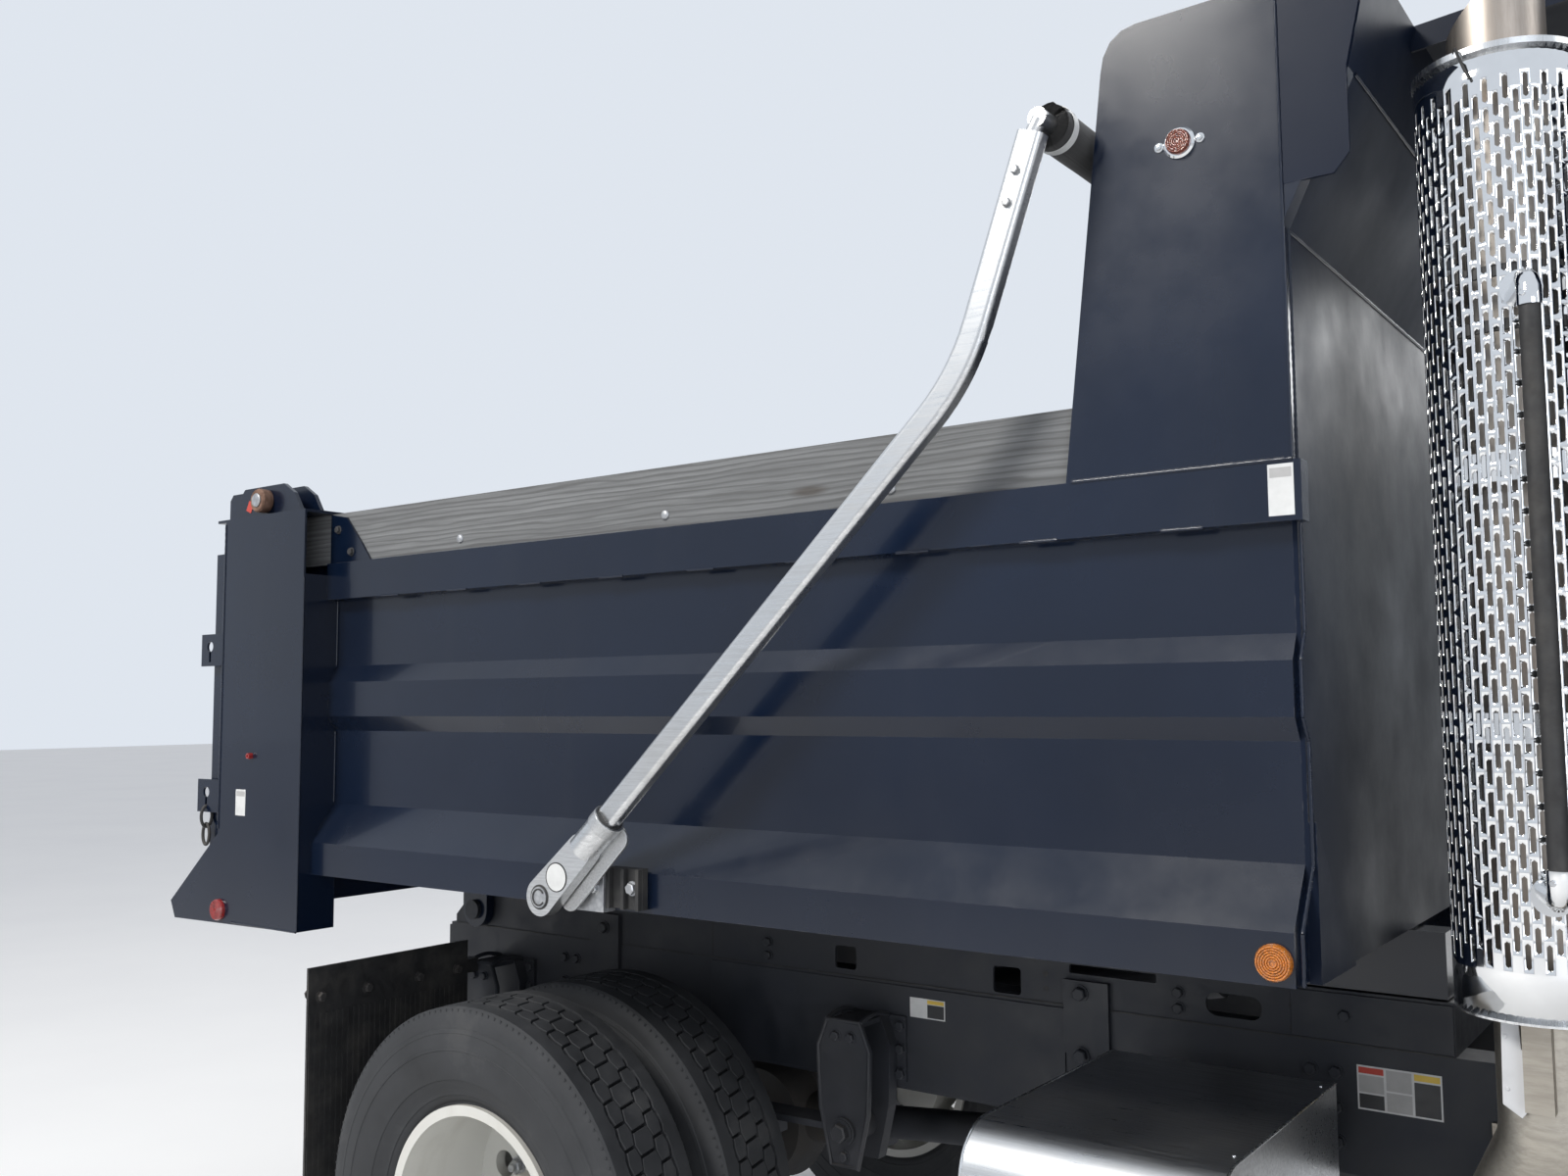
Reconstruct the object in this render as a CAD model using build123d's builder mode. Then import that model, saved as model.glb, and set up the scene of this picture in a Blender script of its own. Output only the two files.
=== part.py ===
# A single rear axle dump truck with a steel dump body, in millimetres.
# The frame has its origin on the ground under the middle of the truck: +X ahead, +Y left, +Z up.
# Lengths along the truck are given as distances ahead of the rear axle.

import os
from math import atan2, cos, degrees, hypot, radians, sin

from build123d import *

os.makedirs("parts", exist_ok=True)

# The overall layout

BODY_REAR = -1319
WHEELBASE = 4300
FRONT_OVERHANG = 1120
BUMPER_FRONT = WHEELBASE + FRONT_OVERHANG
REAR_AXLE_X = -(BUMPER_FRONT + BODY_REAR) / 2
TYRE_RADIUS = 525
AXLE_HEIGHT = TYRE_RADIUS
PIN_GAP = 0.3
MOVING_GAP = 5
SHEET = 6
SIDES = ((-1, "right"), (1, "left"))


# Planes: a side plane's sketch is (ahead, up), a cross plane's (left, up), a level plane's (ahead, left)


def side_plane(y):
    return Plane(origin=(REAR_AXLE_X, y, 0), x_dir=(1, 0, 0), z_dir=(0, -1, 0))


def cross_plane(x):
    return Plane(origin=(REAR_AXLE_X + x, 0, 0), x_dir=(0, 1, 0), z_dir=(1, 0, 0))


def level_plane(z):
    return Plane(origin=(REAR_AXLE_X, 0, z), x_dir=(1, 0, 0), z_dir=(0, 0, 1))


# Shapes that are added to, or cut from, the part that is open


def block(x_span, y_span, z_span, mode=Mode.ADD):
    """A straight block, from its spans along the truck, across it and up."""
    (x0, x1), (y0, y1), (z0, z1) = sorted(x_span), sorted(y_span), sorted(z_span)
    with Locations((REAR_AXLE_X + (x0 + x1) / 2, (y0 + y1) / 2, (z0 + z1) / 2)):
        Box(x1 - x0, y1 - y0, z1 - z0, mode=mode)


def side_plate(outline, y_span, mode=Mode.ADD):
    """A plate with an outline of (ahead, up) points, between two places across the truck."""
    with BuildSketch(side_plane(max(y_span))) as profile:
        with BuildLine():
            Polyline(*outline, close=True)
        make_face()
    extrude(profile.sketch, amount=max(y_span) - min(y_span), mode=mode)


def cross_plate(outline, x_span, mode=Mode.ADD):
    """A section of (left, up) points, drawn out between two places along the truck."""
    with BuildSketch(cross_plane(min(x_span))) as profile:
        with BuildLine():
            Polyline(*outline, close=True)
        make_face()
    extrude(profile.sketch, amount=max(x_span) - min(x_span), mode=mode)


def rod(start, end, radius, mode=Mode.ADD):
    """A round bar between two (ahead, left, up) points."""
    along = Vector(*end) - Vector(*start)
    base = Vector(*start) + Vector(REAR_AXLE_X, 0, 0)
    with BuildSketch(Plane(origin=base, z_dir=along)) as circle:
        Circle(radius)
    extrude(circle.sketch, amount=along.length, mode=mode)


def cross_pin(centre, y_span, radius, mode=Mode.ADD):
    """A round bar across the truck, with its axis through a (ahead, up) point."""
    x, z = centre
    rod((x, min(y_span), z), (x, max(y_span), z), radius, mode)


def spread(side, inner, outer):
    """The span across the truck between two distances from its middle, on one side."""
    return sorted((side * inner, side * outer))


# Frame rails: two channels, open towards the middle

RAIL_OUTER = 432
RAIL_FLANGE = 100
RAIL_WALL = 8
RAIL_BOTTOM = 805
RAIL_TOP = 1065
RAIL_REAR = -1000
RAIL_FRONT = WHEELBASE + 850
RAIL_INNER = RAIL_OUTER - RAIL_WALL


def channel(side, outer, width, bottom, top, wall):
    """The (left, up) outline of a channel with its web outside."""
    inner = outer - width
    web = outer - wall
    outline = ((outer, bottom), (outer, top), (inner, top), (inner, top - wall))
    outline += ((web, top - wall), (web, bottom + wall), (inner, bottom + wall), (inner, bottom))
    return [(side * y, z) for y, z in outline]


with BuildPart() as frame_rails:
    for side, hand in SIDES:
        rail_outline = channel(side, RAIL_OUTER, RAIL_FLANGE, RAIL_BOTTOM, RAIL_TOP, RAIL_WALL)
        cross_plate(rail_outline, (RAIL_REAR, RAIL_FRONT))

frame_rails.part.label = "frame_rails"
export_step(frame_rails.part, "parts/frame_rails.step")

# The hoist's geometry: the bed's hinge, the barrel's trunnion and the rod's pin at rest

BED_HINGE = (-850, 1120)
HOIST_FOOT = (300, 860)
HOIST_PIN = (1500, 1140)

# Frame crossmembers, seen from below, and the shaft that the hoist's barrel turns on

MEMBER_DEPTH = 190
MEMBER_BOTTOM = 845
MEMBER_FLANGE = 70
MEMBER_STATIONS = (-480, 1720, 2600, RAIL_FRONT - 200)
HOIST_SHAFT_RADIUS = 40

with BuildPart() as frame_crossmembers:
    for x in MEMBER_STATIONS:
        web_span = (x, x + RAIL_WALL)
        block(web_span, (-RAIL_INNER, RAIL_INNER), (MEMBER_BOTTOM, MEMBER_BOTTOM + MEMBER_DEPTH))
        for z in (MEMBER_BOTTOM, MEMBER_BOTTOM + MEMBER_DEPTH - RAIL_WALL):
            block((x, x + MEMBER_FLANGE), (-RAIL_INNER, RAIL_INNER), (z, z + RAIL_WALL))
    cross_pin(HOIST_FOOT, (-RAIL_INNER, RAIL_INNER), HOIST_SHAFT_RADIUS)

frame_crossmembers.part.label = "frame_crossmembers"
export_step(frame_crossmembers.part, "parts/frame_crossmembers.step")

# Subframe: two channels on the rails, with windows in their webs and the bed's hinge shaft

SUBFRAME_OUTER = 430
SUBFRAME_FLANGE = 98
SUBFRAME_REAR = -980
SUBFRAME_FRONT = 2000
SUBFRAME_TOP = 1170
SUBFRAME_WALL = 8
SUBFRAME_SLOPE = 80
HINGE_SHAFT_RADIUS = 30
HINGE_SHAFT_END = 480
# Each window: ahead, up, length, height and the round of its corners
SUBFRAME_WINDOWS = (
    (552, 1109, 66, 58, 8),
    (1018, 1104, 74, 63, 8),
    (1285, 1149, 210, 20, 4),
    (1562, 1110, 122, 50, 24),
)
# Each plate that ties the subframe to the rails: ahead, length, bottom, top
TIE_PLATES = ((1225, 110, 960, 1126), (-300, 110, 900, 1150))
TIE_THICKNESS = 12

with BuildPart() as subframe:
    for side, hand in SIDES:
        subframe_outline = channel(
            side, SUBFRAME_OUTER, SUBFRAME_FLANGE, RAIL_TOP, SUBFRAME_TOP, SUBFRAME_WALL
        )
        cross_plate(subframe_outline, (SUBFRAME_REAR, SUBFRAME_FRONT))
        web_cut = spread(side, SUBFRAME_OUTER - 2 * SUBFRAME_WALL, SUBFRAME_OUTER + SUBFRAME_WALL)
        for x, z, length, height, corner in SUBFRAME_WINDOWS:
            with BuildSketch(side_plane(max(web_cut))) as window:
                with Locations((x, z)):
                    RectangleRounded(length, height, corner)
            extrude(window.sketch, amount=max(web_cut) - min(web_cut), mode=Mode.SUBTRACT)
        for x, length, bottom, top in TIE_PLATES:
            tie_span = (x - length / 2, x + length / 2)
            block(tie_span, spread(side, RAIL_OUTER, RAIL_OUTER + TIE_THICKNESS), (bottom, top))
            block(tie_span, spread(side, SUBFRAME_OUTER, RAIL_OUTER), (RAIL_TOP, top))
    block(
        (SUBFRAME_FRONT - SUBFRAME_WALL, SUBFRAME_FRONT),
        (-SUBFRAME_OUTER, SUBFRAME_OUTER),
        (RAIL_TOP, SUBFRAME_TOP),
    )
    slope = (
        (SUBFRAME_REAR - 1, SUBFRAME_TOP - SUBFRAME_SLOPE),
        (SUBFRAME_REAR, SUBFRAME_TOP - SUBFRAME_SLOPE),
        (SUBFRAME_REAR + SUBFRAME_SLOPE, SUBFRAME_TOP),
        (SUBFRAME_REAR + SUBFRAME_SLOPE, SUBFRAME_TOP + 1),
        (SUBFRAME_REAR - 1, SUBFRAME_TOP + 1),
    )
    side_plate(slope, (-SUBFRAME_OUTER, SUBFRAME_OUTER), Mode.SUBTRACT)
    cross_pin(BED_HINGE, (-HINGE_SHAFT_END, HINGE_SHAFT_END), HINGE_SHAFT_RADIUS)

subframe.part.label = "subframe"
export_step(subframe.part, "parts/subframe.step")

# Bumper, with the arms that bolt to the rails and carry the hood's tilt pins

BUMPER_REAR = RAIL_FRONT + 100
BUMPER_BOTTOM = 420
BUMPER_TOP = 780
BUMPER_HALF = 1200
BUMPER_WALL = 8
BUMPER_CORNER = 120
ARM_WALL = 12
HOOD_HINGE = (RAIL_FRONT + 40, 790)
HOOD_PIN_RADIUS = 15
HOOD_HINGE_EYE = 28
HOOD_PIN_END = 500

with BuildPart() as bumper:
    with BuildSketch(level_plane(BUMPER_BOTTOM)) as bumper_plan:
        with BuildLine():
            Polyline(
                (BUMPER_REAR, -BUMPER_HALF),
                (BUMPER_FRONT - BUMPER_CORNER, -BUMPER_HALF),
                (BUMPER_FRONT, -BUMPER_HALF + BUMPER_CORNER),
                (BUMPER_FRONT, BUMPER_HALF - BUMPER_CORNER),
                (BUMPER_FRONT - BUMPER_CORNER, BUMPER_HALF),
                (BUMPER_REAR, BUMPER_HALF),
                close=True,
            )
        make_face()
        fillet(bumper_plan.vertices().sort_by(Axis.X)[-4:], radius=BUMPER_CORNER / 2)
    extrude(amount=BUMPER_TOP - BUMPER_BOTTOM)
    offset(amount=-BUMPER_WALL, openings=bumper.faces().sort_by(Axis.X)[0])
    for side, hand in SIDES:
        arm = spread(side, RAIL_OUTER, RAIL_OUTER + ARM_WALL)
        block((RAIL_FRONT - 180, RAIL_FRONT - 20), arm, (BUMPER_BOTTOM + 180, RAIL_TOP - 65))
        arm_reach = (RAIL_FRONT - 40, BUMPER_FRONT - BUMPER_WALL)
        block(arm_reach, arm, (BUMPER_BOTTOM + 2 * BUMPER_WALL, BUMPER_TOP - BUMPER_WALL))
        cross_pin(HOOD_HINGE, arm, HOOD_HINGE_EYE)
        cross_pin(HOOD_HINGE, spread(side, RAIL_OUTER, HOOD_PIN_END), HOOD_PIN_RADIUS)

bumper.part.label = "bumper"
export_step(bumper.part, "parts/bumper.step")

# Front axle: a dropped beam with an upright boss at each end for the kingpin

FRONT_TYRE_MIDDLE = 1030
KINGPIN_Y = 800
KINGPIN_RADIUS = 18
KINGPIN_BOSS_RADIUS = 38
KINGPIN_BOSS_HALF = 60
BEAM_HALF_LENGTH = 45
BEAM_DEPTH = 90
BEAM_DROP = 80
BEAM_FLAT_HALF = 450
BEAM_RISE_END = 700
SPRING_SEAT_TOP = AXLE_HEIGHT - BEAM_DROP + BEAM_DEPTH / 2

beam_half_outline = (
    (BEAM_FLAT_HALF, AXLE_HEIGHT - BEAM_DROP - BEAM_DEPTH / 2),
    (BEAM_RISE_END, AXLE_HEIGHT - BEAM_DEPTH / 2),
    (KINGPIN_Y - KINGPIN_RADIUS - PIN_GAP, AXLE_HEIGHT - BEAM_DEPTH / 2),
    (KINGPIN_Y - KINGPIN_RADIUS - PIN_GAP, AXLE_HEIGHT + BEAM_DEPTH / 2),
    (BEAM_RISE_END, AXLE_HEIGHT + BEAM_DEPTH / 2),
    (BEAM_FLAT_HALF, SPRING_SEAT_TOP),
)

with BuildPart() as front_axle:
    beam_outline = list(beam_half_outline) + [(-y, z) for y, z in reversed(beam_half_outline)]
    cross_plate(beam_outline, (WHEELBASE - BEAM_HALF_LENGTH, WHEELBASE + BEAM_HALF_LENGTH))
    for side, hand in SIDES:
        boss_foot = (WHEELBASE, side * KINGPIN_Y, AXLE_HEIGHT - KINGPIN_BOSS_HALF)
        boss_head = (WHEELBASE, side * KINGPIN_Y, AXLE_HEIGHT + KINGPIN_BOSS_HALF)
        rod(boss_foot, boss_head, KINGPIN_BOSS_RADIUS)
        rod(boss_foot, boss_head, KINGPIN_RADIUS + PIN_GAP, Mode.SUBTRACT)

front_axle.part.label = "front_axle"
export_step(front_axle.part, "parts/front_axle.step")

# Knuckles: two ears over the beam's boss, the kingpin, a spindle and a steering arm to the rear

EAR_THICKNESS = 35
EAR_GAP = 0.5
KNUCKLE_PLATE_INNER = 845
KNUCKLE_PLATE = 32
KNUCKLE_HALF_LENGTH = 55
FRONT_SPINDLE_RADIUS = 35
FRONT_SPINDLE_END = 1120
STEERING_ARM = 150
STEERING_ARM_HALF = 20

for side, hand in SIDES:
    ear_low = AXLE_HEIGHT - KINGPIN_BOSS_HALF - EAR_GAP - EAR_THICKNESS
    ear_high = AXLE_HEIGHT + KINGPIN_BOSS_HALF + EAR_GAP
    with BuildPart() as knuckle:
        for ear in (ear_low, ear_high):
            ear_middle = (WHEELBASE, side * KINGPIN_Y)
            rod((*ear_middle, ear), (*ear_middle, ear + EAR_THICKNESS), KINGPIN_BOSS_RADIUS)
            block(
                (WHEELBASE - KINGPIN_BOSS_RADIUS, WHEELBASE + KINGPIN_BOSS_RADIUS),
                spread(side, KINGPIN_Y, KNUCKLE_PLATE_INNER),
                (ear, ear + EAR_THICKNESS),
            )
        block(
            (WHEELBASE - KNUCKLE_HALF_LENGTH, WHEELBASE + KNUCKLE_HALF_LENGTH),
            spread(side, KNUCKLE_PLATE_INNER, KNUCKLE_PLATE_INNER + KNUCKLE_PLATE),
            (ear_low, ear_high + EAR_THICKNESS),
        )
        block(
            (WHEELBASE - STEERING_ARM, WHEELBASE),
            spread(side, KINGPIN_Y - STEERING_ARM_HALF, KINGPIN_Y + STEERING_ARM_HALF),
            (ear_low, ear_low + EAR_THICKNESS),
        )
        rod((*ear_middle, ear_low), (*ear_middle, ear_high + EAR_THICKNESS), KINGPIN_RADIUS)
        cross_pin(
            (WHEELBASE, AXLE_HEIGHT),
            spread(side, KNUCKLE_PLATE_INNER, FRONT_SPINDLE_END),
            FRONT_SPINDLE_RADIUS,
        )
    knuckle.part.label = f"knuckle_{hand}"
    export_step(knuckle.part, f"parts/knuckle_{hand}.step")

# Rear axle: a tube with a round housing for the final drive, the pinion's nose and two spindles

REAR_TUBE_RADIUS = 65
REAR_TUBE_END = 612
REAR_SPINDLE_RADIUS = 45
REAR_SPINDLE_END = 985
DRIVE_RADIUS = 185
DRIVE_HALF_WIDTH = 95
PINION_RADIUS = 75
PINION_NOSE = (330, 560)

with BuildPart() as rear_axle:
    cross_pin((0, AXLE_HEIGHT), (-REAR_TUBE_END, REAR_TUBE_END), REAR_TUBE_RADIUS)
    cross_pin((0, AXLE_HEIGHT), (-REAR_SPINDLE_END, REAR_SPINDLE_END), REAR_SPINDLE_RADIUS)
    with BuildSketch(side_plane(0)) as drive_half:
        with Locations((0, AXLE_HEIGHT)):
            Circle(DRIVE_RADIUS)
    extrude(drive_half.sketch, amount=DRIVE_HALF_WIDTH, both=True, taper=20)
    rod((0, 0, AXLE_HEIGHT), (PINION_NOSE[0], 0, PINION_NOSE[1]), PINION_RADIUS)

rear_axle.part.label = "rear_axle"
export_step(rear_axle.part, "parts/rear_axle.step")

# Driveshaft, from the gearbox to the pinion, with a collar for each joint

GEARBOX_REAR = 2850
GEARBOX_SHAFT_HEIGHT = 800
DRIVESHAFT_RADIUS = 45
COLLAR_RADIUS = 65
COLLAR_LENGTH = 70
SEAT_GAP = 0.3

with BuildPart() as driveshaft:
    rise = GEARBOX_SHAFT_HEIGHT - PINION_NOSE[1]
    run = GEARBOX_REAR - PINION_NOSE[0]
    shaft_length = hypot(run, rise)
    ahead, up = run / shaft_length, rise / shaft_length

    def shaft_point(distance):
        """A point on the shaft's line, by its distance from the pinion's nose."""
        return (PINION_NOSE[0] + ahead * distance, 0, PINION_NOSE[1] + up * distance)

    shaft_start = COLLAR_RADIUS * up + 4
    shaft_end = shaft_length - COLLAR_RADIUS * up - SEAT_GAP
    rod(shaft_point(shaft_start), shaft_point(shaft_end), DRIVESHAFT_RADIUS)
    rod(shaft_point(shaft_start), shaft_point(shaft_start + COLLAR_LENGTH), COLLAR_RADIUS)
    rod(shaft_point(shaft_end - COLLAR_LENGTH), shaft_point(shaft_end), COLLAR_RADIUS)

driveshaft.part.label = "driveshaft"
export_step(driveshaft.part, "parts/driveshaft.step")

# Leaf springs: a curved pack of leaves, an eye at each end and a hanger from the rail

REAR_SPRING_INNER = 480
REAR_SPRING_OUTER = 560
REAR_SPRING_FRONT = 640
REAR_SPRING_BACK = -700
REAR_SPRING_EYE_HEIGHT = 730
REAR_PACK_DEPTH = 110
FRONT_SPRING_INNER = 335
FRONT_SPRING_OUTER = 415
FRONT_SPRING_REACH = 620
FRONT_SPRING_EYE_HEIGHT = 590
FRONT_PACK_DEPTH = 60
LEAF = 16
SPRING_EYE = 34
LEAF_BITE = 4
HANGER_TOP = RAIL_TOP - 80
HANGER_HEAD = 48
HANGER_FOOT = 100
HANGER_BOSS = 22
# A rear hanger's cheek, from its foot round to its head: ahead of its pin, and up
HANGER_CHEEK = (
    (-38, REAR_SPRING_EYE_HEIGHT - 92),
    (38, REAR_SPRING_EYE_HEIGHT - 92),
    (70, REAR_SPRING_EYE_HEIGHT + 40),
    (76, HANGER_TOP - 65),
    (HANGER_HEAD, HANGER_TOP),
    (-HANGER_HEAD, HANGER_TOP),
    (-76, HANGER_TOP - 65),
    (-70, REAR_SPRING_EYE_HEIGHT + 40),
)
# Each step of a pack: share of the spring's reach, thickness as a share of what lies under the main leaf
LEAF_STEPS = ((1, 0), (0.62, 0.5), (0.34, 1))


def leaf_pack(x_span, seat, seat_height, eye_height, depth, y_span):
    """A spring: a main leaf on an arc through its two eyes, and shorter leaves under it at its seat."""
    back, front = x_span
    top = seat_height + depth
    for reach, share in LEAF_STEPS:
        low = top - LEAF - (depth - LEAF) * share
        high = top - LEAF + LEAF_BITE if share else top
        lift = (eye_height - top) * reach**2
        ends = (seat + (back - seat) * reach, seat + (front - seat) * reach)
        with BuildSketch(side_plane(max(y_span))) as leaf:
            with BuildLine():
                upper = ThreePointArc((ends[0], high + lift), (seat, high), (ends[1], high + lift))
                lower = ThreePointArc((ends[0], low + lift), (seat, low), (ends[1], low + lift))
                Line(upper @ 0, lower @ 0)
                Line(upper @ 1, lower @ 1)
            make_face()
        extrude(leaf.sketch, amount=max(y_span) - min(y_span))
    for x in x_span:
        cross_pin((x, eye_height - LEAF / 2), y_span, SPRING_EYE)


for side, hand in SIDES:
    with BuildPart() as rear_spring:
        pack = spread(side, REAR_SPRING_INNER, REAR_SPRING_OUTER)
        seat_height = AXLE_HEIGHT + REAR_TUBE_RADIUS
        spring_ends = (REAR_SPRING_BACK, REAR_SPRING_FRONT)
        leaf_pack(spring_ends, 0, seat_height + 20, REAR_SPRING_EYE_HEIGHT, REAR_PACK_DEPTH, pack)
        block((-80, 80), pack, (seat_height + SEAT_GAP, seat_height + 60))
        for x in spring_ends:
            cheek = [(x + ahead, z) for ahead, z in HANGER_CHEEK]
            side_plate(cheek, spread(side, RAIL_OUTER + TIE_THICKNESS, REAR_SPRING_INNER))
            side_plate(cheek, spread(side, REAR_SPRING_OUTER, REAR_SPRING_OUTER + TIE_THICKNESS))
            bolted = (x - HANGER_FOOT, x + HANGER_FOOT)
            foot = spread(side, RAIL_OUTER, RAIL_OUTER + TIE_THICKNESS)
            block(bolted, foot, (RAIL_BOTTOM + 20, HANGER_TOP))
            shelf = spread(side, RAIL_OUTER, REAR_SPRING_OUTER + TIE_THICKNESS)
            block((x - HANGER_HEAD, x + HANGER_HEAD), shelf, (HANGER_TOP - TIE_THICKNESS, HANGER_TOP))
            boss = spread(side, RAIL_OUTER + TIE_THICKNESS, REAR_SPRING_OUTER + HANGER_BOSS)
            cross_pin((x, REAR_SPRING_EYE_HEIGHT - LEAF / 2), boss, SPRING_EYE - PIN_GAP)
    rear_spring.part.label = f"rear_spring_{hand}"
    export_step(rear_spring.part, f"parts/rear_spring_{hand}.step")

with BuildPart() as front_springs:
    for side, hand in SIDES:
        pack = spread(side, FRONT_SPRING_INNER, FRONT_SPRING_OUTER)
        spring_ends = (WHEELBASE - FRONT_SPRING_REACH, WHEELBASE + FRONT_SPRING_REACH)
        seat_height = SPRING_SEAT_TOP + SEAT_GAP
        leaf_pack(
            spring_ends, WHEELBASE, seat_height, FRONT_SPRING_EYE_HEIGHT, FRONT_PACK_DEPTH, pack
        )
        for x in spring_ends:
            hanger_span = (x - 30, x + 30)
            block(hanger_span, pack, (FRONT_SPRING_EYE_HEIGHT, RAIL_BOTTOM))

front_springs.part.label = "front_springs"
export_step(front_springs.part, "parts/front_springs.step")

# Wheels: tyres, and rims with the hub and the brake drum, turned about the axle

TYRE_WIDTH = 279
TYRE_BEAD_RADIUS = 286
TYRE_BEAD_HALF = 100
TYRE_BULGE_RADIUS = 400
TYRE_SHOULDER_RADIUS = 503
TYRE_SHOULDER_HALF = 124
TREAD_HALF = 110
RIM_FLANGE_RADIUS = 294.5
RIM_WALL = 16
FLANGE_WIDTH = 12
DUAL_OUTER_MIDDLE = 1086.5
DUAL_INNER_MIDDLE = 743.5
TYRE_SEAT_GAP = 0.3


def wheel_plane(x):
    """A plane through the wheel's axle: sketches are (left, above the axle)."""
    return Plane(origin=(REAR_AXLE_X + x, 0, AXLE_HEIGHT), x_dir=(0, 1, 0), z_dir=(1, 0, 0))


def axle_line(x):
    """The axis that a wheel is turned about."""
    return Axis((REAR_AXLE_X + x, 0, AXLE_HEIGHT), (0, 1, 0))


def tyre(x, middle):
    """A tyre with bulged sidewalls and a flat tread."""
    with BuildSketch(wheel_plane(x)) as section:
        for half in (-1, 1):
            with BuildLine():
                Polyline(
                    (middle, TYRE_BEAD_RADIUS),
                    (middle + half * TYRE_BEAD_HALF, TYRE_BEAD_RADIUS),
                    (middle + half * TYRE_BEAD_HALF, TYRE_BEAD_RADIUS + RIM_WALL),
                )
                ThreePointArc(
                    (middle + half * TYRE_BEAD_HALF, TYRE_BEAD_RADIUS + RIM_WALL),
                    (middle + half * TYRE_WIDTH / 2, TYRE_BULGE_RADIUS),
                    (middle + half * TYRE_SHOULDER_HALF, TYRE_SHOULDER_RADIUS),
                )
                Polyline(
                    (middle + half * TYRE_SHOULDER_HALF, TYRE_SHOULDER_RADIUS),
                    (middle + half * TREAD_HALF, TYRE_RADIUS),
                    (middle, TYRE_RADIUS),
                    (middle, TYRE_BEAD_RADIUS),
                )
            make_face()
    revolve(section.sketch, axis=axle_line(x))


def turned(x, y_span, inner, outer, mode=Mode.ADD):
    """A ring about the axle, between two places across the truck and two radii."""
    low, high = sorted(y_span)
    with BuildSketch(wheel_plane(x)) as section:
        with Locations(((low + high) / 2, (inner + outer) / 2)):
            Rectangle(high - low, outer - inner)
    revolve(section.sketch, axis=axle_line(x), mode=mode)


RIM_OUTER = TYRE_BEAD_RADIUS - TYRE_SEAT_GAP
RIM_INNER = RIM_OUTER - RIM_WALL
RIM_HALF = TYRE_BEAD_HALF + TYRE_SEAT_GAP + FLANGE_WIDTH
DISC = 25
HAND_HOLES = 5
HAND_HOLE_RADIUS = 34
HAND_HOLE_CIRCLE = 190
DRUM_RADIUS = 205
HUB_RADIUS = 92


def hand_holes(x, y_span):
    """The round holes in a wheel's disc."""
    for i in range(HAND_HOLES):
        turn = radians(360 * i / HAND_HOLES + 90)
        centre = (x + HAND_HOLE_CIRCLE * cos(turn), AXLE_HEIGHT + HAND_HOLE_CIRCLE * sin(turn))
        cross_pin(centre, y_span, HAND_HOLE_RADIUS, Mode.SUBTRACT)


def flanges(x, side, middle):
    """The two flanges that hold a tyre's beads."""
    for half in (-1, 1):
        edge = middle + half * (TYRE_BEAD_HALF + TYRE_SEAT_GAP)
        turned(x, (side * edge, side * (edge + half * FLANGE_WIDTH)), RIM_INNER, RIM_FLANGE_RADIUS)


FRONT_DISC_OUTER = 1100
FRONT_HUB_INNER = 890
FRONT_HUB_OUTER = 1160
FRONT_DRUM_OUTER = 1050

for side, hand in SIDES:
    with BuildPart() as front_tyre:
        tyre(WHEELBASE, side * FRONT_TYRE_MIDDLE)
    front_tyre.part.label = f"front_tyre_{hand}"
    export_step(front_tyre.part, f"parts/front_tyre_{hand}.step")

    with BuildPart() as front_rim:
        rim_span = (side * (FRONT_TYRE_MIDDLE - RIM_HALF), side * (FRONT_TYRE_MIDDLE + RIM_HALF))
        turned(WHEELBASE, rim_span, RIM_INNER, RIM_OUTER)
        flanges(WHEELBASE, side, FRONT_TYRE_MIDDLE)
        disc_span = (side * (FRONT_DISC_OUTER - DISC), side * FRONT_DISC_OUTER)
        turned(WHEELBASE, disc_span, HUB_RADIUS, RIM_INNER)
        hand_holes(WHEELBASE, disc_span)
        turned(WHEELBASE, (side * FRONT_HUB_INNER, side * FRONT_DRUM_OUTER), HUB_RADIUS, DRUM_RADIUS)
        hub_span = (side * FRONT_HUB_INNER, side * FRONT_HUB_OUTER)
        turned(WHEELBASE, hub_span, 0, HUB_RADIUS)
        spindle_hole = spread(side, FRONT_HUB_INNER - 1, FRONT_SPINDLE_END + PIN_GAP)
        hole_radius = FRONT_SPINDLE_RADIUS + PIN_GAP
        cross_pin((WHEELBASE, AXLE_HEIGHT), spindle_hole, hole_radius, Mode.SUBTRACT)
    front_rim.part.label = f"front_rim_{hand}"
    export_step(front_rim.part, f"parts/front_rim_{hand}.step")

DUAL_DISC_INNER = 900
DUAL_DISC_OUTER = 930
REAR_HUB_INNER = 620
REAR_HUB_OUTER = 1040
REAR_DRUM_OUTER = 800

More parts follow.
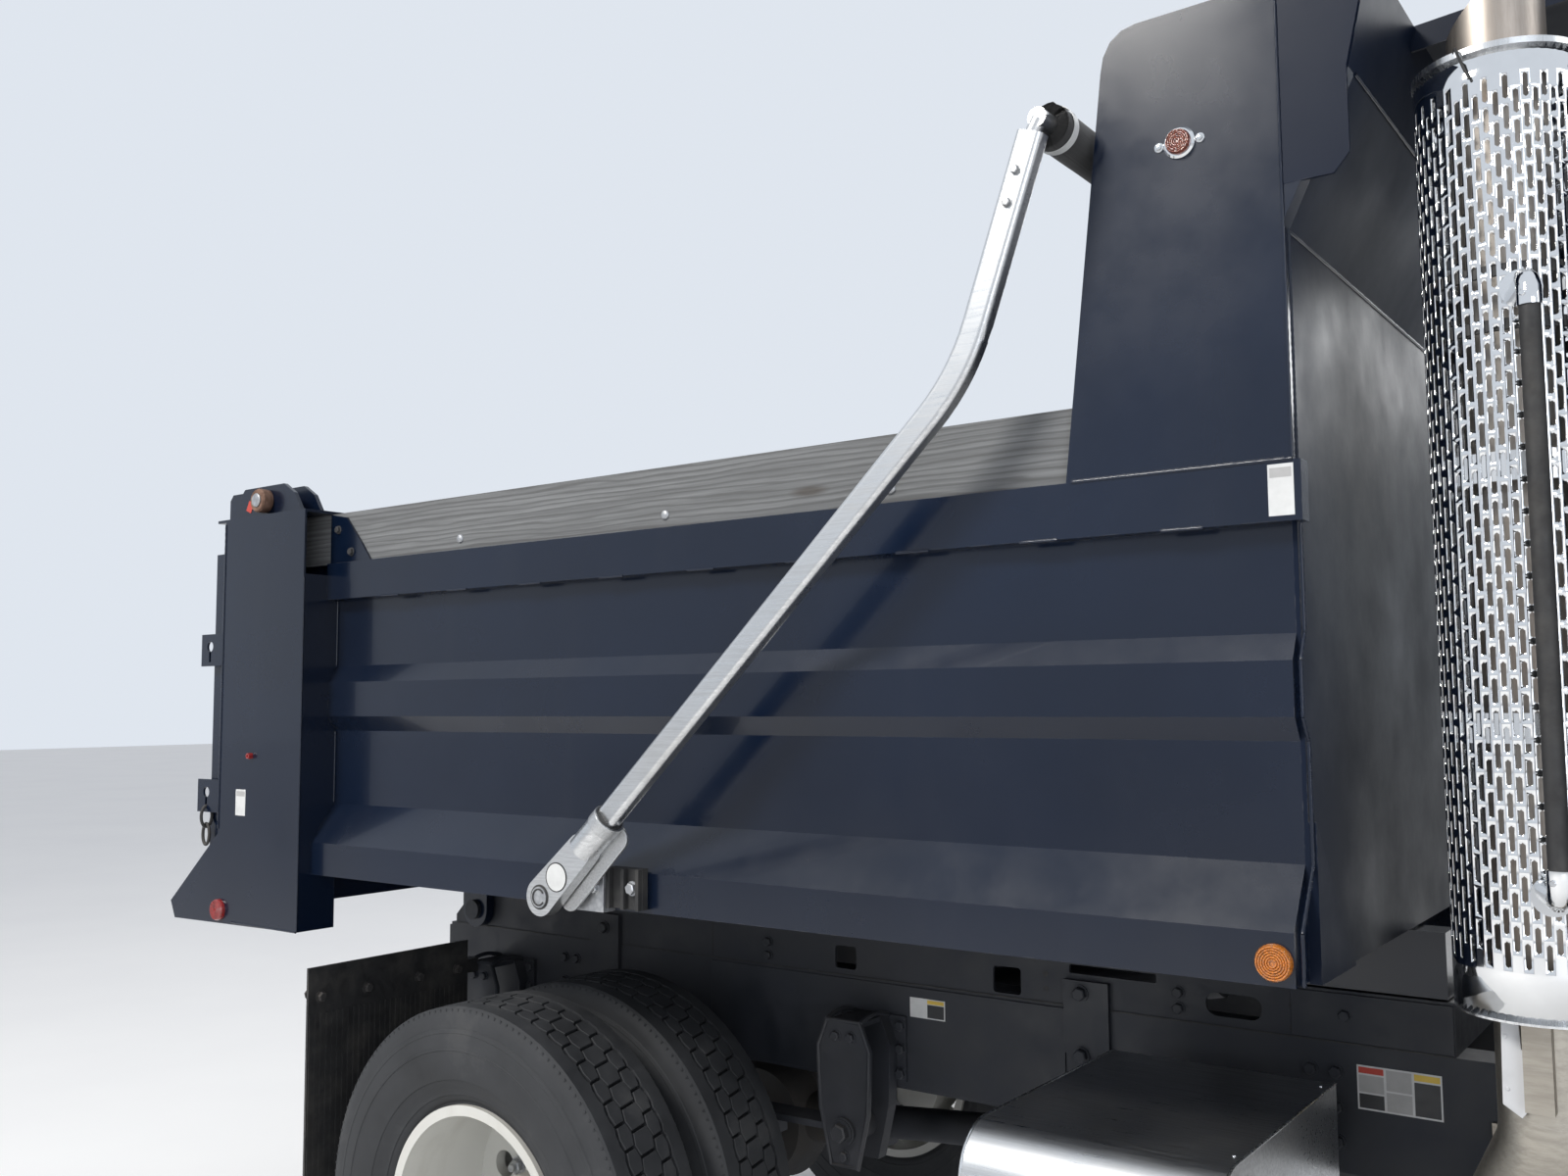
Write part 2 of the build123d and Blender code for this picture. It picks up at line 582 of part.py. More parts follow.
for side, hand in SIDES:
    with BuildPart() as rear_tyres:
        for middle in (DUAL_INNER_MIDDLE, DUAL_OUTER_MIDDLE):
            tyre(0, side * middle)
    rear_tyres.part.label = f"rear_tyres_{hand}"
    export_step(rear_tyres.part, f"parts/rear_tyres_{hand}.step")

    with BuildPart() as rear_rims:
        barrel = (side * (DUAL_INNER_MIDDLE - RIM_HALF), side * (DUAL_OUTER_MIDDLE + RIM_HALF))
        turned(0, barrel, RIM_INNER, RIM_OUTER)
        for middle in (DUAL_INNER_MIDDLE, DUAL_OUTER_MIDDLE):
            flanges(0, side, middle)
        disc_span = (side * DUAL_DISC_INNER, side * DUAL_DISC_OUTER)
        turned(0, disc_span, HUB_RADIUS, RIM_INNER)
        hand_holes(0, disc_span)
        turned(0, (side * REAR_HUB_INNER, side * REAR_DRUM_OUTER), HUB_RADIUS, DRUM_RADIUS)
        turned(0, (side * REAR_HUB_INNER, side * REAR_HUB_OUTER), 0, HUB_RADIUS)
        spindle_hole = spread(side, REAR_HUB_INNER - 1, REAR_SPINDLE_END + PIN_GAP)
        cross_pin((0, AXLE_HEIGHT), spindle_hole, REAR_SPINDLE_RADIUS + PIN_GAP, Mode.SUBTRACT)
    rear_rims.part.label = f"rear_rims_{hand}"
    export_step(rear_rims.part, f"parts/rear_rims_{hand}.step")

# Engine and gearbox: one plain mass on feet that reach into the rails

ENGINE_HALF = 300
ENGINE_REAR = 3960
ENGINE_FRONT = WHEELBASE + 560
ENGINE_BOTTOM = 700
ENGINE_TOP = 1480
GEARBOX_HALF = 230
GEARBOX_BOTTOM = 660
GEARBOX_TOP = 1050
GEARBOX_NOSE = 90
FOOT_LENGTH = 110
FOOT_HEIGHT = 70
FOOT_STATIONS = (3150, WHEELBASE + 180)

with BuildPart() as engine_block:
    block((ENGINE_REAR, ENGINE_FRONT), (-ENGINE_HALF, ENGINE_HALF), (ENGINE_BOTTOM, ENGINE_TOP))
    gearbox_span = (GEARBOX_REAR + GEARBOX_NOSE, ENGINE_REAR)
    block(gearbox_span, (-GEARBOX_HALF, GEARBOX_HALF), (GEARBOX_BOTTOM, GEARBOX_TOP))
    nose_start = (GEARBOX_REAR, 0, GEARBOX_SHAFT_HEIGHT)
    rod(nose_start, (GEARBOX_REAR + GEARBOX_NOSE, 0, GEARBOX_SHAFT_HEIGHT), COLLAR_RADIUS)
    for x in FOOT_STATIONS:
        foot = (RAIL_BOTTOM + RAIL_WALL + SEAT_GAP, RAIL_BOTTOM + RAIL_WALL + FOOT_HEIGHT)
        block((x, x + FOOT_LENGTH), (-RAIL_INNER + SEAT_GAP, RAIL_INNER - SEAT_GAP), foot)

engine_block.part.label = "engine_block"
export_step(engine_block.part, "parts/engine_block.step")

# Exhaust stack: a perforated guard, the pipe in it with its mitred tip, and a clamp band

STACK = (2240, -980)
GUARD_RADIUS = 127
GUARD_WALL = 2
GUARD_BOTTOM = 1285
GUARD_TOP = 2790
PIPE_RADIUS = 74
PIPE_WALL = 4
PIPE_TOP = 2970
PIPE_MITRE = 120
BAND_BOTTOM = 2400
BAND_HEIGHT = 46
GUARD_FOOT = 12
GRAB_HANDLE = (2295, -1170)
GRAB_STANDOFF = 0.6
GRAB_RADIUS = 16
GRAB_SPAN = (1460, 2410)

with BuildPart() as exhaust_stack:
    stack_x, stack_y = STACK
    with BuildSketch(level_plane(GUARD_BOTTOM)) as guard_ring:
        with Locations(STACK):
            Circle(GUARD_RADIUS)
            Circle(GUARD_RADIUS - GUARD_WALL, mode=Mode.SUBTRACT)
    extrude(amount=GUARD_TOP - GUARD_BOTTOM)
    with BuildSketch(level_plane(BAND_BOTTOM)) as band_ring:
        with Locations(STACK):
            Circle(GUARD_RADIUS + GUARD_WALL)
            Circle(PIPE_RADIUS - PIPE_WALL, mode=Mode.SUBTRACT)
    extrude(amount=BAND_HEIGHT)
    with BuildSketch(level_plane(GUARD_BOTTOM)) as foot_ring:
        with Locations(STACK):
            Circle(GUARD_RADIUS)
    extrude(amount=GUARD_FOOT)
    with BuildSketch(level_plane(GUARD_BOTTOM)) as pipe_ring:
        with Locations(STACK):
            Circle(PIPE_RADIUS)
            Circle(PIPE_RADIUS - PIPE_WALL, mode=Mode.SUBTRACT)
    extrude(amount=PIPE_TOP - GUARD_BOTTOM)
    mitre = (
        (stack_x - PIPE_RADIUS - 1, PIPE_TOP - PIPE_MITRE),
        (stack_x + PIPE_RADIUS + 1, PIPE_TOP),
        (stack_x + PIPE_RADIUS + 1, PIPE_TOP + 1),
        (stack_x - PIPE_RADIUS - 1, PIPE_TOP + 1),
    )
    side_plate(mitre, (stack_y - PIPE_RADIUS - 1, stack_y + PIPE_RADIUS + 1), Mode.SUBTRACT)
    rod((*GRAB_HANDLE, GRAB_SPAN[0]), (*GRAB_HANDLE, GRAB_SPAN[1]), GRAB_RADIUS)
    for z in (GRAB_SPAN[0] + GRAB_RADIUS, GRAB_SPAN[1] - GRAB_RADIUS):
        towards_x = stack_x + (GRAB_HANDLE[0] - stack_x) * GRAB_STANDOFF
        towards_y = stack_y + (GRAB_HANDLE[1] - stack_y) * GRAB_STANDOFF
        rod((*GRAB_HANDLE, z), (towards_x, towards_y, z), GRAB_RADIUS)

exhaust_stack.part.label = "exhaust_stack"
export_step(exhaust_stack.part, "parts/exhaust_stack.step")

# Exhaust can: a drum beside the right rail, the pipe that rises from it and its brackets

CAN_REAR = 1950
STEP_REAR = 3020
CAN_CLEARANCE = 70
CAN_FRONT = STEP_REAR - CAN_CLEARANCE
CAN_RADIUS = 170
CAN_Y = -800
CAN_HEIGHT = 660
LOWER_PIPE_RADIUS = 73
CAN_INLET = (2080, -850, 760)
CAN_BRACKETS = (CAN_REAR + 110, CAN_FRONT - 170)
CAN_BRACKET_LENGTH = 60
CAN_DOME = 40
CAN_SHELF = (RAIL_BOTTOM + 30, RAIL_BOTTOM + 42)
CAN_CLEAT_TOP = RAIL_BOTTOM + 150
CAN_STRAP_HALF = 20
RISER_CLAMP_REACH = -1075
RISER_CLAMP_BOTTOM = GUARD_BOTTOM - 135

with BuildPart() as exhaust_can:
    with BuildSketch(cross_plane(CAN_REAR)) as can_end:
        with Locations((CAN_Y, CAN_HEIGHT)):
            Circle(CAN_RADIUS)
    extrude(amount=CAN_FRONT - CAN_REAR)
    chamfer(exhaust_can.edges(), length=CAN_DOME)
    for x in CAN_BRACKETS:
        bracket_span = (x, x + CAN_BRACKET_LENGTH)
        cleat = (-RAIL_OUTER - TIE_THICKNESS, -RAIL_OUTER)
        strap = (CAN_Y - CAN_STRAP_HALF, CAN_Y + CAN_STRAP_HALF)
        block(bracket_span, (-RAIL_OUTER, CAN_Y), CAN_SHELF)
        block(bracket_span, cleat, (CAN_SHELF[0], CAN_CLEAT_TOP))
        block(bracket_span, strap, (CAN_HEIGHT + 100, CAN_SHELF[1]))
    base = Vector(REAR_AXLE_X, 0, 0)
    riser_line = [
        base + Vector(stack_x, stack_y, GUARD_BOTTOM - SEAT_GAP),
        base + Vector(stack_x, stack_y, GUARD_BOTTOM - 200),
        base + Vector(*CAN_INLET),
    ]
    with BuildLine() as riser_path:
        FilletPolyline(*riser_line, radius=110)
    with BuildSketch(Plane(origin=riser_line[0], z_dir=(0, 0, -1))) as riser_end:
        Circle(LOWER_PIPE_RADIUS)
    sweep(riser_end.sketch, path=riser_path.line)
    block(
        (stack_x - 20, stack_x + 20),
        (RISER_CLAMP_REACH, stack_y - LOWER_PIPE_RADIUS + 8),
        (RISER_CLAMP_BOTTOM, GUARD_BOTTOM - SEAT_GAP),
    )

exhaust_can.part.label = "exhaust_can"
export_step(exhaust_can.part, "parts/exhaust_can.step")

# Battery box: rounded along its outer top edge, on two bars from the right rail

BATTERY_SPAN = (1352, 1812)
BATTERY_OUTER = 1255
BATTERY_INNER = 585
BATTERY_BOTTOM = 620
BATTERY_TOP = 1020
BATTERY_ROUND = 95
BAR_HEIGHT = 60

with BuildPart() as battery_box:
    block(BATTERY_SPAN, (-BATTERY_OUTER, -BATTERY_INNER), (BATTERY_BOTTOM, BATTERY_TOP))
    outer_edges = battery_box.edges().filter_by(Axis.X).group_by(Axis.Y)[0]
    fillet(outer_edges, radius=BATTERY_ROUND)
    for x in (BATTERY_SPAN[0] + 60, BATTERY_SPAN[1] - 60 - BAR_HEIGHT):
        block((x, x + BAR_HEIGHT), (-BATTERY_INNER, -RAIL_OUTER), (BATTERY_TOP - 200, BATTERY_TOP - 140))

battery_box.part.label = "battery_box"
export_step(battery_box.part, "parts/battery_box.step")

# Fuel tank under the left door, with its brackets and two treads

TANK_SPAN = (2250, 3550)
TANK_RADIUS = 285
TANK_Y = 820
TANK_HEIGHT = 700
TREAD_SPAN = (2980, 3520)
TREAD_OUTER = 1150
TREAD_DEPTH = 200
TREAD_THICKNESS = 25
TREAD_HEIGHTS = (500, 905)
STRAP_STATIONS = (2420, 2900, 3400)
STRAP_WIDTH = 50
STRAP = 6

with BuildPart() as fuel_tank:
    with BuildSketch(cross_plane(TANK_SPAN[0])) as tank_end:
        with Locations((TANK_Y, TANK_HEIGHT)):
            Circle(TANK_RADIUS)
    extrude(amount=TANK_SPAN[1] - TANK_SPAN[0])
    fillet(fuel_tank.edges(), radius=25)
    for x in STRAP_STATIONS:
        with BuildSketch(cross_plane(x)) as strap:
            with Locations((TANK_Y, TANK_HEIGHT)):
                Circle(TANK_RADIUS + STRAP)
        extrude(strap.sketch, amount=STRAP_WIDTH)
        block((x, x + STRAP_WIDTH), (RAIL_OUTER, TANK_Y), (TANK_HEIGHT - 260, TANK_HEIGHT - 200))
        block((x, x + STRAP_WIDTH), (RAIL_OUTER, RAIL_OUTER + 40), (TANK_HEIGHT - 260, RAIL_TOP - 60))
    for z in TREAD_HEIGHTS:
        block(TREAD_SPAN, (TREAD_OUTER - TREAD_DEPTH, TREAD_OUTER), (z, z + TREAD_THICKNESS))
    for x in TREAD_SPAN:
        block((x - 10, x + 10), (TREAD_OUTER - 60, TREAD_OUTER), (TREAD_HEIGHTS[0], TREAD_HEIGHTS[1]))

fuel_tank.part.label = "fuel_tank"
export_step(fuel_tank.part, "parts/fuel_tank.step")

# Cab steps under the right door: a housing with two treads cut into it, on two bars

STEP_SPAN = (STEP_REAR, 3600)
STEP_INNER = 700
STEP_OUTER = 1150
STEP_BOTTOM = 430
STEP_TOP = 1000
STEP_RECESS = 180
STEP_WALL = 25

with BuildPart() as cab_steps:
    block(STEP_SPAN, (-STEP_OUTER, -STEP_INNER), (STEP_BOTTOM, STEP_TOP))
    recess_height = (STEP_TOP - STEP_BOTTOM - 3 * STEP_WALL) / 2
    for z in (STEP_BOTTOM + STEP_WALL, STEP_BOTTOM + 2 * STEP_WALL + recess_height):
        recess_span = (STEP_SPAN[0] + STEP_WALL, STEP_SPAN[1] - STEP_WALL)
        recess = (-STEP_OUTER - 1, -STEP_OUTER + STEP_RECESS)
        block(recess_span, recess, (z, z + recess_height), Mode.SUBTRACT)
    for x in (STEP_SPAN[0] + 60, STEP_SPAN[1] - 60 - BAR_HEIGHT):
        block((x, x + BAR_HEIGHT), (-STEP_INNER, -RAIL_OUTER), (RAIL_BOTTOM + 40, RAIL_BOTTOM + 100))

cab_steps.part.label = "cab_steps"
export_step(cab_steps.part, "parts/cab_steps.step")

# Mud flaps behind the rear wheels, each on a bar from the rail

FLAP_X = -700
FLAP_THICKNESS = 8
FLAP_INNER = 620
FLAP_OUTER = 1170
FLAP_BOTTOM = 230
FLAP_TOP = 1060
FLAP_BAR = 40

with BuildPart() as mud_flaps:
    for side, hand in SIDES:
        flap = spread(side, FLAP_INNER, FLAP_OUTER)
        block((FLAP_X - FLAP_THICKNESS, FLAP_X), flap, (FLAP_BOTTOM, FLAP_TOP))
        bar_height = (FLAP_TOP - 60 - FLAP_BAR, FLAP_TOP - 60)
        bar_span = (FLAP_X - FLAP_THICKNESS - FLAP_BAR, FLAP_X - FLAP_THICKNESS)
        block(bar_span, spread(side, REAR_SPRING_OUTER + TIE_THICKNESS, FLAP_OUTER - 30), bar_height)

mud_flaps.part.label = "mud_flaps"
export_step(mud_flaps.part, "parts/mud_flaps.step")

# Tail lamps: a plate that closes the frame's rear end, with three round lamps a side

LAMP_PLATE = 10
LAMP_RADIUS = 52
LAMP_DEPTH = 22
TAIL_LAMP_STATIONS = (110, 230, 350)

with BuildPart() as tail_lamps:
    lamp_plate_span = (RAIL_REAR - LAMP_PLATE, RAIL_REAR)
    block(lamp_plate_span, (-RAIL_OUTER, RAIL_OUTER), (RAIL_BOTTOM, RAIL_TOP - 10))
    for side, hand in SIDES:
        for y in TAIL_LAMP_STATIONS:
            lamp_z = (RAIL_BOTTOM + RAIL_TOP) / 2
            face = (RAIL_REAR - LAMP_PLATE, side * y, lamp_z)
            rod(face, (RAIL_REAR - LAMP_PLATE - LAMP_DEPTH, side * y, lamp_z), LAMP_RADIUS)

tail_lamps.part.label = "tail_lamps"
export_step(tail_lamps.part, "parts/tail_lamps.step")

# Cab: a floor on four mounts, back wall, roof, front and two sides around the door openings

CAB_REAR = 2520
CAB_FRONT = 3920
CAB_HALF = 1050
CAB_WALL = 50
CAB_BOTTOM = 1100
CAB_FLOOR = 60
WAIST = 1930
ROOF_BOTTOM = 2620
ROOF_TOP = 2720
ROOF_FRONT = 3600
MOUNT_LENGTH = 120
CAB_INNER = CAB_HALF - CAB_WALL - PIN_GAP
SLOPE = (ROOF_FRONT - CAB_FRONT) / (ROOF_BOTTOM - WAIST)

with BuildPart() as cab_floor:
    floor_span = (CAB_REAR + CAB_WALL, CAB_FRONT - CAB_WALL)
    block(floor_span, (-CAB_INNER, CAB_INNER), (CAB_BOTTOM, CAB_BOTTOM + CAB_FLOOR))
    for side, hand in SIDES:
        for x in (CAB_REAR + CAB_WALL, CAB_FRONT - CAB_WALL - MOUNT_LENGTH):
            mount = spread(side, RAIL_OUTER - RAIL_FLANGE, RAIL_OUTER)
            block((x, x + MOUNT_LENGTH), mount, (RAIL_TOP, CAB_BOTTOM))

cab_floor.part.label = "cab_floor"
export_step(cab_floor.part, "parts/cab_floor.step")

REAR_WINDOW_HALF = 560
REAR_WINDOW_BOTTOM = 1960
REAR_WINDOW_TOP = 2400
WINDOW_ROUND = 60

with BuildPart() as cab_back:
    block((CAB_REAR, CAB_REAR + CAB_WALL), (-CAB_INNER, CAB_INNER), (CAB_BOTTOM, ROOF_BOTTOM))
    with BuildSketch(cross_plane(CAB_REAR)) as rear_window:
        with Locations((0, (REAR_WINDOW_BOTTOM + REAR_WINDOW_TOP) / 2)):
            RectangleRounded(2 * REAR_WINDOW_HALF, REAR_WINDOW_TOP - REAR_WINDOW_BOTTOM, WINDOW_ROUND)
    extrude(amount=CAB_WALL, mode=Mode.SUBTRACT)

cab_back.part.label = "cab_back"
export_step(cab_back.part, "parts/cab_back.step")

ROOF_EDGE = 40
ROOF_BROW = 60

with BuildPart() as cab_roof:
    with BuildSketch(side_plane(CAB_HALF)) as roof_outline:
        with BuildLine():
            Polyline(
                (CAB_REAR, ROOF_BOTTOM),
                (ROOF_FRONT + ROOF_BROW, ROOF_BOTTOM),
                (ROOF_FRONT, ROOF_BOTTOM + ROOF_EDGE),
                (ROOF_FRONT - 3 * ROOF_BROW, ROOF_TOP),
                (CAB_REAR + ROOF_BROW, ROOF_TOP),
                (CAB_REAR, ROOF_BOTTOM + ROOF_EDGE),
                close=True,
            )
        make_face()
    extrude(amount=2 * CAB_HALF)
    fillet(cab_roof.edges().filter_by(Axis.X).group_by(Axis.Z)[-1], radius=ROOF_EDGE)

cab_roof.part.label = "cab_roof"
export_step(cab_roof.part, "parts/cab_roof.step")

# Windscreen opening: a rounded window cut square to the slanted front

SCREEN_MARGIN = 70
SCREEN_HALF = 920
SCREEN_LENGTH = hypot(ROOF_FRONT - CAB_FRONT, ROOF_BOTTOM - WAIST)
SCREEN_LEAN = degrees(atan2(CAB_FRONT - ROOF_FRONT, ROOF_BOTTOM - WAIST))


def screen_plane(depth):
    """The plane of the slanted front, set back by a depth: sketches are (left, up the slope)."""
    up = (-sin(radians(SCREEN_LEAN)), 0, cos(radians(SCREEN_LEAN)))
    out = (cos(radians(SCREEN_LEAN)), 0, sin(radians(SCREEN_LEAN)))
    middle = (REAR_AXLE_X + (CAB_FRONT + ROOF_FRONT) / 2, 0, (WAIST + ROOF_BOTTOM) / 2)
    return Plane(origin=Vector(*middle) - Vector(*out) * depth, x_dir=(0, 1, 0), z_dir=out)


with BuildPart() as cab_front:
    front_outline = (
        (CAB_FRONT - CAB_WALL, CAB_BOTTOM),
        (CAB_FRONT, CAB_BOTTOM),
        (CAB_FRONT, WAIST),
        (ROOF_FRONT, ROOF_BOTTOM),
        (ROOF_FRONT - CAB_WALL, ROOF_BOTTOM),
        (CAB_FRONT - CAB_WALL, WAIST),
    )
    side_plate(front_outline, (-CAB_INNER, CAB_INNER))
    with BuildSketch(screen_plane(-CAB_WALL)) as screen_cut:
        RectangleRounded(2 * SCREEN_HALF, SCREEN_LENGTH - 2 * SCREEN_MARGIN, WINDOW_ROUND)
    extrude(screen_cut.sketch, amount=-3 * CAB_WALL, mode=Mode.SUBTRACT)

cab_front.part.label = "cab_front"
export_step(cab_front.part, "parts/cab_front.step")

# Doors: hung at the front edge, with a window opening, hinges and a mirror on two arms

DOOR_REAR = 2920
DOOR_FRONT = 3800
DOOR_BOTTOM = 1190
DOOR_TOP = 2560
DOOR_WINDOW_SILL = 1880
DOOR_FRAME = 65
door_slant = SLOPE * (DOOR_TOP - WAIST)
door_outline = (
    (DOOR_REAR, DOOR_BOTTOM),
    (DOOR_FRONT, DOOR_BOTTOM),
    (DOOR_FRONT, WAIST),
    (DOOR_FRONT + door_slant, DOOR_TOP),
    (DOOR_REAR, DOOR_TOP),
)
side_outline = (
    (CAB_REAR, CAB_BOTTOM),
    (CAB_FRONT, CAB_BOTTOM),
    (CAB_FRONT, WAIST),
    (ROOF_FRONT, ROOF_BOTTOM),
    (CAB_REAR, ROOF_BOTTOM),
)
HINGE_RADIUS = 10
HINGE_STANDOFF = 12
DOOR_HINGE_Y = CAB_HALF + HINGE_STANDOFF
DOOR_HINGE_X = DOOR_FRONT + MOVING_GAP / 2 - HINGE_RADIUS
HINGE_HEIGHTS = (1300, 1750)
HINGE_LENGTH = 90
KNUCKLE_LENGTH = 35
LEAF_THICKNESS = 8
PILLAR_X = DOOR_FRONT + MOVING_GAP

for side, hand in SIDES:
    wall = spread(side, CAB_HALF - CAB_WALL, CAB_HALF)
    hinge_line = (DOOR_HINGE_X, side * DOOR_HINGE_Y)
    with BuildPart() as cab_side:
        side_plate(side_outline, wall)
        for z in HINGE_HEIGHTS:
            above = z + HINGE_LENGTH + PIN_GAP
            below = z - PIN_GAP - KNUCKLE_LENGTH
            for foot in (below, above):
                knuckle_height = (foot, foot + KNUCKLE_LENGTH)
                rod((*hinge_line, foot), (*hinge_line, foot + KNUCKLE_LENGTH), HINGE_RADIUS)
                leaf = spread(side, DOOR_HINGE_Y - LEAF_THICKNESS / 2, DOOR_HINGE_Y + LEAF_THICKNESS / 2)
                block((DOOR_HINGE_X, PILLAR_X + 30), leaf, knuckle_height)
                root = spread(side, CAB_HALF - 1, DOOR_HINGE_Y)
                block((PILLAR_X + 2, PILLAR_X + 30), root, knuckle_height)
        with BuildSketch(side_plane(max(wall))) as opening:
            with BuildLine():
                Polyline(*door_outline, close=True)
            make_face()
            offset(amount=MOVING_GAP, kind=Kind.INTERSECTION)
        extrude(opening.sketch, amount=CAB_WALL, mode=Mode.SUBTRACT)
    cab_side.part.label = f"cab_side_{hand}"
    export_step(cab_side.part, f"parts/cab_side_{hand}.step")

MIRROR_SPAN = (3590, 3680)
MIRROR_INNER = 1200
MIRROR_OUTER = 1420
MIRROR_BOTTOM = 1760
MIRROR_TOP = 2330
MIRROR_ARM_RADIUS = 13
MIRROR_ARMS = (1850, 2240)
MIRROR_ARM_X = 3620
DOOR_HANDLE = (2985, 3135)
DOOR_HANDLE_HEIGHT = 1700

door_window = (
    (DOOR_REAR + DOOR_FRAME, DOOR_WINDOW_SILL),
    (DOOR_FRONT - DOOR_FRAME, DOOR_WINDOW_SILL),
    (DOOR_FRONT - DOOR_FRAME, WAIST),
    (DOOR_FRONT - DOOR_FRAME + door_slant - SLOPE * DOOR_FRAME, DOOR_TOP - DOOR_FRAME),
    (DOOR_REAR + DOOR_FRAME, DOOR_TOP - DOOR_FRAME),
)
for side, hand in SIDES:
    wall = spread(side, CAB_HALF - CAB_WALL, CAB_HALF)
    with BuildPart() as door:
        side_plate(door_outline, wall)
        with BuildSketch(side_plane(max(wall))) as window:
            with BuildLine():
                Polyline(*door_window, close=True)
            make_face()
            fillet(window.vertices(), radius=WINDOW_ROUND / 2)
        extrude(window.sketch, amount=CAB_WALL, mode=Mode.SUBTRACT)
        for z in HINGE_HEIGHTS:
            hinge_line = (DOOR_HINGE_X, side * DOOR_HINGE_Y)
            rod((*hinge_line, z), (*hinge_line, z + HINGE_LENGTH), HINGE_RADIUS)
            strap = (DOOR_HINGE_X - 3 * HINGE_RADIUS, DOOR_HINGE_X)
            block(strap, spread(side, CAB_HALF - 1, DOOR_HINGE_Y), (z, z + HINGE_LENGTH))
        for z in MIRROR_ARMS:
            arm_root = (MIRROR_ARM_X, side * (CAB_HALF - CAB_WALL / 2), z)
            rod(arm_root, (MIRROR_ARM_X, side * (MIRROR_INNER + 20), z), MIRROR_ARM_RADIUS)
        mirror = spread(side, MIRROR_INNER, MIRROR_OUTER)
        block(MIRROR_SPAN, mirror, (MIRROR_BOTTOM, MIRROR_TOP))
        handle = spread(side, CAB_HALF, CAB_HALF + 30)
        block(DOOR_HANDLE, handle, (DOOR_HANDLE_HEIGHT, DOOR_HANDLE_HEIGHT + 35))
    door.part.label = f"door_{hand}"
    export_step(door.part, f"parts/door_{hand}.step")

# Window panes, set in the middle of each wall

PANE = 6

for side, hand in SIDES:
    pane_middle = CAB_HALF - CAB_WALL / 2
    with BuildPart() as door_pane:
        pane_span = spread(side, pane_middle - PANE / 2, pane_middle + PANE / 2)
        with BuildSketch(side_plane(max(pane_span))) as pane:
            with BuildLine():
                Polyline(*door_window, close=True)
            make_face()
            fillet(pane.vertices(), radius=WINDOW_ROUND / 2)
            offset(amount=-SEAT_GAP)
        extrude(pane.sketch, amount=PANE)
    door_pane.part.label = f"door_pane_{hand}"
    export_step(door_pane.part, f"parts/door_pane_{hand}.step")

with BuildPart() as cab_panes:
    with BuildSketch(screen_plane((CAB_WALL - PANE) / 2)) as screen:
        RectangleRounded(2 * SCREEN_HALF, SCREEN_LENGTH - 2 * SCREEN_MARGIN, WINDOW_ROUND)
        offset(amount=-SEAT_GAP)
    extrude(screen.sketch, amount=-PANE)
    with BuildSketch(cross_plane(CAB_REAR + (CAB_WALL - PANE) / 2)) as rear_pane:
        with Locations((0, (REAR_WINDOW_BOTTOM + REAR_WINDOW_TOP) / 2)):
            RectangleRounded(2 * REAR_WINDOW_HALF, REAR_WINDOW_TOP - REAR_WINDOW_BOTTOM, WINDOW_ROUND)
        offset(amount=-SEAT_GAP)
    extrude(rear_pane.sketch, amount=PANE)

cab_panes.part.label = "cab_panes"
export_step(cab_panes.part, "parts/cab_panes.step")

# Seats: a pedestal, a cushion, a leaning back and a headrest each

SEAT_Y = 520
SEAT_HALF = 250
SEAT_CLEARANCE = 120
SEAT_DEPTH = 460
BACK_LEAN = 90
SEAT_REAR = CAB_REAR + CAB_WALL + SEAT_CLEARANCE + BACK_LEAN
SEAT_SPAN = (SEAT_REAR, SEAT_REAR + SEAT_DEPTH)
PEDESTAL_HALF = 150
PEDESTAL_SPAN = (SEAT_REAR + 70, SEAT_REAR + 370)
CUSHION_HEIGHT = (1520, 1640)
BACK_TOP = 2200
BACK_DEPTH = 110

with BuildPart() as seats:
    for side, hand in SIDES:
        seat = spread(side, SEAT_Y - SEAT_HALF, SEAT_Y + SEAT_HALF)
        pedestal = spread(side, SEAT_Y - PEDESTAL_HALF, SEAT_Y + PEDESTAL_HALF)
        block(PEDESTAL_SPAN, pedestal, (CAB_BOTTOM + CAB_FLOOR, CUSHION_HEIGHT[0]))
        block(SEAT_SPAN, seat, CUSHION_HEIGHT)
        back_outline = (
            (SEAT_SPAN[0], CUSHION_HEIGHT[0]),
            (SEAT_SPAN[0] + BACK_DEPTH, CUSHION_HEIGHT[0]),
            (SEAT_SPAN[0] + BACK_DEPTH - BACK_LEAN, BACK_TOP),
            (SEAT_SPAN[0] - BACK_LEAN, BACK_TOP),
        )
        side_plate(back_outline, seat)
        headrest = spread(side, SEAT_Y - PEDESTAL_HALF, SEAT_Y + PEDESTAL_HALF)
        block((SEAT_SPAN[0] - BACK_LEAN, SEAT_SPAN[0]), headrest, (BACK_TOP - 1, BACK_TOP + 150))
    fillet(seats.edges().filter_by(Axis.Y).group_by(Axis.Z)[-1], radius=30)

seats.part.label = "seats"
export_step(seats.part, "parts/seats.step")

# Dashboard, with the steering column and wheel before the left seat

DASH_DEPTH = 260
DASH_BOTTOM = 1560
DASH_TOP = 1900
WHEEL_CENTRE = (3430, 520, 1880)
WHEEL_RADIUS = 225
WHEEL_TUBE = 15
COLUMN_RADIUS = 35
COLUMN_REACH = (260, 0, -182)

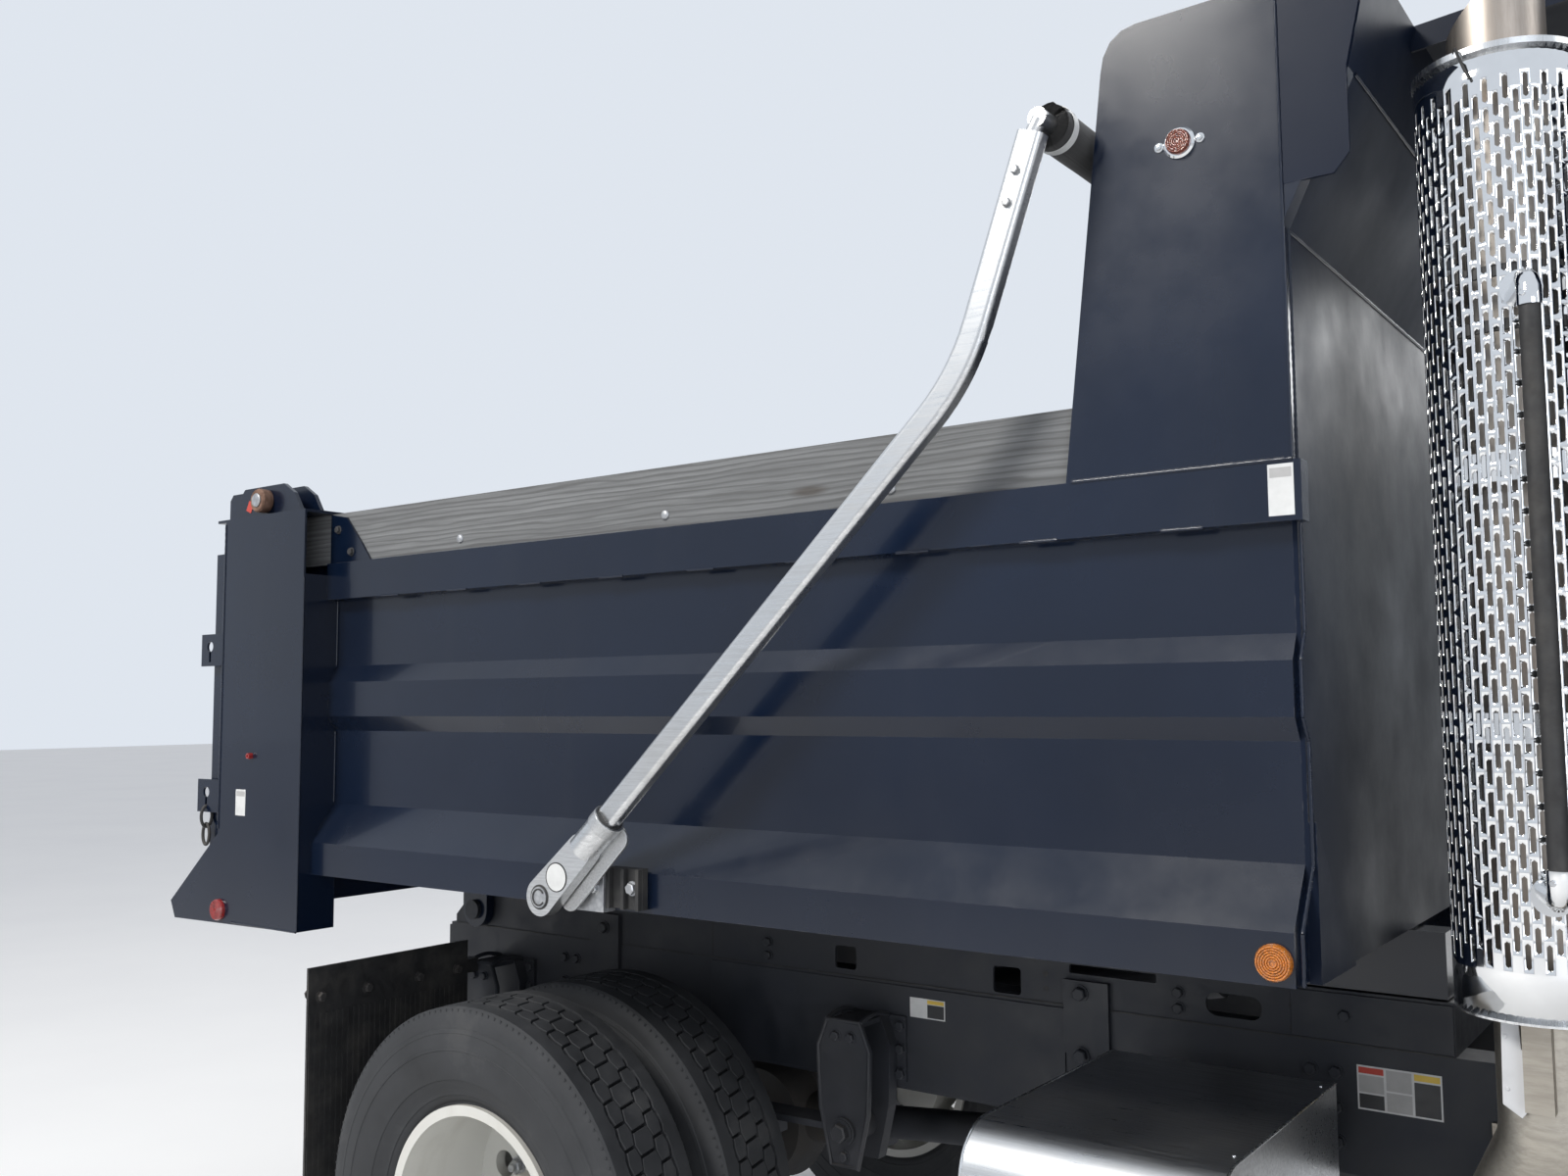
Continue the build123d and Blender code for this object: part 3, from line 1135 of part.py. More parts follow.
with BuildPart() as dashboard:
    dash_outline = (
        (CAB_FRONT - CAB_WALL, DASH_BOTTOM),
        (CAB_FRONT - CAB_WALL, DASH_TOP),
        (CAB_FRONT - CAB_WALL - DASH_DEPTH * 0.6, DASH_TOP),
        (CAB_FRONT - CAB_WALL - DASH_DEPTH, DASH_TOP - 80),
        (CAB_FRONT - CAB_WALL - DASH_DEPTH * 0.8, DASH_BOTTOM),
    )
    side_plate(dash_outline, (-CAB_INNER, CAB_INNER))
    column_foot = Vector(*WHEEL_CENTRE) + Vector(*COLUMN_REACH)
    rod(WHEEL_CENTRE, tuple(column_foot), COLUMN_RADIUS)
    column_line = Vector(*WHEEL_CENTRE) - column_foot
    wheel_origin = Vector(*WHEEL_CENTRE) + Vector(REAR_AXLE_X, 0, 0)
    with Locations(Location(Plane(origin=wheel_origin, z_dir=column_line))):
        Torus(WHEEL_RADIUS, WHEEL_TUBE)
        Cylinder(COLUMN_RADIUS * 1.6, 2 * WHEEL_TUBE)
        with PolarLocations(WHEEL_RADIUS / 2, 3):
            Box(WHEEL_RADIUS, 2 * WHEEL_TUBE, WHEEL_TUBE)

dashboard.part.label = "dashboard"
export_step(dashboard.part, "parts/dashboard.step")

# Hood: a nose and two fenders in one shell that tilts forward on ears at its front

HOOD_REAR = 3940
HOOD_FRONT = WHEELBASE + 920
HOOD_SKIN = 20
HOOD_HALF = 1200
HOOD_LOW = 860
FENDER_TOP = 1300
FENDER_FRONT_TOP = 1180
FENDER_BREAK = WHEELBASE + 550
ARCH_RADIUS = 700
FENDER_INNER = 600
NOSE_REAR_HALF = 780
NOSE_REAR_TOP = 1900
NOSE_FRONT_HALF = 560
NOSE_FRONT_TOP = 1610
NOSE_ROUND = 130
GRILLE_HALF = 430
GRILLE_BOTTOM = 930
GRILLE_TOP = 1500
HOOD_EAR_INNER = 456
HOOD_EAR_OUTER = 480
HOOD_EAR_RADIUS = 32

fender_outline = (
    (HOOD_REAR, HOOD_LOW),
    (HOOD_REAR, FENDER_TOP),
    (FENDER_BREAK, FENDER_TOP),
    (HOOD_FRONT, FENDER_FRONT_TOP),
    (HOOD_FRONT, HOOD_LOW),
)
fender_hollow = (
    (HOOD_REAR - 1, HOOD_LOW - 1),
    (HOOD_REAR - 1, FENDER_TOP - HOOD_SKIN),
    (FENDER_BREAK, FENDER_TOP - HOOD_SKIN),
    (HOOD_FRONT - HOOD_SKIN, FENDER_FRONT_TOP - HOOD_SKIN),
    (HOOD_FRONT - HOOD_SKIN, HOOD_LOW - 1),
)


def nose_section(x, half, top, low):
    """A section of the nose: straight sides and rounded upper corners."""
    with BuildSketch(cross_plane(x)) as section:
        with BuildLine():
            Polyline((-half, low), (half, low), (half, top), (-half, top), close=True)
        make_face()
        fillet(section.vertices().group_by(Axis.Z)[-1], radius=NOSE_ROUND)
    return section.sketch


with BuildPart() as hood:
    side_plate(fender_outline, (-HOOD_HALF, HOOD_HALF))
    fender_edges = hood.edges().filter_by(Axis.X).group_by(Axis.Z)[-1]
    fillet(fender_edges, radius=3 * HOOD_SKIN)
    rear_face = nose_section(HOOD_REAR, NOSE_REAR_HALF, NOSE_REAR_TOP, FENDER_TOP - HOOD_SKIN)
    shoulder = FENDER_FRONT_TOP - 2 * HOOD_SKIN
    front_face = nose_section(HOOD_FRONT, NOSE_FRONT_HALF, NOSE_FRONT_TOP, shoulder)
    loft([rear_face, front_face])
    side_plate(fender_hollow, (-HOOD_HALF + HOOD_SKIN, HOOD_HALF - HOOD_SKIN), Mode.SUBTRACT)
    rear_hollow = nose_section(
        HOOD_REAR - 1, NOSE_REAR_HALF - HOOD_SKIN, NOSE_REAR_TOP - HOOD_SKIN, HOOD_LOW
    )
    front_hollow = nose_section(
        HOOD_FRONT - HOOD_SKIN, NOSE_FRONT_HALF - HOOD_SKIN, NOSE_FRONT_TOP - HOOD_SKIN, HOOD_LOW
    )
    loft([rear_hollow, front_hollow], mode=Mode.SUBTRACT)
    for side, hand in SIDES:
        arch = spread(side, FENDER_INNER, HOOD_HALF + 1)
        cross_pin((WHEELBASE, AXLE_HEIGHT), arch, ARCH_RADIUS, Mode.SUBTRACT)
    grille_hole = (HOOD_FRONT - HOOD_SKIN - 1, HOOD_FRONT + 1)
    block(grille_hole, (-GRILLE_HALF, GRILLE_HALF), (GRILLE_BOTTOM, GRILLE_TOP), Mode.SUBTRACT)
    for side, hand in SIDES:
        ear = spread(side, HOOD_EAR_INNER, HOOD_EAR_OUTER)
        cross_pin(HOOD_HINGE, ear, HOOD_EAR_RADIUS)
        ear_span = (HOOD_HINGE[0] - HOOD_EAR_RADIUS, HOOD_FRONT - HOOD_SKIN)
        block(ear_span, ear, (HOOD_LOW - 5, HOOD_LOW + 140))
        block((HOOD_HINGE[0] - HOOD_EAR_RADIUS, HOOD_HINGE[0] + 10), ear, (HOOD_HINGE[1], HOOD_LOW))
        cross_pin(HOOD_HINGE, ear, HOOD_PIN_RADIUS + PIN_GAP, Mode.SUBTRACT)

hood.part.label = "hood"
export_step(hood.part, "parts/hood.step")

# Grille: a frame with upright bars, set in the nose's opening

GRILLE_FRAME = 35
GRILLE_DEPTH = 40
GRILLE_BAR = 14
GRILLE_BARS = 15

with BuildPart() as grille:
    grille_span = (HOOD_FRONT - HOOD_SKIN, HOOD_FRONT - HOOD_SKIN + GRILLE_DEPTH)
    half = GRILLE_HALF - SEAT_GAP
    low = GRILLE_BOTTOM + SEAT_GAP
    high = GRILLE_TOP - SEAT_GAP
    block(grille_span, (-half, half), (low, high))
    inner_half = half - GRILLE_FRAME
    inner_height = (low + GRILLE_FRAME, high - GRILLE_FRAME)
    block(grille_span, (-inner_half, inner_half), inner_height, Mode.SUBTRACT)
    for i in range(GRILLE_BARS):
        y = -inner_half + 2 * inner_half * (i + 1) / (GRILLE_BARS + 1)
        bar_span = (grille_span[0] + 5, grille_span[1] - 8)
        block(bar_span, (y - GRILLE_BAR / 2, y + GRILLE_BAR / 2), inner_height)

grille.part.label = "grille"
export_step(grille.part, "parts/grille.step")

# Headlamps on the fenders' front faces

LAMP_SPAN = (700, 1020)
LAMP_HEIGHT = (930, 1110)
LAMP_STANDOUT = 30

with BuildPart() as headlamps:
    for side, hand in SIDES:
        lamp = spread(side, *LAMP_SPAN)
        block((HOOD_FRONT, HOOD_FRONT + LAMP_STANDOUT), lamp, LAMP_HEIGHT)
    fillet(headlamps.edges().filter_by(Axis.X), radius=35)

headlamps.part.label = "headlamps"
export_step(headlamps.part, "parts/headlamps.step")

# Hoist: a barrel that turns on the frame's shaft, and a rod whose pin ends just short of the bed's lugs

HOIST_RUN = HOIST_PIN[0] - HOIST_FOOT[0]
HOIST_RISE = HOIST_PIN[1] - HOIST_FOOT[1]
HOIST_LENGTH = hypot(HOIST_RUN, HOIST_RISE)
BARREL_RADIUS = 70
BARREL_START = 30
BARREL_END = 1110
BARREL_BORE_START = 180
HOIST_EYE_RADIUS = 68
HOIST_EYE_HALF = 75
ROD_RADIUS = 36
ROD_START = 200
GLAND_LENGTH = 40
GLAND_RADIUS = 78
ROD_EYE_RADIUS = 50
ROD_EYE_HALF = 52
ROD_PIN_RADIUS = 25
LUG_INNER = 60


def hoist_point(distance):
    """A point on the hoist's line at rest, by its distance from the shaft."""
    share = distance / HOIST_LENGTH
    return (HOIST_FOOT[0] + HOIST_RUN * share, 0, HOIST_FOOT[1] + HOIST_RISE * share)


with BuildPart() as hoist_barrel:
    cross_pin(HOIST_FOOT, (-HOIST_EYE_HALF, HOIST_EYE_HALF), HOIST_EYE_RADIUS)
    rod(hoist_point(BARREL_START), hoist_point(BARREL_END), BARREL_RADIUS)
    rod(hoist_point(BARREL_END - GLAND_LENGTH), hoist_point(BARREL_END), GLAND_RADIUS)
    rod(hoist_point(BARREL_BORE_START), hoist_point(BARREL_END + 1), ROD_RADIUS + PIN_GAP, Mode.SUBTRACT)
    shaft_bore = (-HOIST_EYE_HALF - 5, HOIST_EYE_HALF + 5)
    cross_pin(HOIST_FOOT, shaft_bore, HOIST_SHAFT_RADIUS + PIN_GAP, Mode.SUBTRACT)

hoist_barrel.part.label = "hoist_barrel"
export_step(hoist_barrel.part, "parts/hoist_barrel.step")

with BuildPart() as hoist_rod:
    rod(hoist_point(ROD_START), hoist_point(HOIST_LENGTH), ROD_RADIUS)
    cross_pin(HOIST_PIN, (-ROD_EYE_HALF, ROD_EYE_HALF), ROD_EYE_RADIUS)
    cross_pin(HOIST_PIN, (-LUG_INNER + PIN_GAP, LUG_INNER - PIN_GAP), ROD_PIN_RADIUS)

hoist_rod.part.label = "hoist_rod"
export_step(hoist_rod.part, "parts/hoist_rod.step")

# Bed floor: a plate on cross-members and two long sills, with ears for the hinge and lugs for the hoist

BED_REAR = -1078
BED_FRONT = 1930
BED_INNER = 1102
FLOOR_TOP = 1340
FLOOR_PLATE = 8
SILL_INNER = 345
SILL_OUTER = 430
SILL_BOTTOM = SUBFRAME_TOP + MOVING_GAP
SILL_REAR = -800
SILL_FRONT = 1990
FRONT_WALL_BOTTOM = 1310
MEMBER_LOW = 1222
MEMBER_WIDTH = 60
MEMBER_PITCH = 340
MEMBER_FIRST = -480
MEMBER_COUNT = 7
MEMBER_HALF = 700
BOLSTER_REAR = -1060
HINGE_EAR_INNER = 436
HINGE_EAR_OUTER = 466
HINGE_EAR_RADIUS = 55
LUG_THICKNESS = 20
LUG_RADIUS = 48
LUG_HALF = 60
PLATE_BOTTOM = FLOOR_TOP - FLOOR_PLATE

with BuildPart() as bed_floor:
    block((BED_REAR, BED_FRONT - FLOOR_PLATE), (-BED_INNER, BED_INNER), (PLATE_BOTTOM, FLOOR_TOP))
    members = [MEMBER_FIRST + MEMBER_PITCH * i for i in range(MEMBER_COUNT)]
    for x in members:
        block((x, x + MEMBER_WIDTH), (-MEMBER_HALF, MEMBER_HALF), (MEMBER_LOW, PLATE_BOTTOM))
    block((BOLSTER_REAR, SILL_REAR), (2 - BED_INNER, BED_INNER - 2), (MEMBER_LOW, PLATE_BOTTOM))
    sill_outline = (
        (SILL_REAR, SILL_BOTTOM),
        (SILL_FRONT, SILL_BOTTOM),
        (SILL_FRONT, FRONT_WALL_BOTTOM - MOVING_GAP),
        (BED_FRONT - FLOOR_PLATE, FRONT_WALL_BOTTOM - MOVING_GAP),
        (BED_FRONT - FLOOR_PLATE, PLATE_BOTTOM),
        (SILL_REAR, PLATE_BOTTOM),
    )
    hinge_x, hinge_z = BED_HINGE
    for side, hand in SIDES:
        side_plate(sill_outline, spread(side, SILL_INNER, SILL_OUTER))
        ear = spread(side, HINGE_EAR_INNER, HINGE_EAR_OUTER)
        cross_pin(BED_HINGE, ear, HINGE_EAR_RADIUS)
        block((hinge_x - HINGE_EAR_RADIUS, hinge_x + HINGE_EAR_RADIUS), ear, (hinge_z, PLATE_BOTTOM))
        cross_pin(BED_HINGE, ear, HINGE_SHAFT_RADIUS + PIN_GAP, Mode.SUBTRACT)
        lug = spread(side, LUG_INNER, LUG_INNER + LUG_THICKNESS)
        lug_x, lug_z = HOIST_PIN
        cross_pin(HOIST_PIN, lug, LUG_RADIUS)
        lug_outline = (
            (lug_x - LUG_RADIUS, lug_z),
            (lug_x + LUG_RADIUS, lug_z),
            (lug_x + 2 * LUG_HALF, PLATE_BOTTOM),
            (lug_x - 2 * LUG_HALF, PLATE_BOTTOM),
        )
        side_plate(lug_outline, lug)

bed_floor.part.label = "bed_floor"
export_step(bed_floor.part, "parts/bed_floor.step")

# Bed sides: a sheet with two formed ribs and a top rail, the rear post, and the wing plate ahead

SIDE_SHEET = 1107
SIDE_BOTTOM = 1314
RAIL_FACE = 1145
RAIL_BACK = 1070
RAIL_LOW = 2061
RAIL_HIGH = 2162
RAIL_END = 20
POST_FACE = 1219
POST_REAR = BED_REAR
POST_FRONT = -690
POST_BOTTOM = 1163
POST_OPEN = 2130
CAP_BOTTOM = 2302
CAP_THICKNESS = 8
CAP_REAR = -1120
CAP_INNER = 1094
# The outer face of a side, from its foot to its top rail: left, up
SIDE_FACE = (
    (1180, SIDE_BOTTOM),
    (1180, 1400),
    (SIDE_SHEET, 1500),
    (SIDE_SHEET, 1700),
    (1134, 1740),
    (1134, 1833),
    (SIDE_SHEET, 1878),
    (SIDE_SHEET, RAIL_LOW),
    (RAIL_FACE, RAIL_LOW),
    (RAIL_FACE, RAIL_HIGH),
    (RAIL_BACK, RAIL_HIGH),
    (RAIL_BACK, RAIL_LOW),
    (BED_INNER, RAIL_LOW),
    (BED_INNER, SIDE_BOTTOM),
)
POST_OUTLINE = (
    (POST_FRONT, POST_BOTTOM),
    (POST_FRONT, CAP_BOTTOM),
    (POST_REAR, CAP_BOTTOM),
    (POST_REAR, 1408),
    (BODY_REAR, 1200),
    (-1295, 1152),
)
WING_OUTLINE = (
    (1535, RAIL_HIGH),
    (1622, 2905),
    (1628, 2935),
    (1642, 2960),
    (1664, 2975),
    (1690, 2980),
    (1936, 2980),
    (1936, RAIL_HIGH),
)
GUSSET_OUTLINE = (
    (POST_FRONT, 2300),
    (-620, 2287),
    (-555, 2216),
    (-510, RAIL_HIGH),
    (POST_FRONT, RAIL_HIGH),
)
TAILGATE_PIN = (-930, 2355)
TAILGATE_PIN_RADIUS = 20
TAILGATE_PIN_SPAN = (1098, 1190)
EAR_OUTLINE = (
    (-1070, CAP_BOTTOM + CAP_THICKNESS),
    (-1070, 2375),
    (-1045, 2400),
    (-850, 2400),
    (-800, 2370),
    (-760, CAP_BOTTOM + CAP_THICKNESS),
)
EAR_PLATES = ((1105, 1117), (1170, 1182))
# Each chain ear on the post's rear edge: bottom, top
CHAIN_EARS = ((1465, 1559), (1886, 1979))
CHAIN_EAR_REAR = -1190
CHAIN_HOLE_X = -1145
CHAIN_HOLE_RADIUS = 15
CHAIN_SLOT = 10
TARP_PIVOT = (309, 1342)
TARP_PIN_RADIUS = 15
TARP_BOSS_RADIUS = 28
TARP_ARM_INNER = 1244
TARP_ARM_OUTER = 1276
TARP_PIN_SPAN = (1175, 1271)
TARP_BOSS_SPAN = (1175, 1243)
# Bracket ahead of the tarp's pivot: ahead, across and up
TARP_BRACKET = (
    ((340, 430), (1180, 1215), (1322, 1384)),
    ((430, 510), (1180, 1198), (1330, 1378)),
)
BOARD_OUTER = 1129
BOARD_INNER = 1091

for side, hand in SIDES:
    with BuildPart() as bed_side:
        cross_plate([(side * y, z) for y, z in SIDE_FACE], (POST_FRONT, BED_FRONT - FLOOR_PLATE))
        sheet = spread(side, BED_INNER, SIDE_SHEET)
        block((POST_REAR, POST_FRONT), sheet, (POST_BOTTOM, RAIL_HIGH))
        outer_plate = spread(side, POST_FACE - SHEET, POST_FACE)
        side_plate(POST_OUTLINE, outer_plate)
        depth = spread(side, SIDE_SHEET, POST_FACE - SHEET)
        block((POST_FRONT - SHEET, POST_FRONT), depth, (POST_BOTTOM, POST_OPEN))
        block((POST_REAR, POST_REAR + SHEET), depth, (POST_BOTTOM, CAP_BOTTOM))
        block((POST_REAR, POST_FRONT), depth, (POST_BOTTOM, POST_BOTTOM + SHEET))
        cap = spread(side, CAP_INNER, POST_FACE)
        block((CAP_REAR, POST_FRONT), cap, (CAP_BOTTOM, CAP_BOTTOM + CAP_THICKNESS))
        for ear in EAR_PLATES:
            side_plate(EAR_OUTLINE, spread(side, *ear))
            cross_pin(TAILGATE_PIN, spread(side, *ear), TAILGATE_PIN_RADIUS + PIN_GAP, Mode.SUBTRACT)
        for low, high in CHAIN_EARS:
            middle = (low + high) / 2
            block((CHAIN_EAR_REAR, POST_REAR), outer_plate, (low, high))
            cross_pin((CHAIN_HOLE_X, middle + 10), outer_plate, CHAIN_HOLE_RADIUS, Mode.SUBTRACT)
            slot = (CHAIN_HOLE_X - CHAIN_SLOT / 2, CHAIN_HOLE_X + CHAIN_SLOT / 2)
            block(slot, outer_plate, (low + 12, middle + 10), Mode.SUBTRACT)
        side_plate(GUSSET_OUTLINE, spread(side, BOARD_OUTER + PIN_GAP, BOARD_OUTER + SHEET))
        side_plate(WING_OUTLINE, spread(side, RAIL_FACE - SHEET, RAIL_FACE))
        rail_end = (BED_FRONT - FLOOR_PLATE, BED_FRONT + RAIL_END)
        block(rail_end, spread(side, SIDE_SHEET, RAIL_FACE), (RAIL_LOW, RAIL_HIGH))
        cross_pin(TARP_PIVOT, spread(side, *TARP_BOSS_SPAN), TARP_BOSS_RADIUS)
        cross_pin(TARP_PIVOT, spread(side, *TARP_PIN_SPAN), TARP_PIN_RADIUS)
        for ahead, across, up in TARP_BRACKET:
            block(ahead, spread(side, *across), up)
    bed_side.part.label = f"bed_side_{hand}"
    export_step(bed_side.part, f"parts/bed_side_{hand}.step")

# Front wall of the bed, with a tapered stiffener at each lower corner

FRONT_WALL_TOP = 2560
STIFFENER = 12
STIFFENER_OUTLINE = ((SIDE_SHEET, 1570), (SIDE_SHEET, FRONT_WALL_BOTTOM), (900, FRONT_WALL_BOTTOM))

with BuildPart() as front_wall:
    wall_span = (BED_FRONT - FLOOR_PLATE, BED_FRONT)
    block(wall_span, (-SIDE_SHEET, SIDE_SHEET), (FRONT_WALL_BOTTOM, FRONT_WALL_TOP))
    for side, hand in SIDES:
        stiffener = [(side * y, z) for y, z in STIFFENER_OUTLINE]
        cross_plate(stiffener, (BED_FRONT, BED_FRONT + STIFFENER))

front_wall.part.label = "front_wall"
export_step(front_wall.part, "parts/front_wall.step")

# Cab shield: a sheet that leans forward from the front wall, side plates, and a canopy over the cab

SHIELD_LEAN = ((BED_FRONT - FLOOR_PLATE, FRONT_WALL_TOP), (2040, 2800), (2080, 2980))
CANOPY_FRONT = 2850
CANOPY_RISE = 54
CANOPY_HALF = 820
CANOPY_LIP = 40
CANOPY_SEAT = 3
SHIELD_INNER = RAIL_FACE - SHEET
SHIELD_SIDE = ((1936.5, 2625), (2020, 2625), (2046, 2655), (2046, 2800), (2086, 2980), (1936.5, 2980))

with BuildPart() as cab_shield:
    lean_back = [(x + FLOOR_PLATE, z) for x, z in reversed(SHIELD_LEAN)]
    side_plate(list(SHIELD_LEAN) + lean_back, (-BED_INNER, BED_INNER))
    lean_upper = list(SHIELD_LEAN[1:]) + lean_back[:-1]
    side_plate(lean_upper, (-SHIELD_INNER, SHIELD_INNER))
    shield_x, shield_z = SHIELD_LEAN[-1]
    canopy_rear = shield_z - CANOPY_SEAT
    canopy_nose = shield_z + CANOPY_RISE
    canopy_outline = (
        (shield_x, canopy_rear),
        (CANOPY_FRONT, canopy_nose),
        (CANOPY_FRONT, canopy_nose + SHEET),
        (shield_x, canopy_rear + SHEET),
    )
    side_plate(canopy_outline, (-CANOPY_HALF, CANOPY_HALF))
    lip_outline = (
        (shield_x, canopy_rear - CANOPY_LIP),
        (CANOPY_FRONT, canopy_nose - CANOPY_LIP),
        (CANOPY_FRONT, canopy_nose),
        (shield_x, canopy_rear),
    )
    for side, hand in SIDES:
        side_plate(lip_outline, spread(side, CANOPY_HALF - SHEET, CANOPY_HALF))
        side_plate(SHIELD_SIDE, spread(side, SHIELD_INNER, RAIL_FACE))
    lip_span = (CANOPY_FRONT - SHEET, CANOPY_FRONT)
    lip_height = (canopy_nose - CANOPY_LIP, canopy_nose + SHEET / 2)
    block(lip_span, (-CANOPY_HALF, CANOPY_HALF), lip_height)

cab_shield.part.label = "cab_shield"
export_step(cab_shield.part, "parts/cab_shield.step")

# Side boards: planks on edge on the top rails

BOARD_SPAN = (-1000, 1600)
BOARD_HEIGHT = CAP_BOTTOM - RAIL_HIGH - PIN_GAP

with BuildPart() as side_boards:
    for side, hand in SIDES:
        board = spread(side, BOARD_INNER, BOARD_OUTER)
        block(BOARD_SPAN, board, (RAIL_HIGH, RAIL_HIGH + BOARD_HEIGHT))

side_boards.part.label = "side_boards"
export_step(side_boards.part, "parts/side_boards.step")

# Marker lamps on the bed: ahead, up, radius, and the face that carries each

MARKER_DEPTH = 14
MARKERS = (
    (1890, 1352, 30, 1180),
    (1765, 2740, 38, RAIL_FACE),
    (-1062, 1194, 30, POST_FACE),
    (-920, 1630, 9, POST_FACE),
)

with BuildPart() as marker_lamps:
    for side, hand in SIDES:
        for x, z, radius, face in MARKERS:
            cross_pin((x, z), spread(side, face, face + MARKER_DEPTH), radius)

marker_lamps.part.label = "marker_lamps"
export_step(marker_lamps.part, "parts/marker_lamps.step")

# Tailgate: a sheet in a frame with upright ribs, hung on two arms from its upper pins

GATE_HALF = 1195
GATE_BOTTOM = 1250
GATE_TOP = 2215
GATE_SHEET_X = POST_REAR - 7
GATE_REAR = -1160
GATE_FRAME = 80
GATE_RIBS = 4
GATE_RIB = 70
GATE_ARM = (1130, 1155)
GATE_ARM_OUTLINE = (
    (-905, 2330),
    (-890, 2355),
    (-905, 2388),
    (-930, 2397),
    (-1150, 2397),
    (-1165, 2380),
    (-1165, 2150),
    (-1125, 2150),
    (-1125, 2318),
    (-930, 2318),
)

with BuildPart() as tailgate:
    block((GATE_SHEET_X - SHEET, GATE_SHEET_X), (-GATE_HALF, GATE_HALF), (GATE_BOTTOM, GATE_TOP))
    frame_span = (GATE_REAR, GATE_SHEET_X - SHEET)
    for z in (GATE_BOTTOM, (GATE_BOTTOM + GATE_TOP - GATE_FRAME) / 2, GATE_TOP - GATE_FRAME):
        block(frame_span, (-GATE_HALF, GATE_HALF), (z, z + GATE_FRAME))
    for i in range(GATE_RIBS + 2):
        y = -GATE_HALF + (2 * GATE_HALF - GATE_RIB) * i / (GATE_RIBS + 1)
        block(frame_span, (y, y + GATE_RIB), (GATE_BOTTOM, GATE_TOP))
    for side, hand in SIDES:
        side_plate(GATE_ARM_OUTLINE, spread(side, *GATE_ARM))
        cross_pin(TAILGATE_PIN, spread(side, *TAILGATE_PIN_SPAN), TAILGATE_PIN_RADIUS)

tailgate.part.label = "tailgate"
export_step(tailgate.part, "parts/tailgate.step")

# Tarp arms: a casting, a bent tube and a bar across, with the rolled tarp on the bar

TARP_CASTING_END = (507, 1523)
TARP_BEND = (1390, 2358)
TARP_TOP = (1541, 2777)
TARP_ROLL = (1555, 2800)
TARP_SOCKET_SHARE = 0.61
TARP_SOCKET_FOOT = tuple(
    pivot + (end - pivot) * TARP_SOCKET_SHARE for pivot, end in zip(TARP_PIVOT, TARP_CASTING_END)
)
TARP_SOCKET_RADIUS = 35
TARP_CASTING_RADIUS = 42
TARP_TUBE_DEPTH = 38
TARP_TUBE_WIDTH = 54
TARP_TUBE_CORNER = 12
TARP_BEND_RADIUS = 420
TARP_BAR_RADIUS = 18
ROLL_RADIUS = 40
ROLL_END = (TARP_ARM_INNER + TARP_ARM_OUTER) / 2 - TARP_TUBE_DEPTH / 2 - 2 * MOVING_GAP

with BuildPart() as tarp_arms:
    for side, hand in SIDES:
        arm_span = spread(side, TARP_ARM_INNER, TARP_ARM_OUTER)
        with BuildSketch(side_plane(max(arm_span))) as casting:
            with Locations(TARP_PIVOT):
                Circle(TARP_CASTING_RADIUS)
            with Locations(TARP_SOCKET_FOOT):
                Circle(TARP_SOCKET_RADIUS)
            make_hull()
        extrude(casting.sketch, amount=TARP_ARM_OUTER - TARP_ARM_INNER)
        arm_middle = side * (TARP_ARM_INNER + TARP_ARM_OUTER) / 2
        (foot_x, foot_z), (end_x, end_z) = TARP_SOCKET_FOOT, TARP_CASTING_END
        rod((foot_x, arm_middle, foot_z), (end_x, arm_middle, end_z), TARP_SOCKET_RADIUS)
        with BuildLine(side_plane(arm_middle)) as tube_path:
            FilletPolyline(TARP_SOCKET_FOOT, TARP_BEND, TARP_TOP, radius=TARP_BEND_RADIUS)
        tube_foot = Plane(tube_path.line @ 0, x_dir=(0, 1, 0), z_dir=tube_path.line % 0)
        with BuildSketch(tube_foot) as tube_end:
            RectangleRounded(TARP_TUBE_DEPTH, TARP_TUBE_WIDTH, TARP_TUBE_CORNER)
        sweep(tube_end.sketch, path=tube_path.line)
        rod((TARP_TOP[0], arm_middle, TARP_TOP[1]), (TARP_ROLL[0], arm_middle, TARP_ROLL[1]), 15)
        pin_hole = spread(side, TARP_ARM_INNER - 1, TARP_PIN_SPAN[1] + PIN_GAP)
        cross_pin(TARP_PIVOT, pin_hole, TARP_PIN_RADIUS + PIN_GAP, Mode.SUBTRACT)
    bar_half = (TARP_ARM_INNER + TARP_ARM_OUTER) / 2 + 12
    cross_pin(TARP_ROLL, (-bar_half, bar_half), TARP_BAR_RADIUS)

tarp_arms.part.label = "tarp_arms"
export_step(tarp_arms.part, "parts/tarp_arms.step")

with BuildPart() as tarp_roll:
    cross_pin(TARP_ROLL, (-ROLL_END, ROLL_END), ROLL_RADIUS)
    cross_pin(TARP_ROLL, (-ROLL_END - 1, ROLL_END + 1), TARP_BAR_RADIUS + PIN_GAP, Mode.SUBTRACT)

tarp_roll.part.label = "tarp_roll"
export_step(tarp_roll.part, "parts/tarp_roll.step")
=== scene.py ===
from math import atan2, cos, exp, pi, radians, sin, tan
from random import Random

import bpy
from mathutils import Matrix, Vector


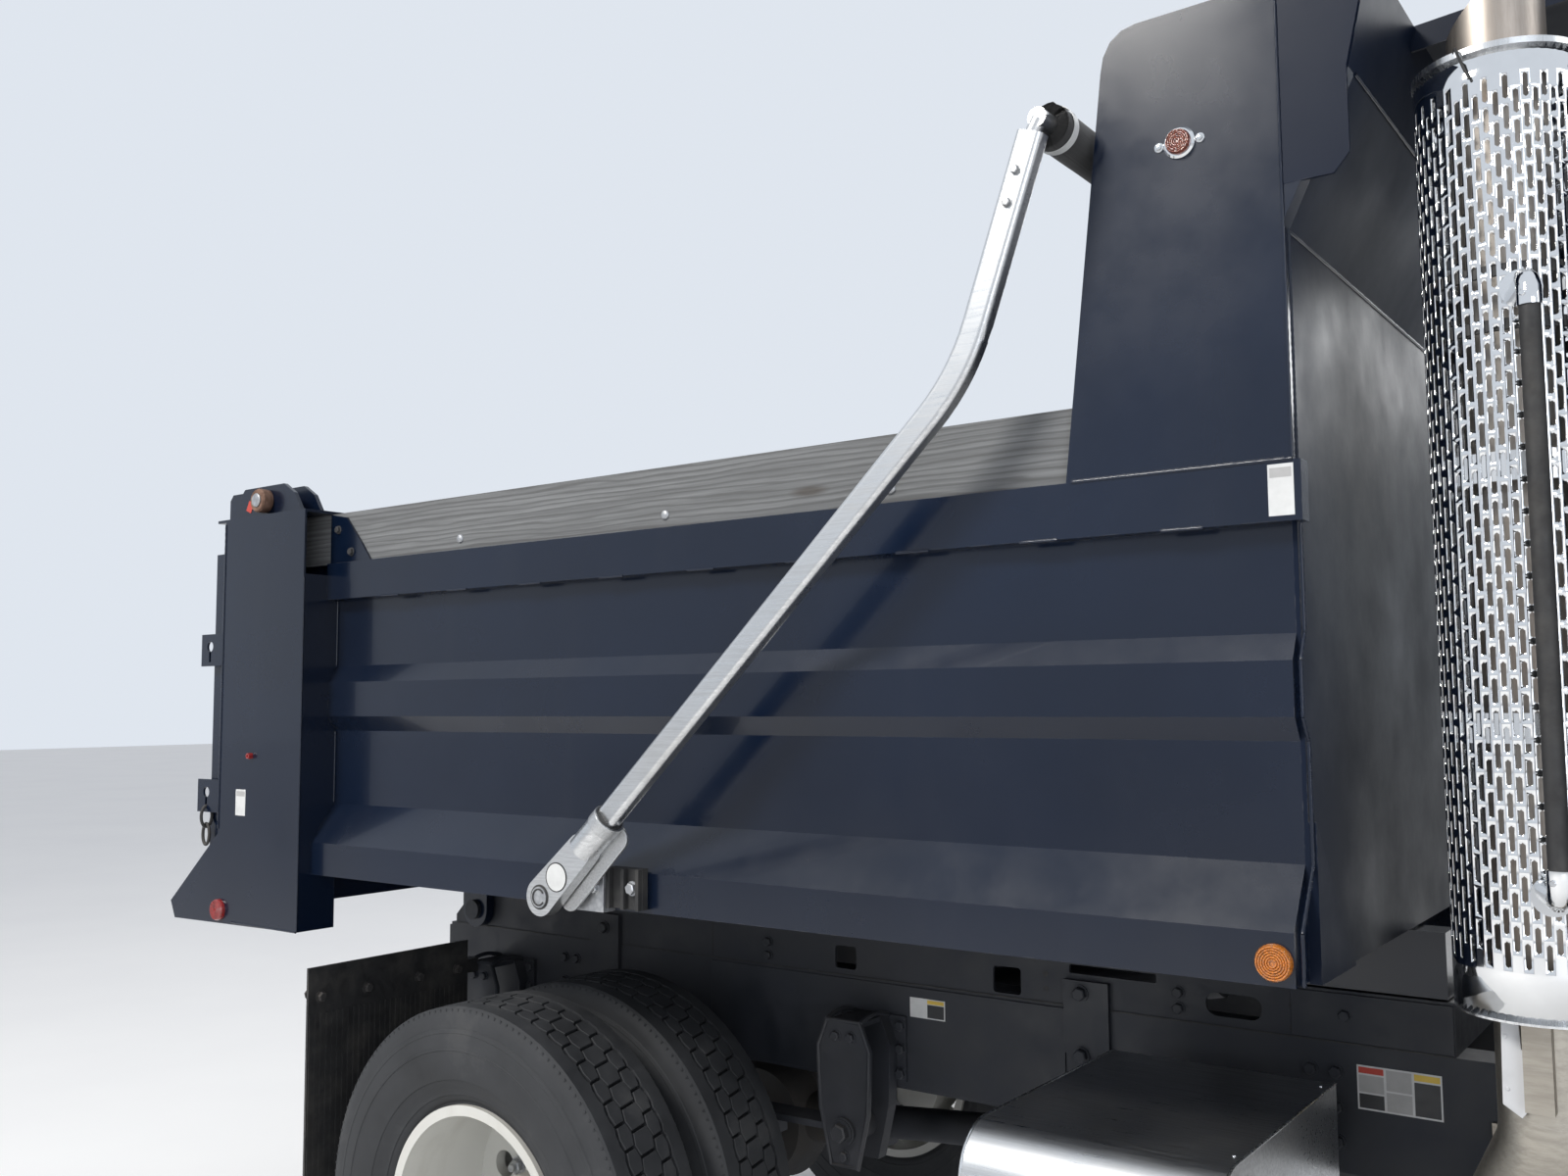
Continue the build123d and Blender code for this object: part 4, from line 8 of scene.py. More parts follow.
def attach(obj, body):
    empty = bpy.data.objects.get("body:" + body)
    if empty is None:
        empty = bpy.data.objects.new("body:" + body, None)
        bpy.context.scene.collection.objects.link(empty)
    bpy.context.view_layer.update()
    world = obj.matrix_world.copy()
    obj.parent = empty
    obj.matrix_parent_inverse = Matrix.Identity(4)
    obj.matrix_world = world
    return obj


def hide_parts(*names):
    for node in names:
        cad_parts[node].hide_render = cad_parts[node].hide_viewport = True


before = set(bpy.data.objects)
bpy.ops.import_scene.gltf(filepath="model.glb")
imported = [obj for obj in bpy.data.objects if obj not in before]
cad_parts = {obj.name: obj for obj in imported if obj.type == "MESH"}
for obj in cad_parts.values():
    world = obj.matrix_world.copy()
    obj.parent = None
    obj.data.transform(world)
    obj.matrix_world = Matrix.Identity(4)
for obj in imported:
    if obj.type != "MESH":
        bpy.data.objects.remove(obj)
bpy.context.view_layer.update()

# Shared values: metres, with +X ahead, +Y left and +Z up. Places are given ahead of the rear axle.

REAR_AXLE = -2.0505
AXLE_HEIGHT = 0.525
WHEELBASE = 4.3
SIDES = ((-1, "right"), (1, "left"))
FORWARD = (1, 0, 0)
REARWARD = (-1, 0, 0)
LEFTWARD = (0, 1, 0)
RIGHTWARD = (0, -1, 0)
UPWARD = (0, 0, 1)
# How far a piece's foot goes into what it stands on
HIDE = 0.0008


def at(x, y, z):
    """A place given ahead of the rear axle, in the model's frame."""
    return Vector((x + REAR_AXLE, y, z))


# Shapes: lists of vertices and faces that become one piece

BOX_FACES = ((0, 1, 3, 2), (4, 6, 7, 5), (0, 4, 5, 1), (2, 3, 7, 6), (0, 2, 6, 4), (1, 5, 7, 3))


class Shape:
    """Vertices and faces, gathered before a piece's mesh is made."""

    def __init__(self):
        self.verts = []
        self.faces = []

    def add(self, verts, faces):
        start = len(self.verts)
        self.verts.extend(tuple(v) for v in verts)
        self.faces.extend(tuple(start + i for i in face) for face in faces)

    def box(self, x_span, y_span, z_span):
        """A box between two places along each axis, ahead of the rear axle."""
        xs, ys, zs = (sorted(span) for span in (x_span, y_span, z_span))
        corners = [at(x, y, z) for x in xs for y in ys for z in zs]
        self.add(corners, BOX_FACES)

    def prism(self, outline, span, axis="y"):
        """An outline pushed along an axis: (ahead, up) for y, (left, up) for x, (ahead, left) for z."""
        low, high = sorted(span)
        place = {
            "y": lambda p, t: at(p[0], t, p[1]),
            "x": lambda p, t: at(t, p[0], p[1]),
            "z": lambda p, t: at(p[0], p[1], t),
        }[axis]
        following = list(outline[1:]) + [outline[0]]
        area = sum(a[0] * b[1] - b[0] * a[1] for a, b in zip(outline, following))
        count = len(outline)
        if (area > 0) == (axis == "y"):
            outline = list(reversed(outline))
        corners = [place(p, low) for p in outline] + [place(p, high) for p in outline]
        faces = [tuple(range(count)), tuple(range(2 * count - 1, count - 1, -1))]
        for i in range(count):
            j = (i + 1) % count
            faces.append((i, i + count, j + count, j))
        self.add(corners, faces)

    def tube(self, path, radius, sides=12, closed=False):
        """A round bar along a path. Radius is one number, or one for each point."""
        points = [Vector(p) for p in path]
        count = len(points)
        radii = radius if hasattr(radius, "__len__") else [radius] * count
        verts = []
        normal = None
        for i, point in enumerate(points):
            before = points[i - 1] if i or closed else points[0]
            after = points[(i + 1) % count] if i + 1 < count or closed else points[-1]
            tangent = (after - before).normalized()
            if normal is None:
                normal = tangent.orthogonal().normalized()
            normal = (normal - tangent * normal.dot(tangent)).normalized()
            across = tangent.cross(normal)
            for k in range(sides):
                turn = 2 * pi * k / sides
                verts.append(point + (normal * cos(turn) + across * sin(turn)) * radii[i])
        faces = []
        for i in range(count if closed else count - 1):
            j = (i + 1) % count
            for k in range(sides):
                m = (k + 1) % sides
                faces.append((i * sides + k, i * sides + m, j * sides + m, j * sides + k))
        if not closed:
            faces.append(tuple(reversed(range(sides))))
            faces.append(tuple((count - 1) * sides + k for k in range(sides)))
        self.add(verts, faces)

    def turn(self, centre, direction, profile, steps=32, closed=False):
        """A profile of (distance along the axis, radius) turned about the axis."""
        axis = Vector(direction).normalized()
        normal = axis.orthogonal().normalized()
        across = axis.cross(normal)
        centre = Vector(centre)
        verts = []
        for along, radius in profile:
            for k in range(steps):
                angle = 2 * pi * k / steps
                spoke = normal * cos(angle) + across * sin(angle)
                verts.append(centre + axis * along + spoke * radius)
        count = len(profile)
        faces = []
        for i in range(count if closed else count - 1):
            j = (i + 1) % count
            for k in range(steps):
                m = (k + 1) % steps
                faces.append((i * steps + k, i * steps + m, j * steps + m, j * steps + k))
        if not closed:
            faces.append(tuple(reversed(range(steps))))
            faces.append(tuple((count - 1) * steps + k for k in range(steps)))
        self.add(verts, faces)

    def disc(self, foot, direction, radius, height, top=None, steps=20):
        """A round plate that stands on a face. Top is its upper edge's radius, where that differs."""
        self.turn(foot, direction, ((-HIDE, radius), (height, top or radius)), steps)

    def ring(self, centre, direction, span, radii, steps=40):
        """A flat ring about an axis, between two places along it and two radii."""
        low, high = span
        inner, outer = radii
        profile = ((low, inner), (low, outer), (high, outer), (high, inner))
        self.turn(centre, direction, profile, steps, closed=True)

    def bolt(self, foot, direction, size, washer=True):
        """A hexagon head on a washer, standing on a face. Size is across the corners."""
        axis = Vector(direction).normalized()
        radius = size / 2
        if washer:
            self.disc(foot, axis, radius * 1.25, size * 0.08, steps=16)
        base = size * 0.08 if washer else -HIDE
        head = ((base, radius), (size * 0.42, radius), (size * 0.5, radius * 0.82))
        self.turn(foot, axis, head, 6)

    def side_boxes(self, boxes, side):
        """Boxes whose spans across are given from the middle outward."""
        for x_span, y_span, z_span in boxes:
            self.box(x_span, [side * y for y in y_span], z_span)

    def side_bolts(self, places, face, side, size):
        """Bolts on a side face, at places given ahead and up."""
        for x, z in places:
            self.bolt(at(x, side * face, z), (0, side, 0), size)

    def bead(self, start, end, size, rng, step=0.006):
        """A weld bead: overlapping ripples along a line."""
        start, end = Vector(start), Vector(end)
        count = max(3, min(90, int((end - start).length / step)))
        path = [start.lerp(end, i / count) for i in range(count + 1)]
        radii = [size * (0.82 + 0.18 * (i % 2) + 0.12 * rng.random()) for i in range(count + 1)]
        self.tube(path, radii, 6)


def make(name, shape, body, material, bevel=0.0, smooth=35.0, segments=2):
    """Turns a shape into a piece that rides on a body."""
    mesh = bpy.data.meshes.new(name)
    mesh.from_pydata(shape.verts, [], shape.faces)
    mesh.validate()
    mesh.shade_smooth()
    mesh.set_sharp_from_angle(angle=radians(smooth))
    piece = bpy.data.objects.new(name, mesh)
    bpy.context.scene.collection.objects.link(piece)
    piece.data.materials.append(material)
    if bevel:
        rounding = piece.modifiers.new("rounding", "BEVEL")
        rounding.width = bevel
        rounding.segments = segments
        rounding.limit_method = "ANGLE"
        rounding.angle_limit = radians(40)
        rounding.harden_normals = True
    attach(piece, body)
    return piece


# Materials: each is a shader with layers of colour, roughness and relief over it


class Nodes:
    """A node tree, and short ways to add to it."""

    def __init__(self, tree):
        self.tree = tree

    def join(self, value, socket):
        """Puts a link or a plain value into a socket."""
        if isinstance(value, bpy.types.NodeSocket):
            self.tree.links.new(value, socket)
        else:
            socket.default_value = value

    def fill(self, node, values):
        """Puts links or plain values into a node's inputs."""
        for socket, value in values.items():
            self.join(value, node.inputs[socket])

    def node(self, kind, values=None, **settings):
        """A new node with its settings and inputs."""
        new = self.tree.nodes.new(kind)
        for key, value in settings.items():
            setattr(new, key, value)
        self.fill(new, values or {})
        return new

    def math(self, operation, a, b=0.0):
        return self.node("ShaderNodeMath", {0: a, 1: b}, operation=operation).outputs["Value"]

    def product(self, first, *others):
        for other in others:
            first = self.math("MULTIPLY", first, other)
        return first


class Finish(Nodes):
    """A node-based material that is built up a layer at a time."""

    def __init__(self, name, colour, roughness, metallic=0.0, coat=0.0):
        self.material = bpy.data.materials.new(name)
        self.material.use_nodes = True
        super().__init__(self.material.node_tree)
        self.shader = self.tree.nodes["Principled BSDF"]
        self.colour = (*colour, 1)
        self.fill(self.shader, {"Base Color": self.colour, "Roughness": roughness, "Metallic": metallic})
        self.fill(self.shader, {"Coat Weight": coat, "Coat Roughness": 0.05})
        self.coords = self.node("ShaderNodeTexCoord")

    def stretched(self, stretch):
        place = {"Scale": stretch, "Vector": self.coords.outputs["Object"]}
        return self.node("ShaderNodeMapping", place).outputs["Vector"]

    def noise(self, scale, detail=4.0, stretch=(1, 1, 1), roughness=0.55, distortion=0.0):
        look = {"Scale": scale, "Detail": detail, "Roughness": roughness, "Distortion": distortion}
        look["Vector"] = self.stretched(stretch)
        return self.node("ShaderNodeTexNoise", look).outputs["Fac"]

    def cells(self, scale, stretch=(1, 1, 1)):
        look = {"Scale": scale, "Vector": self.stretched(stretch)}
        return self.node("ShaderNodeTexVoronoi", look, feature="F1").outputs["Distance"]

    def waves(self, scale, direction, distortion=0.0, detail=2.0, stretch=(1, 1, 1)):
        look = {"Scale": scale, "Distortion": distortion, "Detail": detail}
        look["Vector"] = self.stretched(stretch)
        texture = self.node("ShaderNodeTexWave", look, wave_type="BANDS", bands_direction=direction)
        return texture.outputs["Fac"]

    def band(self, value, low, high, start=0.0, end=1.0):
        """Maps the part of a value between low and high onto start to end."""
        ends = {"From Min": low, "From Max": high, "To Min": start, "To Max": end}
        return self.node("ShaderNodeMapRange", {"Value": value, **ends}).outputs["Result"]

    def facing(self, axis):
        """How far a surface faces along an axis of the model, from 0 to 1."""
        split = self.node("ShaderNodeSeparateXYZ", {"Vector": self.coords.outputs["Normal"]})
        return self.math("MAXIMUM", split.outputs[axis], 0.0)

    def edges(self, radius):
        """Where the surface turns a corner: 1 on an edge, 0 on a flat."""
        rounded = self.node("ShaderNodeBevel", {"Radius": radius}, samples=4)
        flat = self.node("ShaderNodeNewGeometry")
        normals = {0: rounded.outputs["Normal"], 1: flat.outputs["Normal"]}
        dot = self.node("ShaderNodeVectorMath", normals, operation="DOT_PRODUCT")
        return self.band(dot.outputs["Value"], 0.99, 0.8)

    def layer(self, colour, mask):
        """Mixes a colour over what is there, where the mask is."""
        mix = self.node("ShaderNodeMix", data_type="RGBA")
        self.fill(mix, {0: mask, 6: self.colour, 7: (*colour, 1)})
        self.colour = mix.outputs[2]
        self.join(self.colour, self.shader.inputs["Base Color"])

    def spread(self, colour, value, low, high, most=1.0):
        """Mixes a colour in where a value runs from low to high."""
        self.layer(colour, self.band(value, low, high, 0.0, most))

    def rough(self, value, low, high, start=0.35, end=0.65):
        self.join(self.band(value, start, end, low, high), self.shader.inputs["Roughness"])

    def relief(self, height, strength, distance):
        bump = self.node("ShaderNodeBump", {"Strength": strength, "Distance": distance, "Height": height})
        socket = self.shader.inputs["Normal"]
        if socket.is_linked:
            self.join(socket.links[0].from_socket, bump.inputs["Normal"])
        self.join(bump.outputs["Normal"], socket)


def scaled(colour, factor, lift=0.0):
    """A colour made darker or lighter."""
    return [min(1, factor * part + lift) for part in colour]


def paint(name, colour, second, dust, dust_amount, roughness, coat=0.2, waviness=0.10, shine=0.35):
    """Sprayed paint on sheet metal: a little wavy, with dust on what faces up and thin edges."""
    made = Finish(name, colour, roughness[0], coat=coat)
    made.fill(made.shader, {"Specular IOR Level": shine})
    grime = made.noise(2.6, 8.0, roughness=0.62)
    streaks = made.noise(9.0, 5.0, stretch=(1, 1, 0.12))
    # Broad patches of the second colour: on the navy paints this is the lit copy, laid on as painted light
    made.spread(second, made.noise(0.9, 3.0), 0.35, 0.7)
    made.layer(dust, made.product(made.band(grime, 0.38, 0.72), made.facing("Z"), dust_amount))
    made.spread(dust, streaks, 0.55, 0.85, dust_amount * 0.35)
    chips = made.product(made.edges(0.003), made.band(made.noise(38, 4.0), 0.5, 0.62), 0.5)
    made.layer(scaled(second, 0.25, 0.09), chips)
    made.rough(grime, *roughness)
    made.relief(made.noise(1.4, 1.0), waviness, 0.02)
    made.relief(made.noise(300, 2.0), 0.03, 0.001)
    return made.material


def dull_metal(name, colour, second, dust, dust_amount, roughness):
    """Rough painted or bare iron with dirt in it."""
    made = Finish(name, colour, roughness[0])
    mottle = made.noise(7.0, 8.0, roughness=0.65)
    made.spread(second, mottle, 0.42, 0.66)
    film = made.math("ADD", made.product(made.facing("Z"), 0.7), 0.3)
    made.layer(dust, made.product(film, made.band(made.noise(3.1, 7.0), 0.35, 0.7, 0.0, dust_amount)))
    worn = made.product(made.edges(0.003), made.band(made.noise(30, 3.0), 0.45, 0.6), 0.45)
    made.layer(scaled(second, 1.8, 0.06), worn)
    made.rough(mottle, *roughness)
    made.relief(made.noise(120.0, 5.0), 0.18, 0.0012)
    return made.material


def bright(name, colour, roughness, grain=(1, 1, 1), scale=60.0, scratch=0.05, dust=0.12, stain=None,
           streak=0.82):
    """Bare metal, brushed or polished, with faint scratches and a film of dust."""
    made = Finish(name, colour, roughness[0], 1.0)
    lines = made.noise(scale, 4.0, stretch=grain, roughness=0.7)
    cloud = made.noise(3.5, 6.0)
    made.spread(scaled(colour, streak), lines, 0.42, 0.62)
    if stain:
        made.spread(stain, made.noise(2.2, 6.0), 0.46, 0.75, 0.7)
    made.spread((0.34, 0.31, 0.27), cloud, 0.45, 0.75, dust)
    made.rough(made.math("ADD", made.product(lines, 0.6), made.product(cloud, 0.4)), *roughness)
    made.relief(lines, scratch, 0.0006)
    return made.material


def lens(name, colour, scale=420.0):
    """A clear moulded lens with fine prisms behind its face."""
    made = Finish(name, colour, 0.12, coat=1.0)
    made.fill(made.shader, {"Transmission Weight": 0.25})
    prisms = made.cells(scale)
    made.spread(scaled(colour, 0.45), prisms, 0.25, 0.7)
    made.spread((0.3, 0.27, 0.23), made.noise(30, 6.0), 0.55, 0.85, 0.3)
    made.relief(prisms, 0.35, 0.001)
    return made.material


def plastic(name, colour, roughness, dust=0.15):
    """Moulded plastic or rubber with a fine leather grain."""
    made = Finish(name, colour, roughness[0])
    film = made.noise(5.0, 7.0)
    made.spread((0.22, 0.2, 0.18), film, 0.45, 0.8, dust)
    made.rough(film, *roughness)
    made.relief(made.cells(500.0), 0.2, 0.0004)
    return made.material


def label_face(name, colour):
    """Printed vinyl: plain, a little faded and dirty at the edges."""
    made = Finish(name, colour, 0.4)
    made.spread(scaled(colour, 0.72), made.noise(22, 6.0), 0.45, 0.75, 0.6)
    made.rough(made.noise(40, 4.0), 0.32, 0.5)
    made.relief(made.noise(150, 2.0), 0.05, 0.0005)
    return made.material


def tyre_rubber():
    """Worn black rubber, greyed by dust."""
    made = Finish("tyre_rubber", (0.010, 0.011, 0.013), 0.75)
    dust = made.noise(4.0, 8.0, roughness=0.65)
    made.spread((0.034, 0.036, 0.040), dust, 0.3, 0.6)
    made.spread((0.105, 0.103, 0.100), dust, 0.55, 0.8, 0.55)
    made.rough(dust, 0.62, 0.85)
    made.relief(made.noise(260, 4.0), 0.25, 0.0008)
    return made.material


def weathered_wood():
    """A grey plank: long grain, cracks and a few knots."""
    made = Finish("weathered_plank", (0.124, 0.128, 0.132), 0.8)
    grain = made.noise(3.4, 9.0, stretch=(0.55, 24, 24), roughness=0.7, distortion=0.3)
    rings = made.waves(9.0, "Z", distortion=8.0, detail=3.0, stretch=(0.25, 1.5, 2.6))
    cracks = made.noise(2.2, 10.0, stretch=(0.5, 30, 30), roughness=0.75)
    knots = made.cells(2.1, stretch=(1.0, 0.2, 4.0))
    made.spread((0.190, 0.197, 0.203), grain, 0.42, 0.62)
    made.spread((0.074, 0.074, 0.075), rings, 0.58, 0.95, 0.6)
    made.spread((0.028, 0.026, 0.025), cracks, 0.64, 0.7, 0.9)
    made.spread((0.06, 0.052, 0.046), knots, 0.12, 0.05, 0.8)
    made.rough(grain, 0.7, 0.95)
    made.relief(grain, 0.45, 0.002)
    made.relief(rings, 0.3, 0.0015)
    return made.material


def rusted():
    """Flaking brown rust."""
    made = Finish("rust", (0.105, 0.055, 0.036), 0.9)
    made.spread((0.21, 0.125, 0.090), made.noise(45, 8.0), 0.42, 0.62)
    made.spread((0.045, 0.03, 0.025), made.noise(18, 6.0), 0.55, 0.7)
    made.relief(made.noise(160, 6.0), 0.6, 0.0015)
    return made.material


def galvanised():
    """Zinc-coated steel with its spangle, dirty in places."""
    made = Finish("galvanised_steel", (0.50, 0.51, 0.52), 0.42, 0.85)
    spangle = made.cells(70)
    made.spread((0.36, 0.37, 0.39), spangle, 0.2, 0.7)
    made.spread((0.25, 0.24, 0.22), made.noise(9, 7.0), 0.5, 0.75, 0.6)
    made.rough(spangle, 0.34, 0.55, 0.1, 0.8)
    made.relief(made.noise(90, 4.0), 0.12, 0.0008)
    return made.material


def woven(name, colour, second, scale=340.0):
    """Woven cloth: threads crossing both ways, with a soft sheen."""
    made = Finish(name, colour, 0.9)
    made.fill(made.shader, {"Sheen Weight": 0.25})
    weave = made.product(made.waves(scale, "X"), made.waves(scale, "Z"))
    made.spread(second, weave, 0.2, 0.8)
    made.spread((0.16, 0.145, 0.125), made.noise(6, 7.0), 0.5, 0.8, 0.35)
    made.relief(weave, 0.4, 0.0006)
    return made.material


def clear_glass():
    """Window glass with a thin film of dirt."""
    made = Finish("window_glass", (0.72, 0.80, 0.80), 0.02)
    made.fill(made.shader, {"Transmission Weight": 0.85, "IOR": 1.45})
    film = made.noise(2.4, 8.0)
    made.spread((0.50, 0.52, 0.50), film, 0.5, 0.85, 0.35)
    made.rough(film, 0.015, 0.14, 0.45, 0.8)
    return made.material


def black_rubber():
    """Dull rubber with dust rubbed into it."""
    made = Finish("black_rubber", (0.02, 0.02, 0.021), 0.6)
    made.spread((0.08, 0.075, 0.068), made.noise(14, 7.0), 0.45, 0.8, 0.6)
    made.rough(made.noise(30, 4.0), 0.5, 0.8)
    made.relief(made.noise(220, 3.0), 0.15, 0.0006)
    return made.material


# The navy's shaded copy and its lit copy; the paints lay the lit one on in broad patches as painted light
DARK_NAVY = (0.0022, 0.0060, 0.0170)
LIT_NAVY = (0.0034, 0.0095, 0.0270)
GREY_DUST = (0.10, 0.10, 0.10)
NAVY = paint("navy_paint", DARK_NAVY, LIT_NAVY, GREY_DUST, 0.10, (0.16, 0.30))
DULL_NAVY = paint("dusty_navy_paint", DARK_NAVY, LIT_NAVY, GREY_DUST, 0.16, (0.34, 0.50), coat=0.0,
                  shine=0.15)
CAB_NAVY = paint("cab_paint", DARK_NAVY, LIT_NAVY, (0.12, 0.12, 0.12), 0.08, (0.12, 0.22), coat=0.4,
                 waviness=0.05)
FRAME = dull_metal("frame_paint", (0.0135, 0.0165, 0.0235), (0.023, 0.0265, 0.037),
                   (0.105, 0.098, 0.090), 0.55, (0.45, 0.75))
AXLE = dull_metal("axle_iron", (0.018, 0.019, 0.022), (0.040, 0.036, 0.034), (0.125, 0.110, 0.095),
                  0.8, (0.6, 0.9))
TYRE = tyre_rubber()
# Near-black finish for the rings in the driven tyres' grooves: painted shade, not the rubber's own colour
GROOVE_SHADE = plastic("tyre_groove_shade", (0.004, 0.0045, 0.006), (0.85, 0.95), dust=0.0)
RIM = paint("rim_paint", (0.66, 0.66, 0.63), (0.56, 0.555, 0.52), (0.20, 0.17, 0.13), 0.8, (0.25, 0.5),
            coat=0.3, waviness=0.02)
CHROME = bright("chrome", (0.80, 0.81, 0.82), (0.04, 0.09), scale=8.0, scratch=0.0, dust=0.05, streak=0.96)
POLISHED = bright("polished_aluminium", (0.74, 0.75, 0.76), (0.16, 0.34), grain=(1, 1, 0.06), scale=140.0)
BRUSHED = bright("brushed_aluminium", (0.66, 0.67, 0.68), (0.24, 0.42), grain=(0.05, 1, 1), scale=150.0,
                 scratch=0.10, dust=0.25)
CAST = bright("cast_aluminium", (0.56, 0.57, 0.58), (0.38, 0.58), scale=200.0, scratch=0.3, dust=0.3)
CAN = bright("can_steel", (0.43, 0.40, 0.35), (0.32, 0.5), grain=(0.1, 1, 1), scale=90.0, dust=0.35,
             stain=(0.20, 0.15, 0.11))
HEATED = bright("heated_pipe", (0.46, 0.42, 0.38), (0.28, 0.5), grain=(1, 1, 0.1), scale=80.0, dust=0.3,
                stain=(0.24, 0.17, 0.12))
MIRROR = bright("mirror_glass", (0.85, 0.87, 0.88), (0.015, 0.04), scale=30.0, scratch=0.0, dust=0.06)
WOOD = weathered_wood()
RUST = rusted()
GALVANISED = galvanised()
RUBBER = black_rubber()
GLASS = clear_glass()
TRIM = plastic("cabin_trim", (0.030, 0.030, 0.032), (0.5, 0.75))
CLOTH = woven("seat_cloth", (0.030, 0.031, 0.035), (0.055, 0.056, 0.062))
TARP_CLOTH = woven("tarp_mesh", (0.010, 0.010, 0.011), (0.028, 0.028, 0.029), 260.0)
AMBER = lens("amber_lens", (0.85, 0.26, 0.02))
# A darker copy of the amber lens for the wing's lamp: painted shade
SHADED_AMBER = lens("shaded_amber_lens", (0.30, 0.060, 0.025))
RED = lens("red_lens", (0.50, 0.014, 0.010))
CLEAR = lens("clear_lens", (0.82, 0.84, 0.86), 160.0)
WHITE_LABEL = label_face("white_vinyl", (0.66, 0.67, 0.67))
YELLOW_LABEL = label_face("yellow_vinyl", (0.74, 0.52, 0.08))
RED_LABEL = label_face("red_vinyl", (0.52, 0.06, 0.04))
GREY_LABEL = label_face("grey_vinyl", (0.42, 0.42, 0.42))
DARK_LABEL = label_face("dark_vinyl", (0.030, 0.031, 0.034))
PLATE_PAINT = label_face("plate_paint", (0.55, 0.56, 0.58))

# The finish of the CAD's own nodes. A name that ends in an underscore has a right and a left node.

NODE_FINISHES = (
    (NAVY, "bed_floor bed_side_ tailgate"),
    (DULL_NAVY, "front_wall cab_shield"),
    (CAB_NAVY, "cab_floor cab_back cab_roof cab_front cab_side_ door_ hood"),
    (FRAME, "frame_rails frame_crossmembers subframe rear_spring_ front_springs driveshaft"),
    (FRAME, "hoist_barrel tail_lamps"),
    (AXLE, "front_axle rear_axle knuckle_ engine_block"),
    (RIM, "front_rim_ rear_rims_"),
    (TYRE, "front_tyre_ rear_tyres_"),
    (CHROME, "hoist_rod bumper grille exhaust_stack"),
    (CAN, "exhaust_can"),
    (BRUSHED, "battery_box fuel_tank cab_steps tarp_arms"),
    (TARP_CLOTH, "tarp_roll"),
    (WOOD, "side_boards"),
    (RUBBER, "mud_flaps"),
    (AMBER, "marker_lamps"),
    (CLEAR, "headlamps"),
    (GLASS, "cab_panes door_pane_"),
    (TRIM, "dashboard"),
    (CLOTH, "seats"),
)
for material, stems in NODE_FINISHES:
    for stem in stems.split():
        for hand in ("right", "left") if stem.endswith("_") else ("",):
            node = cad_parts[stem + hand]
            node.data.materials.clear()
            node.data.materials.append(material)

# Tyres: a turned carcass with worn-in tread blocks on the driven wheels and ribs on the steered ones, and
# a near-black ring in each driven tyre's wide groove as painted shade

TREAD_RADIUS = 0.525
GROOVE_RADIUS = 0.5115
BLOCK_FOOT = GROOVE_RADIUS - 0.002
PITCHES = 58
BLOCK_HALF = 0.0247
SKEW = 0.16
KNURLS = 150
KNURL_HALF = 0.0022
KNURL_RADII = (0.508, 0.5188)
KNURL_SPANS = ((0.1130, 0.1192), (-0.1192, -0.1130))
# Span and radii of the near-black ring that paints shade into the wide groove
GROOVE_SHADE_SPAN = (-0.0735, 0.0735)
GROOVE_SHADE_RADII = (0.5090, 0.5135)
TYRE_STEPS = 96
TWIN_MIDDLES = (0.7435, 1.0865)
STEER_MIDDLE = 1.03
# Each row of blocks: its inner point and corners, outer corners and point, and its share of a pitch ahead
BLOCK_ROWS = (
    (0.0265, 0.0335, 0.0610, 0.0665, 0.0),
    (-0.0300, -0.0225, 0.0225, 0.0300, 0.5),
    (-0.0665, -0.0610, -0.0335, -0.0265, 0.12),
)
# Each scallop in a shoulder rib's edge: its corners (across, around), and its share of a pitch ahead
SCALLOPS = (
    (((0.0685, 0.0), (0.0750, 0.018), (0.0750, -0.018)), 0.5),
    (((-0.0750, -0.018), (-0.0750, 0.018), (-0.0685, 0.0)), 0.62),
)
# The driven tyre's tread under its blocks: a shoulder rib on each side of a wide groove
SHOULDER = ((0.1190, 0.5120), (0.1165, 0.5195), (0.1110, 0.5240), (0.0740, 0.5250), (0.0722, 0.5105))
# The steered tyre's ribs: the outermost edge, then each edge of a rib and how far it slopes
RIB_SHOULDER = ((0.112, 0.5205), (0.106, TREAD_RADIUS))
RIB_EDGES = (0.071, 0.061, 0.026, 0.016)
RIB_SLOPE = 0.0012
# Sidewall, from bead to shoulder: half width, radius
SIDEWALL = (
    (0.1000, 0.2868), (0.1004, 0.3010), (0.1062, 0.3060), (0.1118, 0.3180), (0.1148, 0.3200),
    (0.1160, 0.3290), (0.1225, 0.3390), (0.1300, 0.3560), (0.1322, 0.3575), (0.1362, 0.3740),
    (0.1390, 0.3900), (0.1400, 0.4080), (0.1396, 0.4250), (0.1412, 0.4265), (0.1408, 0.4310),
    (0.1388, 0.4325), (0.1366, 0.4480), (0.1330, 0.4640), (0.1340, 0.4660), (0.1318, 0.4740),
    (0.1290, 0.4760), (0.1268, 0.4900), (0.1238, 0.5030),
)


def symmetric(half, middle=()):
    """An outline of (across, radius) from one side to the other, with what is in the middle."""
    left = [(-across, radius) for across, radius in half]
    return left + list(middle) + list(reversed(half))


def ribbed_tread():
    """Five ribs with four grooves between them."""
    levels = [TREAD_RADIUS, GROOVE_RADIUS]
    middle = []
    for edge in [-edge for edge in RIB_EDGES] + list(reversed(RIB_EDGES)):
        middle.append((edge - RIB_SLOPE, levels[0]))
        middle.append((edge + RIB_SLOPE, levels[1]))
        levels.reverse()
    return symmetric(RIB_SHOULDER, middle)


